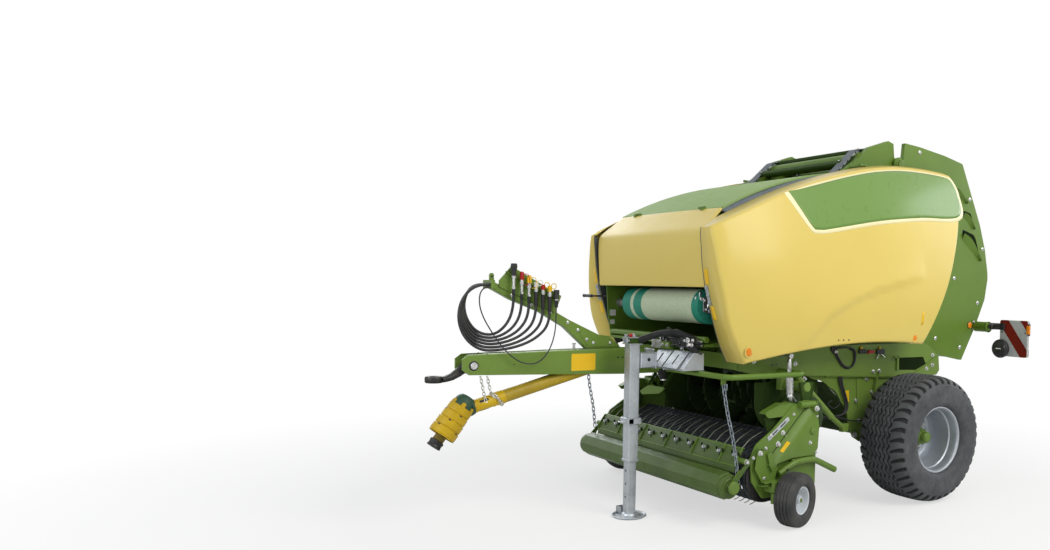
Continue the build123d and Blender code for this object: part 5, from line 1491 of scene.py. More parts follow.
valves = Part(steel)
valves.box((170, 2044, 1262), (300, 2108, 1326), 3)
valves.box((204, 1988, 1314), (470, 2036, 1364), 3)
for k, x in enumerate((226, 268, 310, 352, 394, 436)):
    valves.use(black_steel).rod(at(x, 2012, 1364), at(x, 2012, 1369), 15, 18)
    valves.use(zinc).bolt(at(x, 2036, 1338), AHEAD, 20, True, 0)
    valves.use(bright_steel).rod(at(x, 2040, 1338), at(x, 2066, 1334), 9, 14)
valves.use(steel).box((490, 1990, 1316), (616, 2038, 1366), 4)
for x in (512, 548, 586):
    valves.use(zinc).lathe([(0, 20), (6, 20), (10, 16), (24, 16), (28, 12), (28, 0.01)], at(x, 2038, 1340),
                           AHEAD,
                           steps=24)
valves.use(bright_steel).bolts([(x, 2108, z) for z in (1274, 1316) for x in (182, 288)], AHEAD, 10)
valves.use(green).box((300, 2070, 1262), (420, 2108, 1318), 3)
valves.use(bright_steel).bolts([(x, 2108, 1290) for x in (326, 388)], AHEAD, 19)
valves.done("valve_bank", "chassis", "steel", ["valve_block"], sharp=36)


def corrugated(part, points, radius, pitch, steps=8):
    """Split corrugated sleeve: a tube whose radius rises and falls."""
    path = curve_points(points, steps)
    lengths = lengths_along(path)
    count = int(lengths[-1] / MM / pitch)
    dense = []
    k = 0
    for i in range(count * 2 + 1):
        want = lengths[-1] * i / (count * 2)
        while k < len(path) - 2 and lengths[k + 1] < want:
            k += 1
        dense.append(path[k].lerp(path[k + 1], (want - lengths[k]) / max(lengths[k + 1] - lengths[k], 1e-9)))
    part.tube(dense, [radius if i % 2 else radius * 0.86 for i in range(len(dense))], sides=16, smooth=False)


lines = Part(hose_rubber)
corrugated(lines, [jack_at(40, -30, 1330), at(400, 2300, 1350), at(460, 2220, 1384), at(520, 2140, 1392),
                   at(590, 2080, 1372), at(640, 2030, 1340)], 27, 9)
bundle = [
    # start x, ahead, height, middle x, ahead, height, end x, ahead, height, radius
    (240, 2060, 1334, 360, 2110, 1392, 560, 2086, 1344, 11),
    (280, 2060, 1334, 400, 2120, 1380, 600, 2090, 1330, 11),
    (320, 2062, 1334, 430, 2128, 1366, 640, 2080, 1352, 10),
    (360, 2064, 1334, 470, 2132, 1352, 668, 2070, 1330, 10),
    (400, 2064, 1334, 500, 2134, 1336, 676, 2060, 1312, 9),
    (512, 2066, 1340, 560, 2120, 1322, 680, 2050, 1296, 10),
    (548, 2066, 1340, 600, 2112, 1300, 684, 2040, 1280, 10),
    (586, 2066, 1340, 636, 2100, 1290, 690, 2020, 1262, 9),
    (230, 2000, 1372, 300, 2040, 1420, 420, 2030, 1372, 8),
    (350, 2000, 1372, 420, 2050, 1410, 600, 2020, 1372, 8),
]
for x0, a0, z0, x1, a1, z1, x2, a2, z2, radius in bundle:
    p, q, r = at(x0, a0, z0), at(x1, a1, z1), at(x2, a2, z2)
    lines.tube([p, p.lerp(q, 0.5) + Vector((0, -0.012, 0.006)), q,
                q.lerp(r, 0.5) + Vector((0, -0.01, 0.004)), r],
               radius * 0.75, sides=10)
for k in range(12):
    start = Vector((random.uniform(300, 560), random.uniform(2070, 2130), random.uniform(1290, 1380)))
    end = Vector((random.uniform(640, 735), random.uniform(1990, 2050), random.uniform(1240, 1330)))
    middle = (start + end) / 2 + Vector((0, random.uniform(10, 50), random.uniform(-30, 40)))
    lines.tube([at(*start), at(*start.lerp(middle, 0.5)) + UP * 0.006, at(*middle), at(*end)], 6, sides=8)
lines.use(bright_steel)
for k in range(14):
    x = random.uniform(470, 700)
    spot = at(x, random.uniform(2050, 2110), random.uniform(1268, 1356))
    lean = Vector((random.uniform(0.2, 1.0), -random.uniform(0.1, 0.6), random.uniform(-0.5, 0.5)))
    lines.lathe([(0, 6), (0, 9), (14, 9), (16, 12), (28, 12), (30, 8), (46, 8), (46, 5)], spot, lean,
                steps=10)
for x, z in ((690, 1330), (690, 1300)):
    lines.rod(at(560, 2000, z + 6), at(x, 2000, z), 6, 12)
    lines.lathe([(0, 9), (0, 12), (16, 12), (16, 9)], at(x - 70, 2000, z + 3), X, steps=6)
lines.use(black_plastic)
for x, a, z in ((580, 2110, 1330), (610, 2104, 1312), (560, 2118, 1306)):
    lines.lathe([(0, 0.01), (0, 16), (12, 18), (22, 14), (34, 14), (34, 0.01)], at(x, a - 12, z), AHEAD,
                steps=20)
lines.done("valve_hoses", "chassis", "hose", sharp=45)

boot = Part(black_plastic)
corrugated(boot, [at(300, 2092, 1100), at(303, 2088, 1060), at(308, 2082, 1026)], 30, 11, 10)
boot.use(bright_steel).lathe([(0, 22), (10, 24), (10, 0.01)], at(308, 2082, 1024), -UP, steps=20)
boot.done("rubber_boot", "chassis", "hose", sharp=50)

lip = Part(green)
shape = rounded([(-316, 859), (-185, 920), (82, 924), (-21, 866), (-281, 832)], 14, 4)
lip.prism([(p.y, -p.x) for p in shape], at(0, 1896, 0), AHEAD, 8, 2, toward=UP)
lip.use(dark_green)
for x in (-190, 40):
    lip.plate([(1904, 900), (1904, 930), (1790, 1110), (1750, 1110)], x, x + 6, 1)
lip.box((-230, 1740, 1096), (80, 1800, 1112), 2)
lip.done("scraper_lip", "chassis", "green_paint", sharp=40)


# ================================================================ drawbar, hitch eye and drive shaft
beam_top = [(1700, 1232), (2303, 1252), (2599, 1250), (3086, 1238), (3539, 1226), (3579, 1196)]
beam_bottom = [(1700, 1050), (2298, 1050), (2845, 1066), (3529, 1084), (3579, 1120)]
beam_stations = [
    # ahead along the lower edge, ahead along the upper edge, half width
    (1700, 1700, 76.5), (2300, 2300, 76.5), (2850, 2850, 76.5), (3030, 3150, 76.5), (3340, 3340, 79.0),
    (3378, 3378, 79.5), (3436, 3436, 74.5), (3529, 3539, 76.5), (3560, 3566, 76.5), (3579, 3579, 76.5),
]
# The beam takes the lighter frame green, painted light.
beam = Part(lit_frame_green)
for sign in (1, -1):
    rows = []
    for low, high, x in beam_stations:
        b, t = between(low, beam_bottom), between(high, beam_top)
        inner = 58 if low > 3300 else 40
        rows.append([at(sign * inner, low, b), at(sign * (x - 8), low, b), at(sign * (x - 2), low, b + 2),
                     at(sign * x, low, b + 8), at(sign * x, high, t - 7), at(sign * (x - 2), high, t - 2),
                     at(sign * (x - 8), high, t), at(sign * inner, high, t)])
    beam.grid(rows, closed_v=True, cap=True)
for line, low, high in ((beam_top, -16, -6), (beam_bottom, 5, 15)):
    spots = [p for p in line if p[0] < 3500] + [(3400, between(3400, line))]
    spots = sorted(p for p in spots if p[0] <= 3400)
    beam.plate([(a, z + low) for a, z in spots] + [(a, z + high) for a, z in reversed(spots)], -66, 66, 2)
beam.box((-60, 3300, 1090), (60, 3312, 1225), 1)
for sign in (1, -1):
    beam.tube([at(sign * 77, 3412 + 4 * math.sin(t) - 40 * math.sin(t), 1160 + 70 * math.cos(t))
               for t in (math.pi * k / 16 for k in range(17))], 3, sides=6, smooth=False)
    beam.use(black_steel).lathe([(0, 34), (2, 34), (3, 31), (3, 26), (0, 25)], at(sign * 76.5, 3500, 1149),
                                X * sign, steps=36)
    beam.use(bright_steel).lathe([(0, 25), (10, 25), (12, 23), (12, 0.01)], at(sign * 76.5, 3500, 1149),
                                 X * sign, steps=36)
    beam.use(lit_frame_green)
beam.use(bright_steel)
beam.rod(at(0, 2693, 1246), at(0, 2693, 1286), 10, 18)
beam.lathe([(0, 15), (5, 16), (9, 12), (10, 0.01)], at(0, 2693, 1284), UP, steps=24)
beam.use(sticker_yellow)
for x_low, x_high in ((76.4, 77.4), (-77.4, -76.4)):
    beam.plate(rectangle(2549, 1089, 2751, 1216, 10), x_low, x_high, 0.2)
beam.use(black_steel)
for ahead in (2310, 2352):
    beam.lathe([(0, 7), (0.8, 7), (0.8, 0.01)], at(76.5, ahead, 1180), X, steps=14)
beam.lathe([(0, 5), (0.8, 5), (0.8, 0.01)], at(78, 3205, 1152), X, steps=12)
beam.done("drawbar_beam", "chassis", "green_paint", ["drawbar"], sharp=20)

eye = Part(black_steel)
eye_line = [
    # ahead, height, half width, half thickness
    (3462, 1150, 31, 34), (3500, 1149, 31, 36), (3540, 1132, 30, 34), (3585, 1096, 30, 29),
    (3630, 1070, 32, 24), (3672, 1058, 38, 21), (3700, 1056, 46, 21),
]
rows = []
for k, (a, z, wide, thick) in enumerate(eye_line):
    before, after = eye_line[max(k - 1, 0)], eye_line[min(k + 1, len(eye_line) - 1)]
    along = Vector((after[0] - before[0], after[1] - before[1])).normalized()
    side = Vector((-along.y, along.x))
    row = []
    for s in range(20):
        t = 2 * math.pi * s / 20
        c, n = math.cos(t), math.sin(t)
        u = math.copysign(abs(c) ** 0.7, c) * wide
        v = math.copysign(abs(n) ** 0.7, n) * thick
        row.append(at(u, a + side.x * v, z + side.y * v))
    rows.append(row)
eye.grid(rows, closed_v=True, cap=True)
eye.lathe([(22, 28), (20, 26.5), (10, 25.2), (-10, 25.2), (-20, 26.5), (-22, 28), (-22, 52), (-19, 57),
           (-12, 59.5), (12, 59.5), (19, 57), (22, 52), (22, 28)], at(0, 3750, 1057), UP, steps=48)
eye.done("hitch_ring", "chassis", "black_steel", ["hitch_eye"], sharp=50)

shaft_rear, shaft_front = at(0, 2420, 1139), at(0, 3480, 853)
shaft_axis = (shaft_front - shaft_rear).normalized()
shaft_dull = plastic("dull_yellow_plastic", (0.44, 0.315, 0.022), (0.33, 0.23, 0.018), 0.42)
shaft_teal = plastic("dark_teal_plastic", (0.045, 0.105, 0.060), (0.030, 0.075, 0.044), 0.45)


def along_shaft(ahead):
    return shaft_rear + shaft_axis * ((shaft_rear.y - (AXLE_Y - ahead * MM)) / -shaft_axis.y)


def shaft_part(part, profile):
    """Lathe on the shaft's line: profile of (ahead, radius)."""
    part.lathe([((along_shaft(a) - shaft_rear).length / MM, r) for a, r in profile], shaft_rear, shaft_axis,
               steps=48)


guard = Part(shaft_dull)
shaft_part(guard, [(2420, 40), (2420, 46), (2424, 47), (3255, 47), (3255, 30)])
guard.use(yellow_plastic)
shaft_part(guard, [(3246, 44), (3248, 49.5), (3300, 50), (3306, 48.5), (3310, 44.5), (3318, 44.5),
                   (3321, 48), (3334, 48.5), (3338, 45.5), (3452, 46), (3456, 48.6), (3476, 48.6), (3480, 46),
                   (3480, 40)])
slot_face = frame_of(shaft_axis, X)
guard.use(black_plastic)
for turn in (35, 155, 275):
    out = spoke(slot_face, math.radians(turn))
    guard.prism(rectangle(-9, -34, 9, 34, 6), along_shaft(3400) + out * 44.5 * MM, out, 2.2, 0.4,
                toward=shaft_axis.cross(out))
bell_start, bell_end = at(0, 3545, 868), at(0, 3695, 668)
bell_axis = (bell_end - bell_start).normalized()
guard.use(shaft_teal)
guard.lathe([(-70, 40), (-66, 52), (-52, 64), (-30, 72), (-6, 77), (8, 78), (22, 76), (26, 70)],
            bell_start, bell_axis, steps=56)
shaft_part(guard, [(3470, 44), (3474, 54), (3500, 60), (3512, 56)])
guard.lathe([(0, 30), (0, 70), (4, 72), (10, 70), (10, 30)], at(0, 3490, 866), shaft_axis, steps=40)
guard.use(yellow_plastic)
BELL_PITCH, BELL_FLARE = 58, 3.4    # length of each of the bell's bands, and how much each one widens
profile = [(14, 72), (16, 84)]
for k in range(4):
    start, radius = 16 + BELL_PITCH * k, 84 + BELL_FLARE * k
    profile += [(start, radius), (start + 3, radius + 2.4), (start + 44, radius + 3.0),
                (start + 50, radius + 2.0),
                (start + 53, radius - 1.6), (start + 57, radius - 1.2)]
profile += [(248, 96.5), (250, 97.5), (250, 93), (240, 91), (150, 84), (130, 56), (130, 38)]
guard.lathe(profile, bell_start, bell_axis, steps=64)
bell_turn = frame_of(bell_axis, X)
for k in range(6):
    out = spoke(bell_turn, math.radians(60 * k + 18))
    lug = bell_start + out * 70 * MM + bell_axis * 10 * MM
    shape = rounded([(-14, -22), (14, -22), (17, 14), (0, 22), (-17, 14)], 9, 4)
    guard.prism(shape, lug, out, 16, 3, toward=bell_axis.cross(out))
guard.use(black_plastic)
for k in range(12):
    out = spoke(bell_turn, math.radians(30 * k))
    band = 1 + k % 3
    spot = bell_start + bell_axis * (16 + BELL_PITCH * band + 4) * MM + out * (84.5 + BELL_FLARE * band) * MM
    guard.prism(rectangle(-11, -4, 11, 4, 4, 3), spot, out, 3, 0.4, toward=bell_axis.cross(out))
guard.done("shaft_guard", "chassis", "pto_yellow", ["pto_guard"], sharp=36)

hold = Part(worn_steel("pale_chain_steel", (0.66, 0.66, 0.60), (0.40, 0.40, 0.34), 0.42))
for points in ([(60, 3445, 1072), (48, 3424, 1000), (34, 3404, 930), (46, 3392, 880)],
               [(60, 3395, 1070), (46, 3374, 1000), (36, 3350, 930), (48, 3330, 905)]):
    hold.chain([at(*p) for p in points], 30, 19, 2.8)
wrap_side = frame_of(shaft_axis, X)
for lean in (0.0, 0.32):
    ring = []
    for k in range(25):
        t = 2 * math.pi * k / 24
        ring.append(along_shaft(3300 + 26 * math.sin(t + lean)) + spoke(wrap_side, t) * 53 * MM)
    hold.chain(ring, 30, 19, 2.8)
hold.done("shaft_chains", "chassis", "steel", sharp=60, weld=False)

yoke = Part(black_plastic)
yoke_start = bell_start + bell_axis * 131 * MM
yoke.use(plastic("yoke_sleeve", (0.20, 0.145, 0.012), (0.15, 0.105, 0.010), 0.4))
yoke.lathe([(0, 0.01), (0, 38), (4, 40), (158, 40), (160, 36)], yoke_start, bell_axis, steps=40)
yoke.use(black_steel)
yoke.lathe([(160, 34), (160, 44), (163, 50), (176, 50), (180, 47), (196, 47), (200, 50), (209, 50), (212, 46),
            (212, 19), (210, 17.6), (124, 17.6), (124, 0.01)], yoke_start, bell_axis, steps=48)
for k in range(6):
    side = spoke(bell_turn, math.radians(60 * k))
    mid = yoke_start + side * 18.2 * MM + bell_axis * 126 * MM
    yoke.prism([(-3, -1), (3, -1), (3, 2), (-3, 2)], mid, bell_axis, 84, 0.3, toward=side)
yoke.done("shaft_yoke", "pto_yoke", "black_steel", ["pto_yoke"], sharp=40)


# ================================================================ hose arm and couplers
# The post takes the lighter frame green, painted light.
post = Part(lit_frame_green)
arm_top = [(2300, 1252.3), (2406, 1344), (2494, 1353), (2750, 1467), (2955, 1576), (3189, 1666), (3369, 1746)]
arm_low = [(2600, 1250.3), (2790, 1415), (2994, 1528), (3211, 1609), (3383, 1697)]
post.plate([(3383, 1697), (3369, 1746)] + arm_top[-2::-1] + arm_low[:-1], -30, 30, 3)
front_flange = [(2330, 1262), (2420, 1336), (2500, 1346), (2660, 1418), (2670, 1386), (2640, 1330),
                (2590, 1262)]
post.plate(front_flange, 30, 34, 1.5)
post.plate([(2880, 1534), (3380, 1744), (3383, 1700), (2940, 1500)], 30, 33, 1.2)
post.plate([(3210, 1616), (3383, 1697), (3383, 1702), (3206, 1622)], 26, 36, 1)
post.box((-77, 3352, 1686), (77, 3381, 1746), 3)
post.plate([(3331, 1737), (3332, 1786), (3340, 1796), (3357, 1796), (3366, 1786), (3366, 1737)], -6, 6, 1.5)
post.plate(rounded([(3310, 1700), (3310, 1745), (3219, 1850), (2824, 1645), (2872, 1520)], 8),
           33.5, 43, 1.5)
post.plate([(3262, 1812), (3262, 1806), (2844, 1618), (2844, 1624)], 36, 64, 1)
for ahead in (3219, 3158, 3102, 3048, 2994, 2940, 2886):
    level = 1807 - (3262 - ahead) * 0.45
    post.plate([(ahead - 19, level - 14), (ahead + 19, level + 3), (ahead + 19, level - 2),
                (ahead - 19, level - 19)],
               60, 84, 1)
post.use(black_steel).lathe([(0, 8), (0.8, 8), (0.8, 0.01)], at(6, 3348, 1772), X, steps=18)
post.use(bright_steel)
for ahead, height, x in ((3350, 1703, 34), (3209, 1640, 34), (3058, 1575, 34), (2910, 1522, 34),
                         (2762, 1448, 30),
                         (2677, 1392, 30), (2602, 1320, 34), (2545, 1292, 34), (2401, 1289, 34)):
    post.bolt(at(x, ahead, height), X, 15)
    post.bolt(at(-30, ahead, height), -X, 15)
post.done("hose_post", "chassis", "green_paint", ["hose_arm"], sharp=36)

coupler_table = [
    # ahead, bottom, top, sleeve radius, sleeve length, head radius, cap colour, ring lean
    (3219, 1640, 1868, 11, 46, 22, "black", 0), (3158, 1612, 1812, 10, 40, 15, "red", 0),
    (3102, 1592, 1788, 10, 44, 16, "yellow", 0), (3048, 1570, 1758, 14, 110, 16, "white", 1),
    (2994, 1548, 1742, 14, 110, 15, "red", 1), (2940, 1528, 1736, 14, 110, 15, "yellow", 1),
]
cap_looks = {"black": black_plastic, "red": red_plastic, "yellow": sticker_yellow, "white": white_plastic}
couplers = Part(black_plastic)
for ahead, bottom, top, radius, sleeve, head, cap, ring in coupler_table:
    base = at(85, ahead, bottom)
    rise = top - bottom
    mid = rise * 0.52
    couplers.use(black_plastic)
    couplers.lathe([(0, 9.8), (0, radius - 2), (3, radius), (sleeve, radius + 2), (sleeve, 9)], base, UP,
                   steps=24)
    couplers.use(bright_steel)
    couplers.prism(polygon(6, 13), base + UP * sleeve * MM, UP, 16, 1.5)
    couplers.lathe([(sleeve + 16, 9), (sleeve + 16, 10), (mid, 10), (mid, 14), (mid + 4, 16), (mid + 26, 16),
                    (mid + 28, 12), (mid + 40, 12), (mid + 40, 5)], base, UP, steps=28)
    couplers.use(cap_looks[cap])
    if cap == "black":
        couplers.lathe([(mid + 20, 12), (mid + 22, 18), (rise - 44, 18), (rise - 40, 22), (rise - 4, 22),
                        (rise, 18), (rise, 0.01)], base, UP, steps=32)
        couplers.lathe([(rise - 30, 23), (rise - 26, 24), (rise - 18, 24), (rise - 14, 23)], base, UP,
                       steps=32)
    elif not ring:
        couplers.lathe([(mid + 38, 10), (mid + 38, head), (mid + 44, head + 1), (rise - 8, head),
                        (rise, head - 4),
                        (rise, 0.01)], base, UP, steps=28)
        couplers.tube([base + Vector((0.0, 0.016, (rise - 16) * MM)),
                       base + Vector((0.012, 0.044, (rise - 22) * MM)),
                       base + Vector((0.016, 0.052, (mid + 12) * MM)),
                       base + Vector((0.008, 0.020, (mid + 2) * MM))],
                      2.4, sides=6)
    else:
        couplers.lathe([(mid + 38, 8), (mid + 38, head), (mid + 42, head + 1), (rise - 22, head + 1),
                        (rise - 18, head - 3), (rise - 18, 0.01)], base, UP, steps=28)
        couplers.use(sticker_yellow if cap != "white" else white_plastic)
        hoop = [base + Vector((0.002, 0.010 + 0.020 * (1 - math.cos(t)), (rise - 22 + 20 * math.sin(t)) * MM))
                for t in (2 * math.pi * k / 16 for k in range(16))]
        couplers.tube(hoop, 3.2, sides=7, closed=True, smooth=False)
couplers.use(black_plastic)
couplers.lathe([(0, 6), (0, 11), (4, 13), (46, 13), (50, 18), (92, 19), (96, 17), (98, 21), (126, 21),
                (129, 18),
                (129, 0.01)], at(85, 2886, 1560), UP, steps=32)
couplers.use(bright_steel).lathe([(52, 18.4), (52, 19.6), (60, 19.6), (60, 18.4)], at(85, 2886, 1560), UP,
                                 steps=32)
couplers.done("hose_coupler_set", "chassis", "black_steel", ["hose_couplers"], sharp=40)


# ================================================================ pickup
PIVOT = (1220, 840)
side = Part(green)
side_shape = rounded([(1290, 900), (1175, 890), (1158, 700), (1160, 560), (1160, 240), (1300, 200),
                      (1690, 195), (1795, 330), (1812, 500), (1760, 600), (1600, 700), (1420, 860)], 30, 5)
side.plate(side_shape, 1045, 1060, 2)
cover_base = rounded([(1290, 836), (1650, 476), (1600, 446), (1420, 474), (1225, 478), (1172, 520),
                      (1162, 700),
                      (1186, 806), (1232, 852)], [20, 6, 6, 10, 20, 60, 80, 60, 30], 5)
seam_out = Vector((-1, -1)).normalized()
rings = []
for x, inset, seam_shift in ((1059, 0, 0), (1074, 0, 10), (1094, 2, 52), (1099, 8, 58), (1100, 14, 64)):
    ring = []
    middle = Vector((1340, 620))
    for p in cover_base:
        from_seam = (p - Vector((1290, 836))).dot(seam_out)
        q = p + (middle - p).normalized() * inset
        if from_seam < seam_shift:
            q = q + seam_out * (seam_shift - max(from_seam, 0.0))
        ring.append((x, q.x, q.y))
    rings.append(ring)
side.rings(rings)
side.use(black_steel)
seam_dir = Vector((1, -1)).normalized()
start = Vector((1284, 836))
side.plate([start + seam_dir * t + Vector((1, 1)).normalized() * o
            for t, o in ((0, 0), (496, 0), (496, 9), (0, 9))], 1059, 1061.5, 0.3)
side.use(green)
for a, z, r, deep in ((1239, 666, 26, 12), (1239, 666, 18, 16)):
    side.bar(a, z, r, 1098, 1098 + deep)
side.rod(at(1084, 1205, 872), at(1084, 1362, 872), 24)
side.plate([(1196, 896), (1206, 896), (1206, 790), (1196, 780)], 1060, 1110, 2)
side.plate([(1362, 892), (1290, 900), (1250, 856), (1330, 838)], 1056, 1066, 1)
side.bar(*PIVOT, 40, 1059, 1084)
side.bar(1285, 350, 45, -5, 1047)
side.bar(1342, 858, 12, 918, 1047)
for x in (918, 980):
    side.plate([(1382, 884), (1382, 830), (1310, 800), (1310, 870)], x, x + 4, 0.8)
side.plate([(1382, 884), (1400, 850), (1330, 790), (1310, 800)], 918, 1047, 1.5)
# Inner wing at the top, its rolled edge and the crop guide below it, which is dark green as painted shade
# under the wing.
side.plate([(1678, 819), (1520, 884), (1376, 872), (1402, 790), (1642, 785)], 1046, 1052, 1.2)
side.rings([[(x, a, z) for a,
             z in ((1676, 822), (1650, 838), (1520, 888), (1400, 880), (1400, 874), (1520, 880),
                                      (1650, 830), (1676, 816))] for x in (985, 1052)])
side.use(dark_green).plate([(1640, 784), (1600, 640), (1560, 610), (1450, 640), (1430, 790)], 1000, 1004, 1)
side.use(green)
# Drilled plate, bracket with its hooks, and the wing over the gauge wheel.
side.plate([(1757, 374), (1751, 596), (1696, 586), (1690, 470), (1700, 372)], 1060, 1064, 1)
side.use(black_steel)
for k in range(7):
    for ahead in (1712, 1738):
        side.lathe([(0, 5.5), (0.5, 5.5), (0.5, 0.01)], at(1064, ahead, 392 + 28 * k), X, steps=12)
side.use(green)
side.plate(rounded([(1770, 560), (1680, 556), (1570, 420), (1600, 330), (1720, 322),
                                       (1790, 430)], 26, 5), 1084, 1089, 1)
side.plate([(1600, 336), (1606, 330), (1724, 322), (1730, 328)], 1060, 1140, 1)
for x in (1089, 1104):
    side.plate(rounded([(1690, 530), (1650, 548), (1606, 420), (1640, 398), (1664, 440)], 12, 4),
               x, x + 5, 1)
side.bar(1666, 452, 9, 1084, 1114)
side.bar(1624, 430, 9, 1084, 1114)
wing = [(1745, 300), (1700, 318), (1600, 322), (1493, 330), (1478, 312), (1500, 300), (1600, 300),
        (1690, 294)]
side.plate(wing, 1060, 1122, 2)
side.box((1059, 1638, 254), (1154, 1680, 296), 3)
side.rod(at(1154, 1659, 254), at(1154, 1659, 330), 21)
side.rod(at(1154, 1659, 172), at(1154, 1659, 268), 13)
side.lathe([(0, 0.01), (0, 26), (5, 26), (5, 0.01)], at(1154, 1659, 328), UP, steps=28)
side.tube([at(1092, 1560, 372), at(1092, 1480, 410), at(1092, 1420, 434), at(1092, 1370, 446),
           at(1092, 1290, 450), at(1092, 1225, 448), at(1092, 1180, 434), at(1092, 1100, 398),
           at(1092, 985, 345)], 24, sides=24)
side.box((1059, 1380, 430), (1092, 1430, 468), 2)
side.use(black_steel).lathe([(0, 10), (1, 10), (1, 0.01)], at(1115, 1500, 399), X, steps=16)
side.use(zinc)
strip_a, strip_b = Vector((1450, 774)), Vector((1652, 630))
u = (strip_b - strip_a).normalized()
w = Vector((-u.y, u.x))
side.plate(rounded([strip_a - w * 17, strip_b - w * 17, strip_b + w * 17, strip_a + w * 17], 10, 4),
           1060, 1064, 0.6)
side.use(black_steel)
for t0, t1 in ((0.12, 0.42), (0.55, 0.86)):
    p, q = strip_a.lerp(strip_b, t0), strip_a.lerp(strip_b, t1)
    shape = rounded([p - w * 5, q - w * 5, q + w * 5, p + w * 5], 5, 4)
    side.plate(shape, 1063.8, 1064.4, 0.1)
side.use(bright_steel)
for ahead, height, x, size in ((1505, 669, 1060, 22), (1551, 587, 1060, 26), (1262, 580, 1100, 18),
                               (1478, 758, 1064, 15), (1622, 655, 1064, 15), (1400, 800, 1060, 15),
                               (1470, 640, 1060, 13), (1745, 540, 1089, 24), (1700, 352, 1089, 18),
                               (1668, 566, 1060, 16), (1196, 500, 1100, 13), (1196, 780, 1100, 13)):
    side.bolt(at(x, ahead, height), X, size)
side.bar(*PIVOT, 16, 1084, 1112)
side.bolt(at(1111, 1206, 836), X, 18, False)
side.use(sticker_yellow)
label = [(1486, 610), (1440, 588), (1506, 520), (1556, 538)]
spots = []
for a, z in label:
    from_seam = max((Vector((a, z)) - Vector((1290, 836))).dot(seam_out), 0.0)
    spots.append(at(1076 + 20 * min(from_seam / 44.0, 1.0) + 1.5, a, z))
side.grid([[spots[0], spots[3]], [spots[1], spots[2]]])
side.mirror()
# Dark plate on the far side behind the intake, as painted shade that closes the gap there.
side.use(dark_green).plate([(1170, 560), (1060, 570), (1056, 740), (1170, 780)], -1060, -1046, 2)
side.done("pickup_sides", "pickup", "green_paint", ["pickup_frame"], sharp=34, weld=False)

band_steel = worn_steel("band_steel", (0.075, 0.085, 0.095), (0.035, 0.040, 0.044), 0.62)
bands = Part(band_steel)
REEL = (1640.0, 345.0)
band_path = [(1520, 155), (1560, 153.6), (1600, 153)]
band_path += [(REEL[0] + 192 * math.sin(t), REEL[1] - 192 * math.cos(t)) for t in
              (math.pi * k / 22 for k in range(23))]
band_path += [(1576, 560), (1500, 587), (1424, 614), (1352, 640)]
points = [Vector(p) for p in band_path]
for index in range(33):
    x = (index - 16) * 62.5
    rows = []
    for k, p in enumerate(points):
        along = (points[min(k + 1, len(points) - 1)] - points[max(k - 1, 0)]).normalized()
        out = Vector((along.y, -along.x))
        ring = []
        for off, lift in ((-21, -9), (-19.5, -3), (-12, 0), (0, 1.5), (12, 0), (19.5, -3), (21, -9), (16, -5),
                          (0, -2), (-16, -5)):
            q = p + out * (lift - 1.5)
            ring.append(at(x + off, q.x, q.y))
        rows.append(ring)
    bands.grid(rows, closed_v=True, cap=True)
bands.box((-1044, 1344, 585), (1044, 1352, 636), 1)
back = [math.radians(a) for a in range(150, 226, 5)]
bands.use(dark_green)
bands.plate([(1352, 582)] + [(REEL[0] + 248 * math.cos(a), REEL[1] - 248 * math.sin(-a)) for a in back]
            + [(REEL[0] + 243 * math.cos(a), REEL[1] - 243 * math.sin(-a)) for a in reversed(back)]
            + [(1357, 584)],
            -1044, 1044, 0.5)
bands.done("stripper_bands", "pickup", "steel", ["pickup_bands"], sharp=50)

reel = Part(black_steel)
reel.bar(*REEL, 58, -1020, 1020, 32)
reel.bar(*REEL, 29, -1056, 1056, 24)
for x in (-1028, -520, 0, 520, 1020):
    reel.lathe([(0, 56), (0, 106), (4, 108), (8, 106), (8, 56)], at(x, *REEL), X, steps=40)
tine_steel = worn_steel("tine_steel", (0.20, 0.22, 0.20), (0.10, 0.11, 0.10), 0.36)
for row in range(5):
    a0 = math.radians(72 * row + 18)
    reel.use(dark_green)
    spot = (REEL[0] + 92 * math.cos(a0), REEL[1] + 92 * math.sin(a0))
    reel.bar(*spot, 13, -1026, 1026, 14)
    reel.use(tine_steel)
    for index in range(30):
        x = (index - 14.5) * 62.5
        wire = []
        for k, (radius, back) in enumerate(((92, 0), (108, 2), (140, 9), (172, 18), (200, 29), (218, 38),
                                            (229, 46))):
            a = a0 + math.radians(back)
            wire.append(at(x, REEL[0] + radius * math.cos(a), REEL[1] + radius * math.sin(a)))
        reel.tube(wire, 3.2, sides=6, steps=2)
        reel.lathe([(-9, 13), (-9, 17), (9, 17), (9, 13)], at(x, *spot), X, steps=10)
reel.use(black_steel)
for sign in (1, -1):
    reel.lathe([(0, 60), (0, 182), (2, 186), (8, 186), (10, 182), (10, 60)], at(sign * 1026, *REEL),
               X * sign, steps=64)
reel.done("tine_reel_rows", "tine_reel", "steel", ["tine_reel"], sharp=50, weld=False)

# Wind guard: arms, ribbed baffle with its spring hooks, and the roller ahead of it. The arms, the baffle's
# sheet and the roller take a darker copy of the green, as painted shade.
baffle = Part(green)
arm_shape = rounded([(1715, 556), (1765, 570), (1892, 446), (1984, 346), (1996, 306), (1972, 292),
                     (1952, 334),
                     (1856, 438), (1755, 516), (1715, 520)], 12, 4)
baffle.use(shaded_roller_green).plate(arm_shape, 1066, 1078, 1.5)
baffle.use(green)
baffle.plate([(1870, 440), (1920, 428), (1990, 350), (1960, 320), (1900, 380)], 1062, 1067, 1)
baffle.bar(1862, 486, 21, 1000, 1082)
baffle.lathe([(0, 0.01), (0, 44), (4, 47), (16, 47), (20, 44), (24, 40), (24, 0.01)], at(1078, 1979, 313), X,
             steps=32)
baffle.use(bright_steel).bolt(at(1078, 1862, 486), X, 24)
baffle.bolt(at(1078, 1800, 510), X, 16)
baffle.use(green)
baffle.mirror()
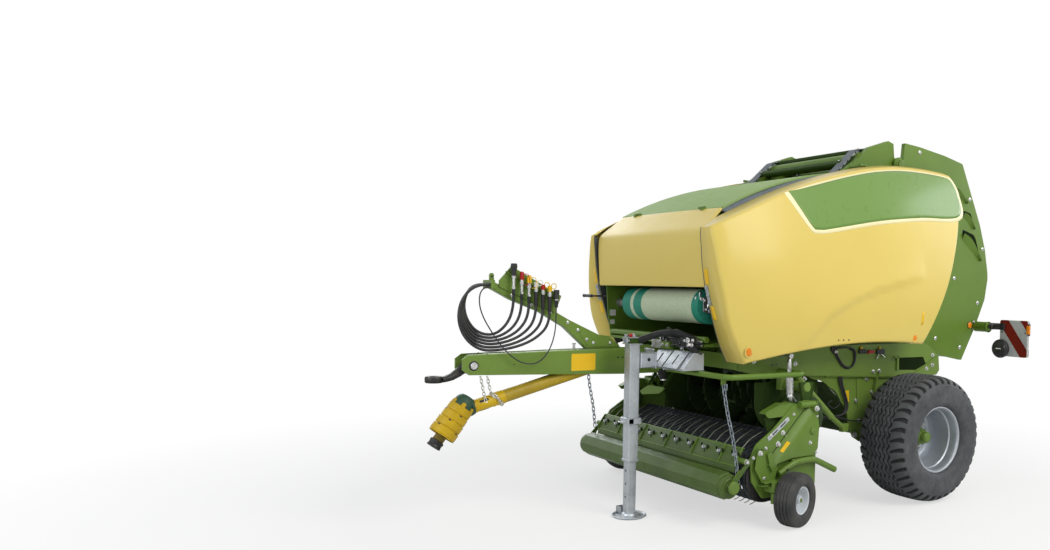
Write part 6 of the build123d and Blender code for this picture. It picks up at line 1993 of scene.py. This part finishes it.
sheet = [(1822, 566), (1832, 571), (1868, 519), (1907, 446), (1913, 400), (1906, 398), (1900, 442),
         (1862, 513)]
baffle.use(shaded_roller_green).plate(sheet, -1000, 1000, 1)
baffle.use(green)
baffle.bar(1828, 566, 7.5, -1000, 1000, 16)
baffle.bar(1862, 486, 20, -1000, 1000, 24)
baffle.bar(1905, 446, 6, -1000, 1000, 12)
for x in (-1000, -660, -291, 78, 446, 800, 996):
    baffle.plate([(1832, 572), (1846, 570), (1882, 520), (1916, 450), (1906, 444), (1866, 518)], x, x + 5,
                 0.8)
for k in range(11):
    x = 966 - 188 * k
    hoop = []
    for s in range(9):
        t = math.radians(-20 + 230 * s / 8)
        hoop.append(at(x + 38 * math.cos(t) - 4, 1874 - 0.30 * 34 * math.sin(t), 534 + 30 * math.sin(-t)))
    baffle.use(shadow_green).tube(hoop, 8, sides=8, steps=2)
    baffle.use(zinc)
    baffle.prism([(-13, -17), (13, -17), (13, 17), (-13, 17)], at(x - 16, 1868, 516),
                 Vector((0, -0.82, 0.57)), 16, 2,
                 toward=UP)
    baffle.use(bright_steel).bolt(at(x - 16, 1881, 524), Vector((0, -0.82, 0.57)), 13, False)
    baffle.use(black_steel).tube([at(x - 6, 1878, 520), at(x + 4, 1886, 500), at(x + 2, 1884, 484)], 3.4,
                                 sides=6)
# Guide rods over the reel, from the baffle's top edge back to the intake.
baffle.use(worn_steel("guide_rod_steel", (0.34, 0.37, 0.30), (0.20, 0.22, 0.18), 0.34))
for k in range(19):
    x = 968 - 107.5 * k
    baffle.tube([at(x, 1830, 560), at(x, 1800, 580), at(x, 1760, 616), at(x, 1704, 646), at(x, 1632, 673)],
                [4.5, 4, 3.6, 3.0, 2.2], sides=7, steps=3)
baffle.use(green)
baffle.done("wind_guard_baffle", "wind_guard", "green_paint", ["wind_guard"], sharp=34, weld=False)

roller = Part(shaded_roller_green)
ROLL = (1979, 313)
corner = [(101 * math.cos(math.radians(45 * k + 10)), 101 * math.sin(math.radians(45 * k + 10)))
          for k in range(8)]
octagon = rounded(corner, 5, 1)
rings = []
for x, size in ((-1012, 0.80), (-1004, 0.97), (-998, 1.0), (998, 1.0), (1004, 0.97), (1012, 0.80)):
    rings.append([(x, ROLL[0] + p.x * size, ROLL[1] + p.y * size) for p in octagon])
roller.rings(rings)
for sign in (1, -1):
    roller.lathe([(0, 40), (0, 84), (4, 88), (36, 88), (41, 84), (42, 62), (45, 58), (45, 36), (50, 33),
                  (50, 0.01)],
                 at(sign * 1003, *ROLL), X * sign, steps=48)
    roller.rod(at(sign * 1050, *ROLL), at(sign * 1086, *ROLL), 15.6, 20)
roller.use(bright_steel)
for sign in (1, -1):
    roller.bolt(at(sign * 1053, ROLL[0] + 24, ROLL[1] + 6), X * sign, 12, False)
for x in (-960, 960):
    roller.lathe([(0, 0.01), (0, 3), (1, 3)], at(x, *ROLL), X, steps=6)
roller.done("wind_guard_roller", "guard_roller", "green_paint", ["guard_roller"], sharp=18)

# Feed rotor: curved star tines between the cheeks and a spiral flight on each side.
rotor_steel = paint("rotor_paint", (0.030, 0.058, 0.016), (0.022, 0.042, 0.012), rough=0.5, coat=0.0,
                    dust=0.0)
ROTOR = (1080.0, 760.0)
star = []
for k in range(4):
    base = 90 * k
    for radius, turn in ((86, 0), (150, 6), (205, 16), (246, 31), (240, 37), (196, 34), (150, 38), (100, 56),
                         (86, 74)):
        t = math.radians(base + turn)
        star.append((radius * math.cos(t), radius * math.sin(t)))
rotor = Part(rotor_steel)
rotor.bar(*ROTOR, 84, -634, 634, 40)
rotor.bar(*ROTOR, 39, -998, 998, 28)
for index in range(26):
    x = (index - 12.5) * 47
    lean = math.radians(17 * abs(index - 12.5))
    c, s = math.cos(lean), math.sin(lean)
    outline = [(ROTOR[0] + a * c - z * s, ROTOR[1] + a * s + z * c) for a, z in star]
    rotor.plate(outline, x - 3.5, x + 3.5, 0.8)
for sign in (1, -1):
    rows = []
    for k in range(61):
        t = math.radians(12 * k)
        x = 664 + 300 * k / 60
        rows.append([at(sign * (x + off), ROTOR[0] + r * math.cos(t), ROTOR[1] + r * math.sin(t))
                     for r, off in ((38, -3), (148, -3), (148, 3), (38, 3))])
    rotor.grid(rows, closed_v=True, cap=True)
rotor.done("feed_rotor_stars", "feed_rotor", "green_paint", ["feed_rotor"], sharp=34)

# Springs that carry the pickup, and the chains that hold its guard up.
springs = Part(bright_steel)
for sign in (1, -1):
    top, low = at(sign * 950, 1366, 1217), at(sign * 950, 1342, 871.3)
    mid = top.lerp(low, 0.80)
    springs.use(bright_steel)
    neck = top.lerp(low, 0.42)
    springs.rod(top, neck, 17, 16)
    springs.lathe([(0, 0.01), (0, 24), (8, 27), (20, 27), (24, 22), (24, 0.01)], neck, low - top, steps=24)
    springs.spring(neck, mid, 25.0, 5.5, 13, 7)
    springs.rod(neck, mid, 16, 12)
    springs.lathe([(0, 0.01), (0, 20), (6, 24), (26, 24), (30, 18), (30, 0.01)], mid, low - mid, steps=24)
    springs.rod(mid, low, 9, 12)
    springs.rod(mid + X * sign * 14 * MM, low + X * sign * 20 * MM, 6, 10)
    springs.rod(mid, low.lerp(mid, 0.1) + AHEAD * -64 * MM, 8, 10)
springs.done("pickup_springs", ("chassis", "pickup", at(0, 1366, 1217), at(0, 1342, 871.3)), "steel",
             ["lift_springs"], sharp=50, weld=False)
chain_steel = worn_steel("chain_steel", (0.30, 0.34, 0.38), (0.12, 0.14, 0.16), 0.36)
chains = Part(chain_steel)
for sign in (1, -1):
    top, low = at(sign * 1000, 2030, 1043), at(sign * 1040, 1917, 441)
    chains.chain([top, top.lerp(low, 0.33) + Vector((0, -0.004, 0)),
                  top.lerp(low, 0.66) + Vector((0, 0.006, 0)),
                  low], 46, 24, 4.2)
chains.done("wind_guard_chains", ("chassis", "pickup", at(0, 2030, 1043), at(0, 1917, 441)), "steel",
            ["guard_chains"], sharp=60, weld=False)
hanging = Part(chain_steel)
hanging.link(at(1030, 2030, 1030), UP, X, 46, 24, 4)
hanging.chain([at(1040, 1915, 452), at(1044, 1922, 400), at(1052, 1912, 350), at(1050, 1905, 296)], 40, 22, 4)
hanging.done("spare_chain_links", "chassis", "steel", sharp=60, weld=False)

# Side plates behind the intake, cut back in an arc so that the pickup can lift past them; dark green, as
# painted shade inside the intake.
throat = Part(dark_green)
arc = [(1330, 643), (1366, 668), (1396, 704), (1420, 745), (1438, 790), (1445, 840), (1445, 1000)]
throat.plate([(1318, 1000), (1318, 643)] + arc, 641, 649, 1)
throat.mirror()
throat.done("intake_throat", "chassis", "dark_green")


# ================================================================ main frame, axle and underside
def fold(part, line, x_low, x_high, thick, side=1.0):
    """Folded edge: a strip of sheet from x_low to x_high that follows a side-view line."""
    points = [Vector(p) for p in line]
    rows = []
    for i, p in enumerate(points):
        along = (points[min(i + 1, len(points) - 1)] - points[max(i - 1, 0)]).normalized()
        q = p + Vector((-along.y, along.x)) * thick * side
        rows.append([at(x_low, p.x, p.y), at(x_high, p.x, p.y), at(x_high, q.x, q.y), at(x_low, q.x, q.y)])
    part.grid(rows, closed_v=True, cap=True)
    return part


frame_foot = [(1700, 1120), (1590, 1096), (1018, 1059), (91, 1008), (-400, 1000), (-632, 1006)]
frame_head = [(1700, 1290), (-430, 1290)]
# The frame takes the lighter frame green, painted light.
chassis = Part(lit_frame_green)
chassis.plate(frame_foot + [(-664, 1040), (-650, 1160), (-520, 1255)] + frame_head[::-1], 754, 762, 1.5)
fold(chassis, frame_foot, 708, 757, 8)
fold(chassis, frame_head, 708, 757, 8)
fold(chassis, [(-632, 1006), (-664, 1040), (-650, 1160), (-520, 1255), (-430, 1290)], 708, 757, 8)
for ahead in (1500, 1180, 760, 330, -130, -420):
    chassis.plate([(ahead, 1066 if ahead > 900 else 1024), (ahead + 8, 1066 if ahead > 900 else 1024),
                   (ahead + 8, 1284), (ahead, 1284)], 712, 756, 1)
arch = smooth_line([(1000, 1052), (891, 1015), (787, 990), (688, 923), (590, 838),
                                         (510, 740), (484, 660), (470, 600)], 4)
chassis.plate(arch + [(410, 500), (330, 454), (-170, 454), (-250, 700), (-330, 1000), (-330, 1036),
                      (1000, 1088)],
              712, 720, 1.5)
fold(chassis, arch + [(410, 500), (330, 454)], 714, 732, 7, side=-1.0)
fold(chassis, [(-170, 454), (-250, 700), (-330, 1000)], 714, 732, 7, side=-1.0)
# Doubler plates and ribs that carry the axle.
chassis.plate(rounded([(388, 1010), (372, 800), (300, 560), (210, 470), (-130, 470), (-190, 700),
                                          (-240, 1000)], 30, 4), 719, 727, 1.5)
chassis.plate([(150, 1046), (166, 1046), (196, 860), (180, 860)], 722, 762, 1)
chassis.plate([(-250, 1000), (-236, 1000), (-196, 830), (-210, 830)], 722, 752, 1)
for low, high in (((-720, 1560, 1112), (720, 1680, 1230)), ((-720, 560, 1036), (720, 640, 1090)),
                  ((-720, -330, 1008), (720, -250, 1060))):
    chassis.box(low, high, 6)
for ahead in (90, 590):
    chassis.box((656, ahead - 50, 1166), (707, ahead + 50, 1254), 4)
chassis.rod(at(761, 1105, 1044), at(761, 700, 688), 27, 24)
chassis.rod(at(761, 700, 688), at(761, 556, 588), 22, 24)
chassis.box((731, 520, 562), (784, 590, 630), 5)
chassis.plate([(1128, 1062), (1040, 1056), (1050, 1000), (1100, 1004)], 748, 756, 1)
chassis.bar(1220, 990, 38, 754, 1011)
chassis.box((706, 1162, 946), (764, 1278, 1098), 5)
# The pickup's hanger plates are dark green, as painted shade where they sit under the frame.
chassis.use(dark_green)
chassis.plate(rounded([(1288, 1032), (1152, 1032), (1182, 862), (1192, 806), (1248, 806),
                                          (1258, 862)], [16, 16, 20, 34, 34, 20], 5), 997, 1005, 1.5)
chassis.plate([(1290, 1030), (1296, 1030), (1262, 870), (1256, 870)], 985, 1010, 1)
chassis.plate([(1150, 1030), (1144, 1030), (1180, 870), (1186, 870)], 985, 1010, 1)
chassis.use(lit_frame_green)
chassis.bar(*PIVOT, 21, 1000, 1121)
chassis.bar(*PIVOT, 32, 1003, 1040)
chassis.use(bright_steel)
chassis.bar(1366, 1232, 12, 762, 981)
chassis.lathe([(0, 20), (4, 20), (5, 18), (5, 0.01)], at(974, 1366, 1232), X, steps=24)
chassis.bolt(at(1118, *PIVOT), X, 26)
for ahead, height in ((224, 1055), (152, 1059), (1131, 1150), (1025, 1025), (1640, 1180), (1560, 1180),
                      (1640, 1250),
                      (-480, 1060), (-560, 1090), (-560, 1180)):
    chassis.bolt(at(762, ahead, height), X, 22)
for ahead, height in ((265, 989), (197, 874), (388, 810), (350, 640), (240, 540), (-60, 540), (-130, 690),
                      (-180, 860), (60, 620), (60, 700), (-20, 700)):
    chassis.bolt(at(727, ahead, height), X, 22)
chassis.lathe([(0, 26), (6, 26), (8, 22), (26, 20), (30, 14), (30, 0.01)], at(727, 405, 520), X, steps=28)
chassis.use(sticker_yellow)
chassis.plate([(510, 902), (469, 900), (463, 802), (504, 805)], 720, 721, 0.2)
chassis.use(seal_rubber)
for ahead in (-20, -60, 1330, 1372):
    chassis.lathe([(0, 9), (0.6, 9), (0.6, 0.01)], at(762, ahead, 1150), X, steps=16)
chassis.mirror()
chassis.done("chassis_frame_beams", "chassis", "green_paint", ["chassis_frame"], sharp=30)

# Channel end behind the wheel: a thin sheet painted as the slot's shadow, its gusset and the diagonal strap.
channel = Part(lit_frame_green)
channel.plate([(-90, 1182), (-64, 1182), (-64, 1060), (-90, 1060)], 762, 778, 1.5)
channel.plate([(-90, 1182), (-30, 1182), (-30, 1170), (-90, 1170)], 762, 778, 1.5)
channel.plate([(-300, 1018), (-318, 1030), (-600, 1166), (-590, 1148)], 762, 772, 1.5)
channel.use(shadow_green)
channel.plate([(-100, 1168), (-430, 1168), (-470, 1104), (-330, 1052), (-112, 1060)], 762, 763, 0.3)
channel.mirror()
channel.done("channel_ends", "chassis", "green_paint")

# Pan below the bale chamber, painted dark green as the shade under the chamber, with its roller and hydraulic
# lines.
pan = Part(dark_green)
pan_line = smooth_line([(768, 984), (688, 920), (590, 836), (510, 738), (482, 660), (460, 590),
                                             (420, 540), (334, 520), (190, 500), (74, 486)], 4)
fold(pan, pan_line, -717, 717, 5)
for x in (-420, -140, 140, 420):
    fold(pan, pan_line[4:], x - 6, x + 6, 34, side=-1.0)
pan.bar(690, 1085, 60, -640, 640, 32)
pan.use(black_steel)
for x in (-500, -300, 0, 300, 500):
    pan.lathe([(0, 64), (20, 64), (22, 60), (22, 59)], at(x, 690, 1085), X, steps=32)
pan.done("chamber_pan", "chassis", "dark_green")

lines = Part(hose_rubber)
for drop, x in ((0, 748), (14, 736)):
    lines.tube([at(x, 592 + drop, 1060), at(x, 589 + drop, 1020), at(x + 4, 580 + drop, 955),
                at(x + 6, 544 + drop, 869),
                at(x + 4, 512 + drop, 782), at(x + 2, 540 + drop, 716 - drop), at(x, 671, 694 - drop),
                at(x - 4, 844, 708 - drop), at(x - 30, 960, 760 - drop), at(x - 60, 1010, 850)], 9, sides=10)
lines.tube([at(742, 852, 704), at(745, 760, 698), at(745, 669, 690), at(745, 550, 668), at(745, 428, 640),
            at(745, 306, 640), at(738, 200, 620), at(728, 120, 570)], 6, sides=8)
lines.tube([at(734, 700, 930), at(734, 633, 886), at(734, 588, 800), at(734, 655, 760), at(734, 726, 800),
            at(730, 676, 828)], 4, sides=8)
coil_path = [(704, 1236), (690, 1262), (620, 1270), (520, 1266), (470, 1240), (462, 1175), (484, 1120),
             (534, 1100),
             (600, 1124), (648, 1172), (690, 1226), (720, 1262)]
lines.tube([at(774, a, z) for a, z in coil_path], 8, sides=10)
lines.tube([at(770, a + 12, z - 8) for a, z in coil_path[3:11]], 5, sides=8)
lines.done("frame_hydraulic_hoses", "chassis", "hose")
clutch = Part(black_steel)
clutch.rod(at(763, 700, 1238), at(783, 700, 1238), 26)
clutch.lathe([(0, 30), (6, 32), (12, 30), (12, 0.01)], at(764, 716, 1262), X, steps=24)
clutch.use(bright_steel)
clutch.bolt(at(782, 700, 1238), X, 18)
clutch.use(black_plastic)
clutch.box((763, 330, 1216), (783, 420, 1252), 5)
clutch.box((763, 100, 1206), (781, 200, 1248), 4)
clutch.use(red_plastic)
clutch.plate(rounded([(312, 1212), (232, 1218), (226, 1240), (300, 1244)], 6, 3), 764, 782, 2)
clutch.use(bright_steel)
clutch.rod(at(768, 140, 1206), at(768, 90, 1176), 6)
clutch.rod(at(772, 170, 1206), at(772, 196, 1168), 6)
clutch.use(yellow_plastic)
clutch.box((764, 376, 1254), (782, 404, 1276), 3)
clutch.box((764, 152, 1250), (780, 172, 1272), 3)
clutch.done("frame_tap_block", "chassis", "black_steel")

axle_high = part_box("axle")[1]
axle = Part(green)
axle.plate(rounded([(-60, 469), (60, 469), (60, 589), (-60, 589)], 12, 4), -836, 836, 2)
for sign in (1, -1):
    axle.rod(at(sign * 760, 0, AXLE_HEIGHT), at(sign * axle_high.x / MM * 0.998, 0, AXLE_HEIGHT), 37, 28)
    axle.lathe([(0, 56), (10, 62), (22, 62), (26, 50), (40, 46)], at(sign * 830, 0, AXLE_HEIGHT), X * sign,
               steps=32)
    for ahead in (-66, 60):
        axle.box((min(sign * 650, sign * 800), ahead, 452), (max(sign * 650, sign * 800), ahead + 6, 606), 1)
    axle.plate([(-90, 589), (90, 589), (110, 606), (-110, 606)], min(sign * 660, sign * 790),
               max(sign * 660, sign * 790), 2)
axle.use(zinc)
axle.bolts([(sign * x, ahead, 606) for sign in (1, -1) for x in (680, 770) for ahead in (-84, 84)],
           UP, 24, stud=14)
axle.use(hose_rubber)
axle.tube([at(x, 70 + 6 * math.sin(x / 90), 500 + 8 * math.cos(x / 140)) for x in range(-700, 701, 100)], 7,
          sides=8)
axle.done("axle_beam", "chassis", "green_paint", ["axle"], sharp=30)


# ================================================================ tailgate, boards and lamps
GATE_HINGE = (-100, 2870)
gate_edge = rounded([(-154, 3060), (-357, 3050), (-711, 3013), (-975, 2968), (-1101, 2738), (-1277, 2419),
                     (-1372, 2183), (-1428, 1960), (-1433, 1900), (-1397, 1700), (-1261, 1432), (-1067, 1117),
                     (-446, 1222), (-446, 1290), (-176, 2780), (-134, 2862)],
                    [8, 60, 60, 30, 60, 120, 200, 120, 120, 120, 120, 14, 6, 60, 40, 6], 5)
louvres = (
    # outer edge of the slot painted with shadow, its inner edge, and the lower edge of the scoop
    (((-862, 2742), (-950, 2724), (-1020, 2668), (-1066, 2600)),
     ((-862, 2728), (-936, 2706), (-1000, 2656), (-1060, 2604)),
     ((-866, 2700), (-920, 2672), (-990, 2630), (-1048, 2606))),
    (((-1004, 2534), (-1080, 2526), (-1134, 2500), (-1188, 2366)),
     ((-1006, 2516), (-1078, 2494), (-1122, 2452), (-1182, 2370)),
     ((-1014, 2474), (-1070, 2440), (-1116, 2408), (-1170, 2374))),
    (((-1013, 2356), (-1112, 2334), (-1212, 2288), (-1303, 2066)),
     ((-1010, 2322), (-1098, 2290), (-1180, 2226), (-1296, 2074)),
     ((-1012, 2262), (-1062, 2224), (-1140, 2172), (-1284, 2084))),
)
gate = Part(green)
gate.plate(gate_edge, 694, 700, 1)
rim = gate_edge + gate_edge[:1]
fold(gate, rim, 663, 697, 6, side=1.0)
gate.plate([(-380, 2980), (-711, 2960), (-940, 2910), (-1060, 2720), (-1240, 2390), (-1330, 2170),
            (-1390, 1942),
            (-1360, 1760), (-1220, 1470), (-1048, 1172), (-620, 1200), (-470, 1230), (-470, 1290),
            (-200, 2700),
            (-215, 2790), (-260, 2920)], 606, 614, 1)
for ahead, height in ((-260, 2780), (-700, 2900), (-930, 2800), (-1220, 2230), (-1290, 1950), (-1100, 1400),
                      (-620, 1300)):
    gate.rod(at(612, ahead, height), at(696, ahead, height), 20, 20)
gate.bar(*GATE_HINGE, 60, 662, 700, 40)
gate.lathe([(0, 46), (6, 46), (8, 42), (8, 34)], at(699, *GATE_HINGE), X, steps=36)
for outer, inner, lower in louvres:
    outer, inner, lower = (curve_points([Vector(q) for q in line], 4)
                           for line in (outer, inner, lower))
    gate.use(green)
    gate.grid([[at(701, *p) for p in lower], [at(726, *p) for p in inner]])
    gate.use(shadow_green)
    gate.grid([[at(726, *p) for p in inner], [at(700.5, *p) for p in inner], [at(700.5, *p) for p in outer]])
    gate.use(green)
gate.use(bright_steel)
for ahead, height in ((-358, 3002), (-1104, 2649), (-1328, 2187), (-912, 1893), (-1283, 1666), (-670, 1329),
                      (-1034, 1239), (-520, 2700), (-760, 2300)):
    gate.lathe([(0, 0.01), (0, 19), (3, 18), (6, 12), (7, 11), (7, 0.01)], at(700, ahead, height), X,
               steps=20)
    gate.bolt(at(704, ahead, height), X, 13, washer=False)
gate.use(orange_plastic)
gate.lathe([(0, 30), (6, 30), (10, 26), (12, 18), (13, 0.01)], at(700, -1174, 1451), X, steps=32)
gate.use(black_plastic)
gate.lathe([(0, 33), (4, 33), (4, 30)], at(700, -1174, 1451), X, steps=32)
gate.mirror()
gate.use(green)
for ahead, height, radius in ((-440, 2976, 22), (-1331, 1794, 24), (-1035, 1165, 28), (-600, 1226, 20)):
    gate.bar(ahead, height, radius, -664, 664)
gate.done("tailgate_sides", "tailgate", "green_paint", ["tailgate_frame"], sharp=28)

arms = Part(green)
arms.plate(rounded([(-1286, 1405), (-1211, 1405), (-1211, 1495), (-1286, 1495)], 10, 4),
           700.6, 708, 1)
arms.use(bright_steel).bolts([(708, -1222, height) for height in (1418, 1482)], X, 15)
arms.use(green).rod(at(706, -1256, 1440), at(862, -1256, 1440), 48, 32)
arms.lathe([(0, 0.01), (0, 52), (10, 52), (12, 48)], at(852, -1256, 1440), X, steps=32)
arms.use(bright_steel)
arms.bar(-1256, 1450, 18, 868, 884)
arms.use(black_plastic)
arms.lathe([(0, 24), (6, 32), (12, 32), (16, 26), (22, 26), (26, 32), (34, 32), (40, 24), (48, 20)],
           at(876, -1256, 1450), X, steps=32)
arms.lathe([(0, 20), (60, 20), (60, 14), (60, 0.01)], at(922, -1256, 1450), X, steps=24)
arms.box((900, -1284, 1420), (1024, -1262, 1480), 4)
arms.mirror()
arms.done("lamp_arm_joints", "tailgate", "green_paint", ["lamp_arms"])

board_white = plastic("board_white", (0.46, 0.47, 0.47), (0.36, 0.37, 0.37), 0.42)
board_red = plastic("board_red", (0.20, 0.012, 0.008), (0.15, 0.010, 0.008), 0.34)
boards = Part(board_white)
LOW, HIGH = (965, 1172), (1262, 1513)
flat_edge = rounded([LOW, (HIGH[0], LOW[1]), HIGH, (LOW[0], HIGH[1])], 24, 5)


def board_layer(outline, ahead_back, ahead_front, bevel):
    """Flat layer of a warning board, cut in the (x, height) plane."""
    boards.prism([(z, x) for x, z in outline], at(0, ahead_back, 0), AHEAD, ahead_front - ahead_back, bevel,
                 toward=UP)


def clipped(outline, side, level):
    """Part of an outline where side * (x + height * slope) is under a level."""
    made = []
    count = len(outline)
    for i, p in enumerate(outline):
        q = outline[(i + 1) % count]
        a, b = side * (p[0] + 0.76 * p[1]) - side * level, side * (q[0] + 0.76 * q[1]) - side * level
        if a <= 0:
            made.append(p)
        if (a < 0 < b) or (b < 0 < a):
            t = a / (a - b)
            made.append((p[0] + (q[0] - p[0]) * t, p[1] + (q[1] - p[1]) * t))
    return made


board_layer(flat_edge, -1317, -1285, 4)
boards.use(board_red)
for low, high in ((2084, 2206), (2330, 2600)):
    band = clipped(clipped(flat_edge, 1, high), -1, low)
    for back, front in ((-1285.4, -1284), (-1318, -1316.8)):
        if len(band) > 2:
            boards.prism([(z, x) for x, z in band], at(0, back, 0), AHEAD, front - back, 0.2, toward=UP)
boards.use(orange_plastic)
boards.box((1250, -1300, 1390), (1282, -1278, 1470), 4)
boards.use(black_plastic)
boards.box((1262, -1312, 1376), (1276, -1284, 1484), 4)
boards.use(black_steel)
for x, z in ((990, 1400), (1238, 1400), (990, 1300), (1238, 1240)):
    boards.lathe([(0, 7), (1.4, 6), (1.4, 0.01)], at(x, -1284, z), AHEAD, steps=12)
boards.mirror()
boards.done("striped_boards", "tailgate", "board", ["warning_boards"])

smoked = plastic("smoked_lens", (0.05, 0.05, 0.052), (0.035, 0.035, 0.036), 0.12)
lamps = Part(black_plastic)
lamp_spot = at(994, -1284, 1243)
lamps.lathe([(0, 60), (4, 84), (14, 88), (30, 88), (38, 84), (44, 74), (46, 70)], lamp_spot, AHEAD, steps=40)
lamps.use(smoked)
lamps.lathe([(44, 72), (50, 60), (54, 40), (55, 0.01)], lamp_spot, AHEAD, steps=40)
lamps.use(white_plastic).rod(lamp_spot + AHEAD * 55 * MM - X * 26 * MM,
                             lamp_spot + AHEAD * 55 * MM + X * 26 * MM, 6)
lamps.use(red_plastic)
lamps.lathe([(30, 78), (44, 70), (48, 40), (49, 0.01)], at(994, -1290, 1243), -AHEAD, steps=40)
lamps.use(black_plastic)
lamps.box((930, -1300, 1226), (1000, -1284, 1262), 4)
lamps.mirror()
lamps.done("round_side_lamps", "tailgate", "lamp", ["side_lamps"])

# Sloping rubber seals between the roof's edge and the side covers.
seals = Part(slate_rubber)
rows = []
for k in range(41):
    ahead = 690 + (1868 - 690) * k / 40
    top = min((along_line(cover_top, t / 300) for t in range(301)), key=lambda p: abs(p.x - ahead)).y
    arc = 2718 - (ahead - 670) * 0.142 - (max(ahead - 670, 0) ** 2) * 0.0001485
    rows.append([at(706, ahead, arc - 13), at(742, ahead, (arc + top) / 2 + 6), at(779, ahead, top + 20),
                 at(779, ahead, top + 2), at(742, ahead, (arc + top) / 2 - 8), at(706, ahead, arc - 27)])
seals.grid(rows, closed_v=True, cap=True)
seals.mirror()
seals.done("sloping_roof_seals", "chassis", "seal", ["roof_seals"], sharp=50)


# ================================================================ floor, light and the object's bounds
floor_mesh = bpy.data.meshes.new("floor")
floor_bm = bmesh.new()
bmesh.ops.create_grid(floor_bm, x_segments=1, y_segments=1, size=60.0)
floor_bm.to_mesh(floor_mesh)
floor_bm.free()
floor = bpy.data.objects.new("floor", floor_mesh)
scene.collection.objects.link(floor)
floor_look = Shader("floor_look", rough=0.9, specular=0.1)
floor_look.colour(floor_look.mix(floor_look.remap(floor_look.noise(0.8, 3.0), 0.3, 0.7),
                                 (0.80, 0.80, 0.79), (0.78, 0.78, 0.77)))
floor_mesh.materials.append(floor_look.material)
# Away from the machine the camera sees the floor as pale as the backdrop, so there is no horizon.
far = floor_look.node("ShaderNodeVectorMath", operation="LENGTH")
floor_look.link(floor_look.place, far.inputs[0])
paper = floor_look.node("ShaderNodeEmission")
paper.inputs["Color"].default_value = (1.0, 1.0, 1.0, 1.0)
paper.inputs["Strength"].default_value = 1.0
seen_by_camera = floor_look.node("ShaderNodeLightPath").outputs["Is Camera Ray"]
fade = floor_look.math("MULTIPLY", floor_look.remap(far.outputs["Value"], 3.0, 6.0, 0.6, 1.0), seen_by_camera)
cover = floor_look.node("ShaderNodeMixShader")
floor_look.link(fade, cover.inputs[0])
floor_look.link(floor_look.surface.outputs[0], cover.inputs[1])
floor_look.link(paper.outputs[0], cover.inputs[2])
floor_look.link(cover.outputs[0], floor_look.tree.nodes["Material Output"].inputs["Surface"])
floor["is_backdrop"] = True

world = bpy.data.worlds.new("studio")
world.use_nodes = True
scene.world = world
tree = world.node_tree
background = tree.nodes["Background"]
seen = tree.nodes.new("ShaderNodeBackground")
seen.inputs["Color"].default_value = (1.0, 1.0, 1.0, 1.0)
seen.inputs["Strength"].default_value = 1.0
background.inputs["Color"].default_value = (0.88, 0.90, 0.93, 1.0)
background.inputs["Strength"].default_value = 0.50
paths = tree.nodes.new("ShaderNodeLightPath")
either = tree.nodes.new("ShaderNodeMath")
either.operation = "MAXIMUM"
tree.links.new(paths.outputs["Is Camera Ray"], either.inputs[0])
tree.links.new(paths.outputs["Is Glossy Ray"], either.inputs[1])
blend = tree.nodes.new("ShaderNodeMixShader")
tree.links.new(either.outputs[0], blend.inputs[0])
tree.links.new(background.outputs[0], blend.inputs[1])
tree.links.new(seen.outputs[0], blend.inputs[2])
tree.links.new(blend.outputs[0], tree.nodes["World Output"].inputs["Surface"])


def lamp(name, spot, aim, size, power, colour=(1.0, 1.0, 1.0)):
    data = bpy.data.lights.new(name, "AREA")
    data.shape = "RECTANGLE"
    data.size, data.size_y = size
    data.energy = power
    data.color = colour
    made = bpy.data.objects.new(name, data)
    made.location = spot
    made.rotation_euler = (Vector(aim) - Vector(spot)).to_track_quat("-Z", "Y").to_euler()
    scene.collection.objects.link(made)


lamp("key", (8.0, 1.5, 7.5), (0.3, 0.3, 1.2), (5.5, 5.5), 590, (1.0, 0.97, 0.92))
lamp("front_fill", (1.5, -9.0, 4.0), (0.0, 0.0, 1.2), (6.0, 4.0), 200, (0.94, 0.97, 1.0))
lamp("rear_fill", (2.0, 9.0, 4.5), (0.0, 1.0, 1.4), (6.0, 4.0), 200, (0.94, 0.97, 1.0))
lamp("far_fill", (-8.0, 0.0, 4.5), (0.0, 0.0, 1.2), (6.0, 4.0), 200, (0.94, 0.97, 1.0))

scene.view_settings.view_transform = "Standard"
low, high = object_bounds()
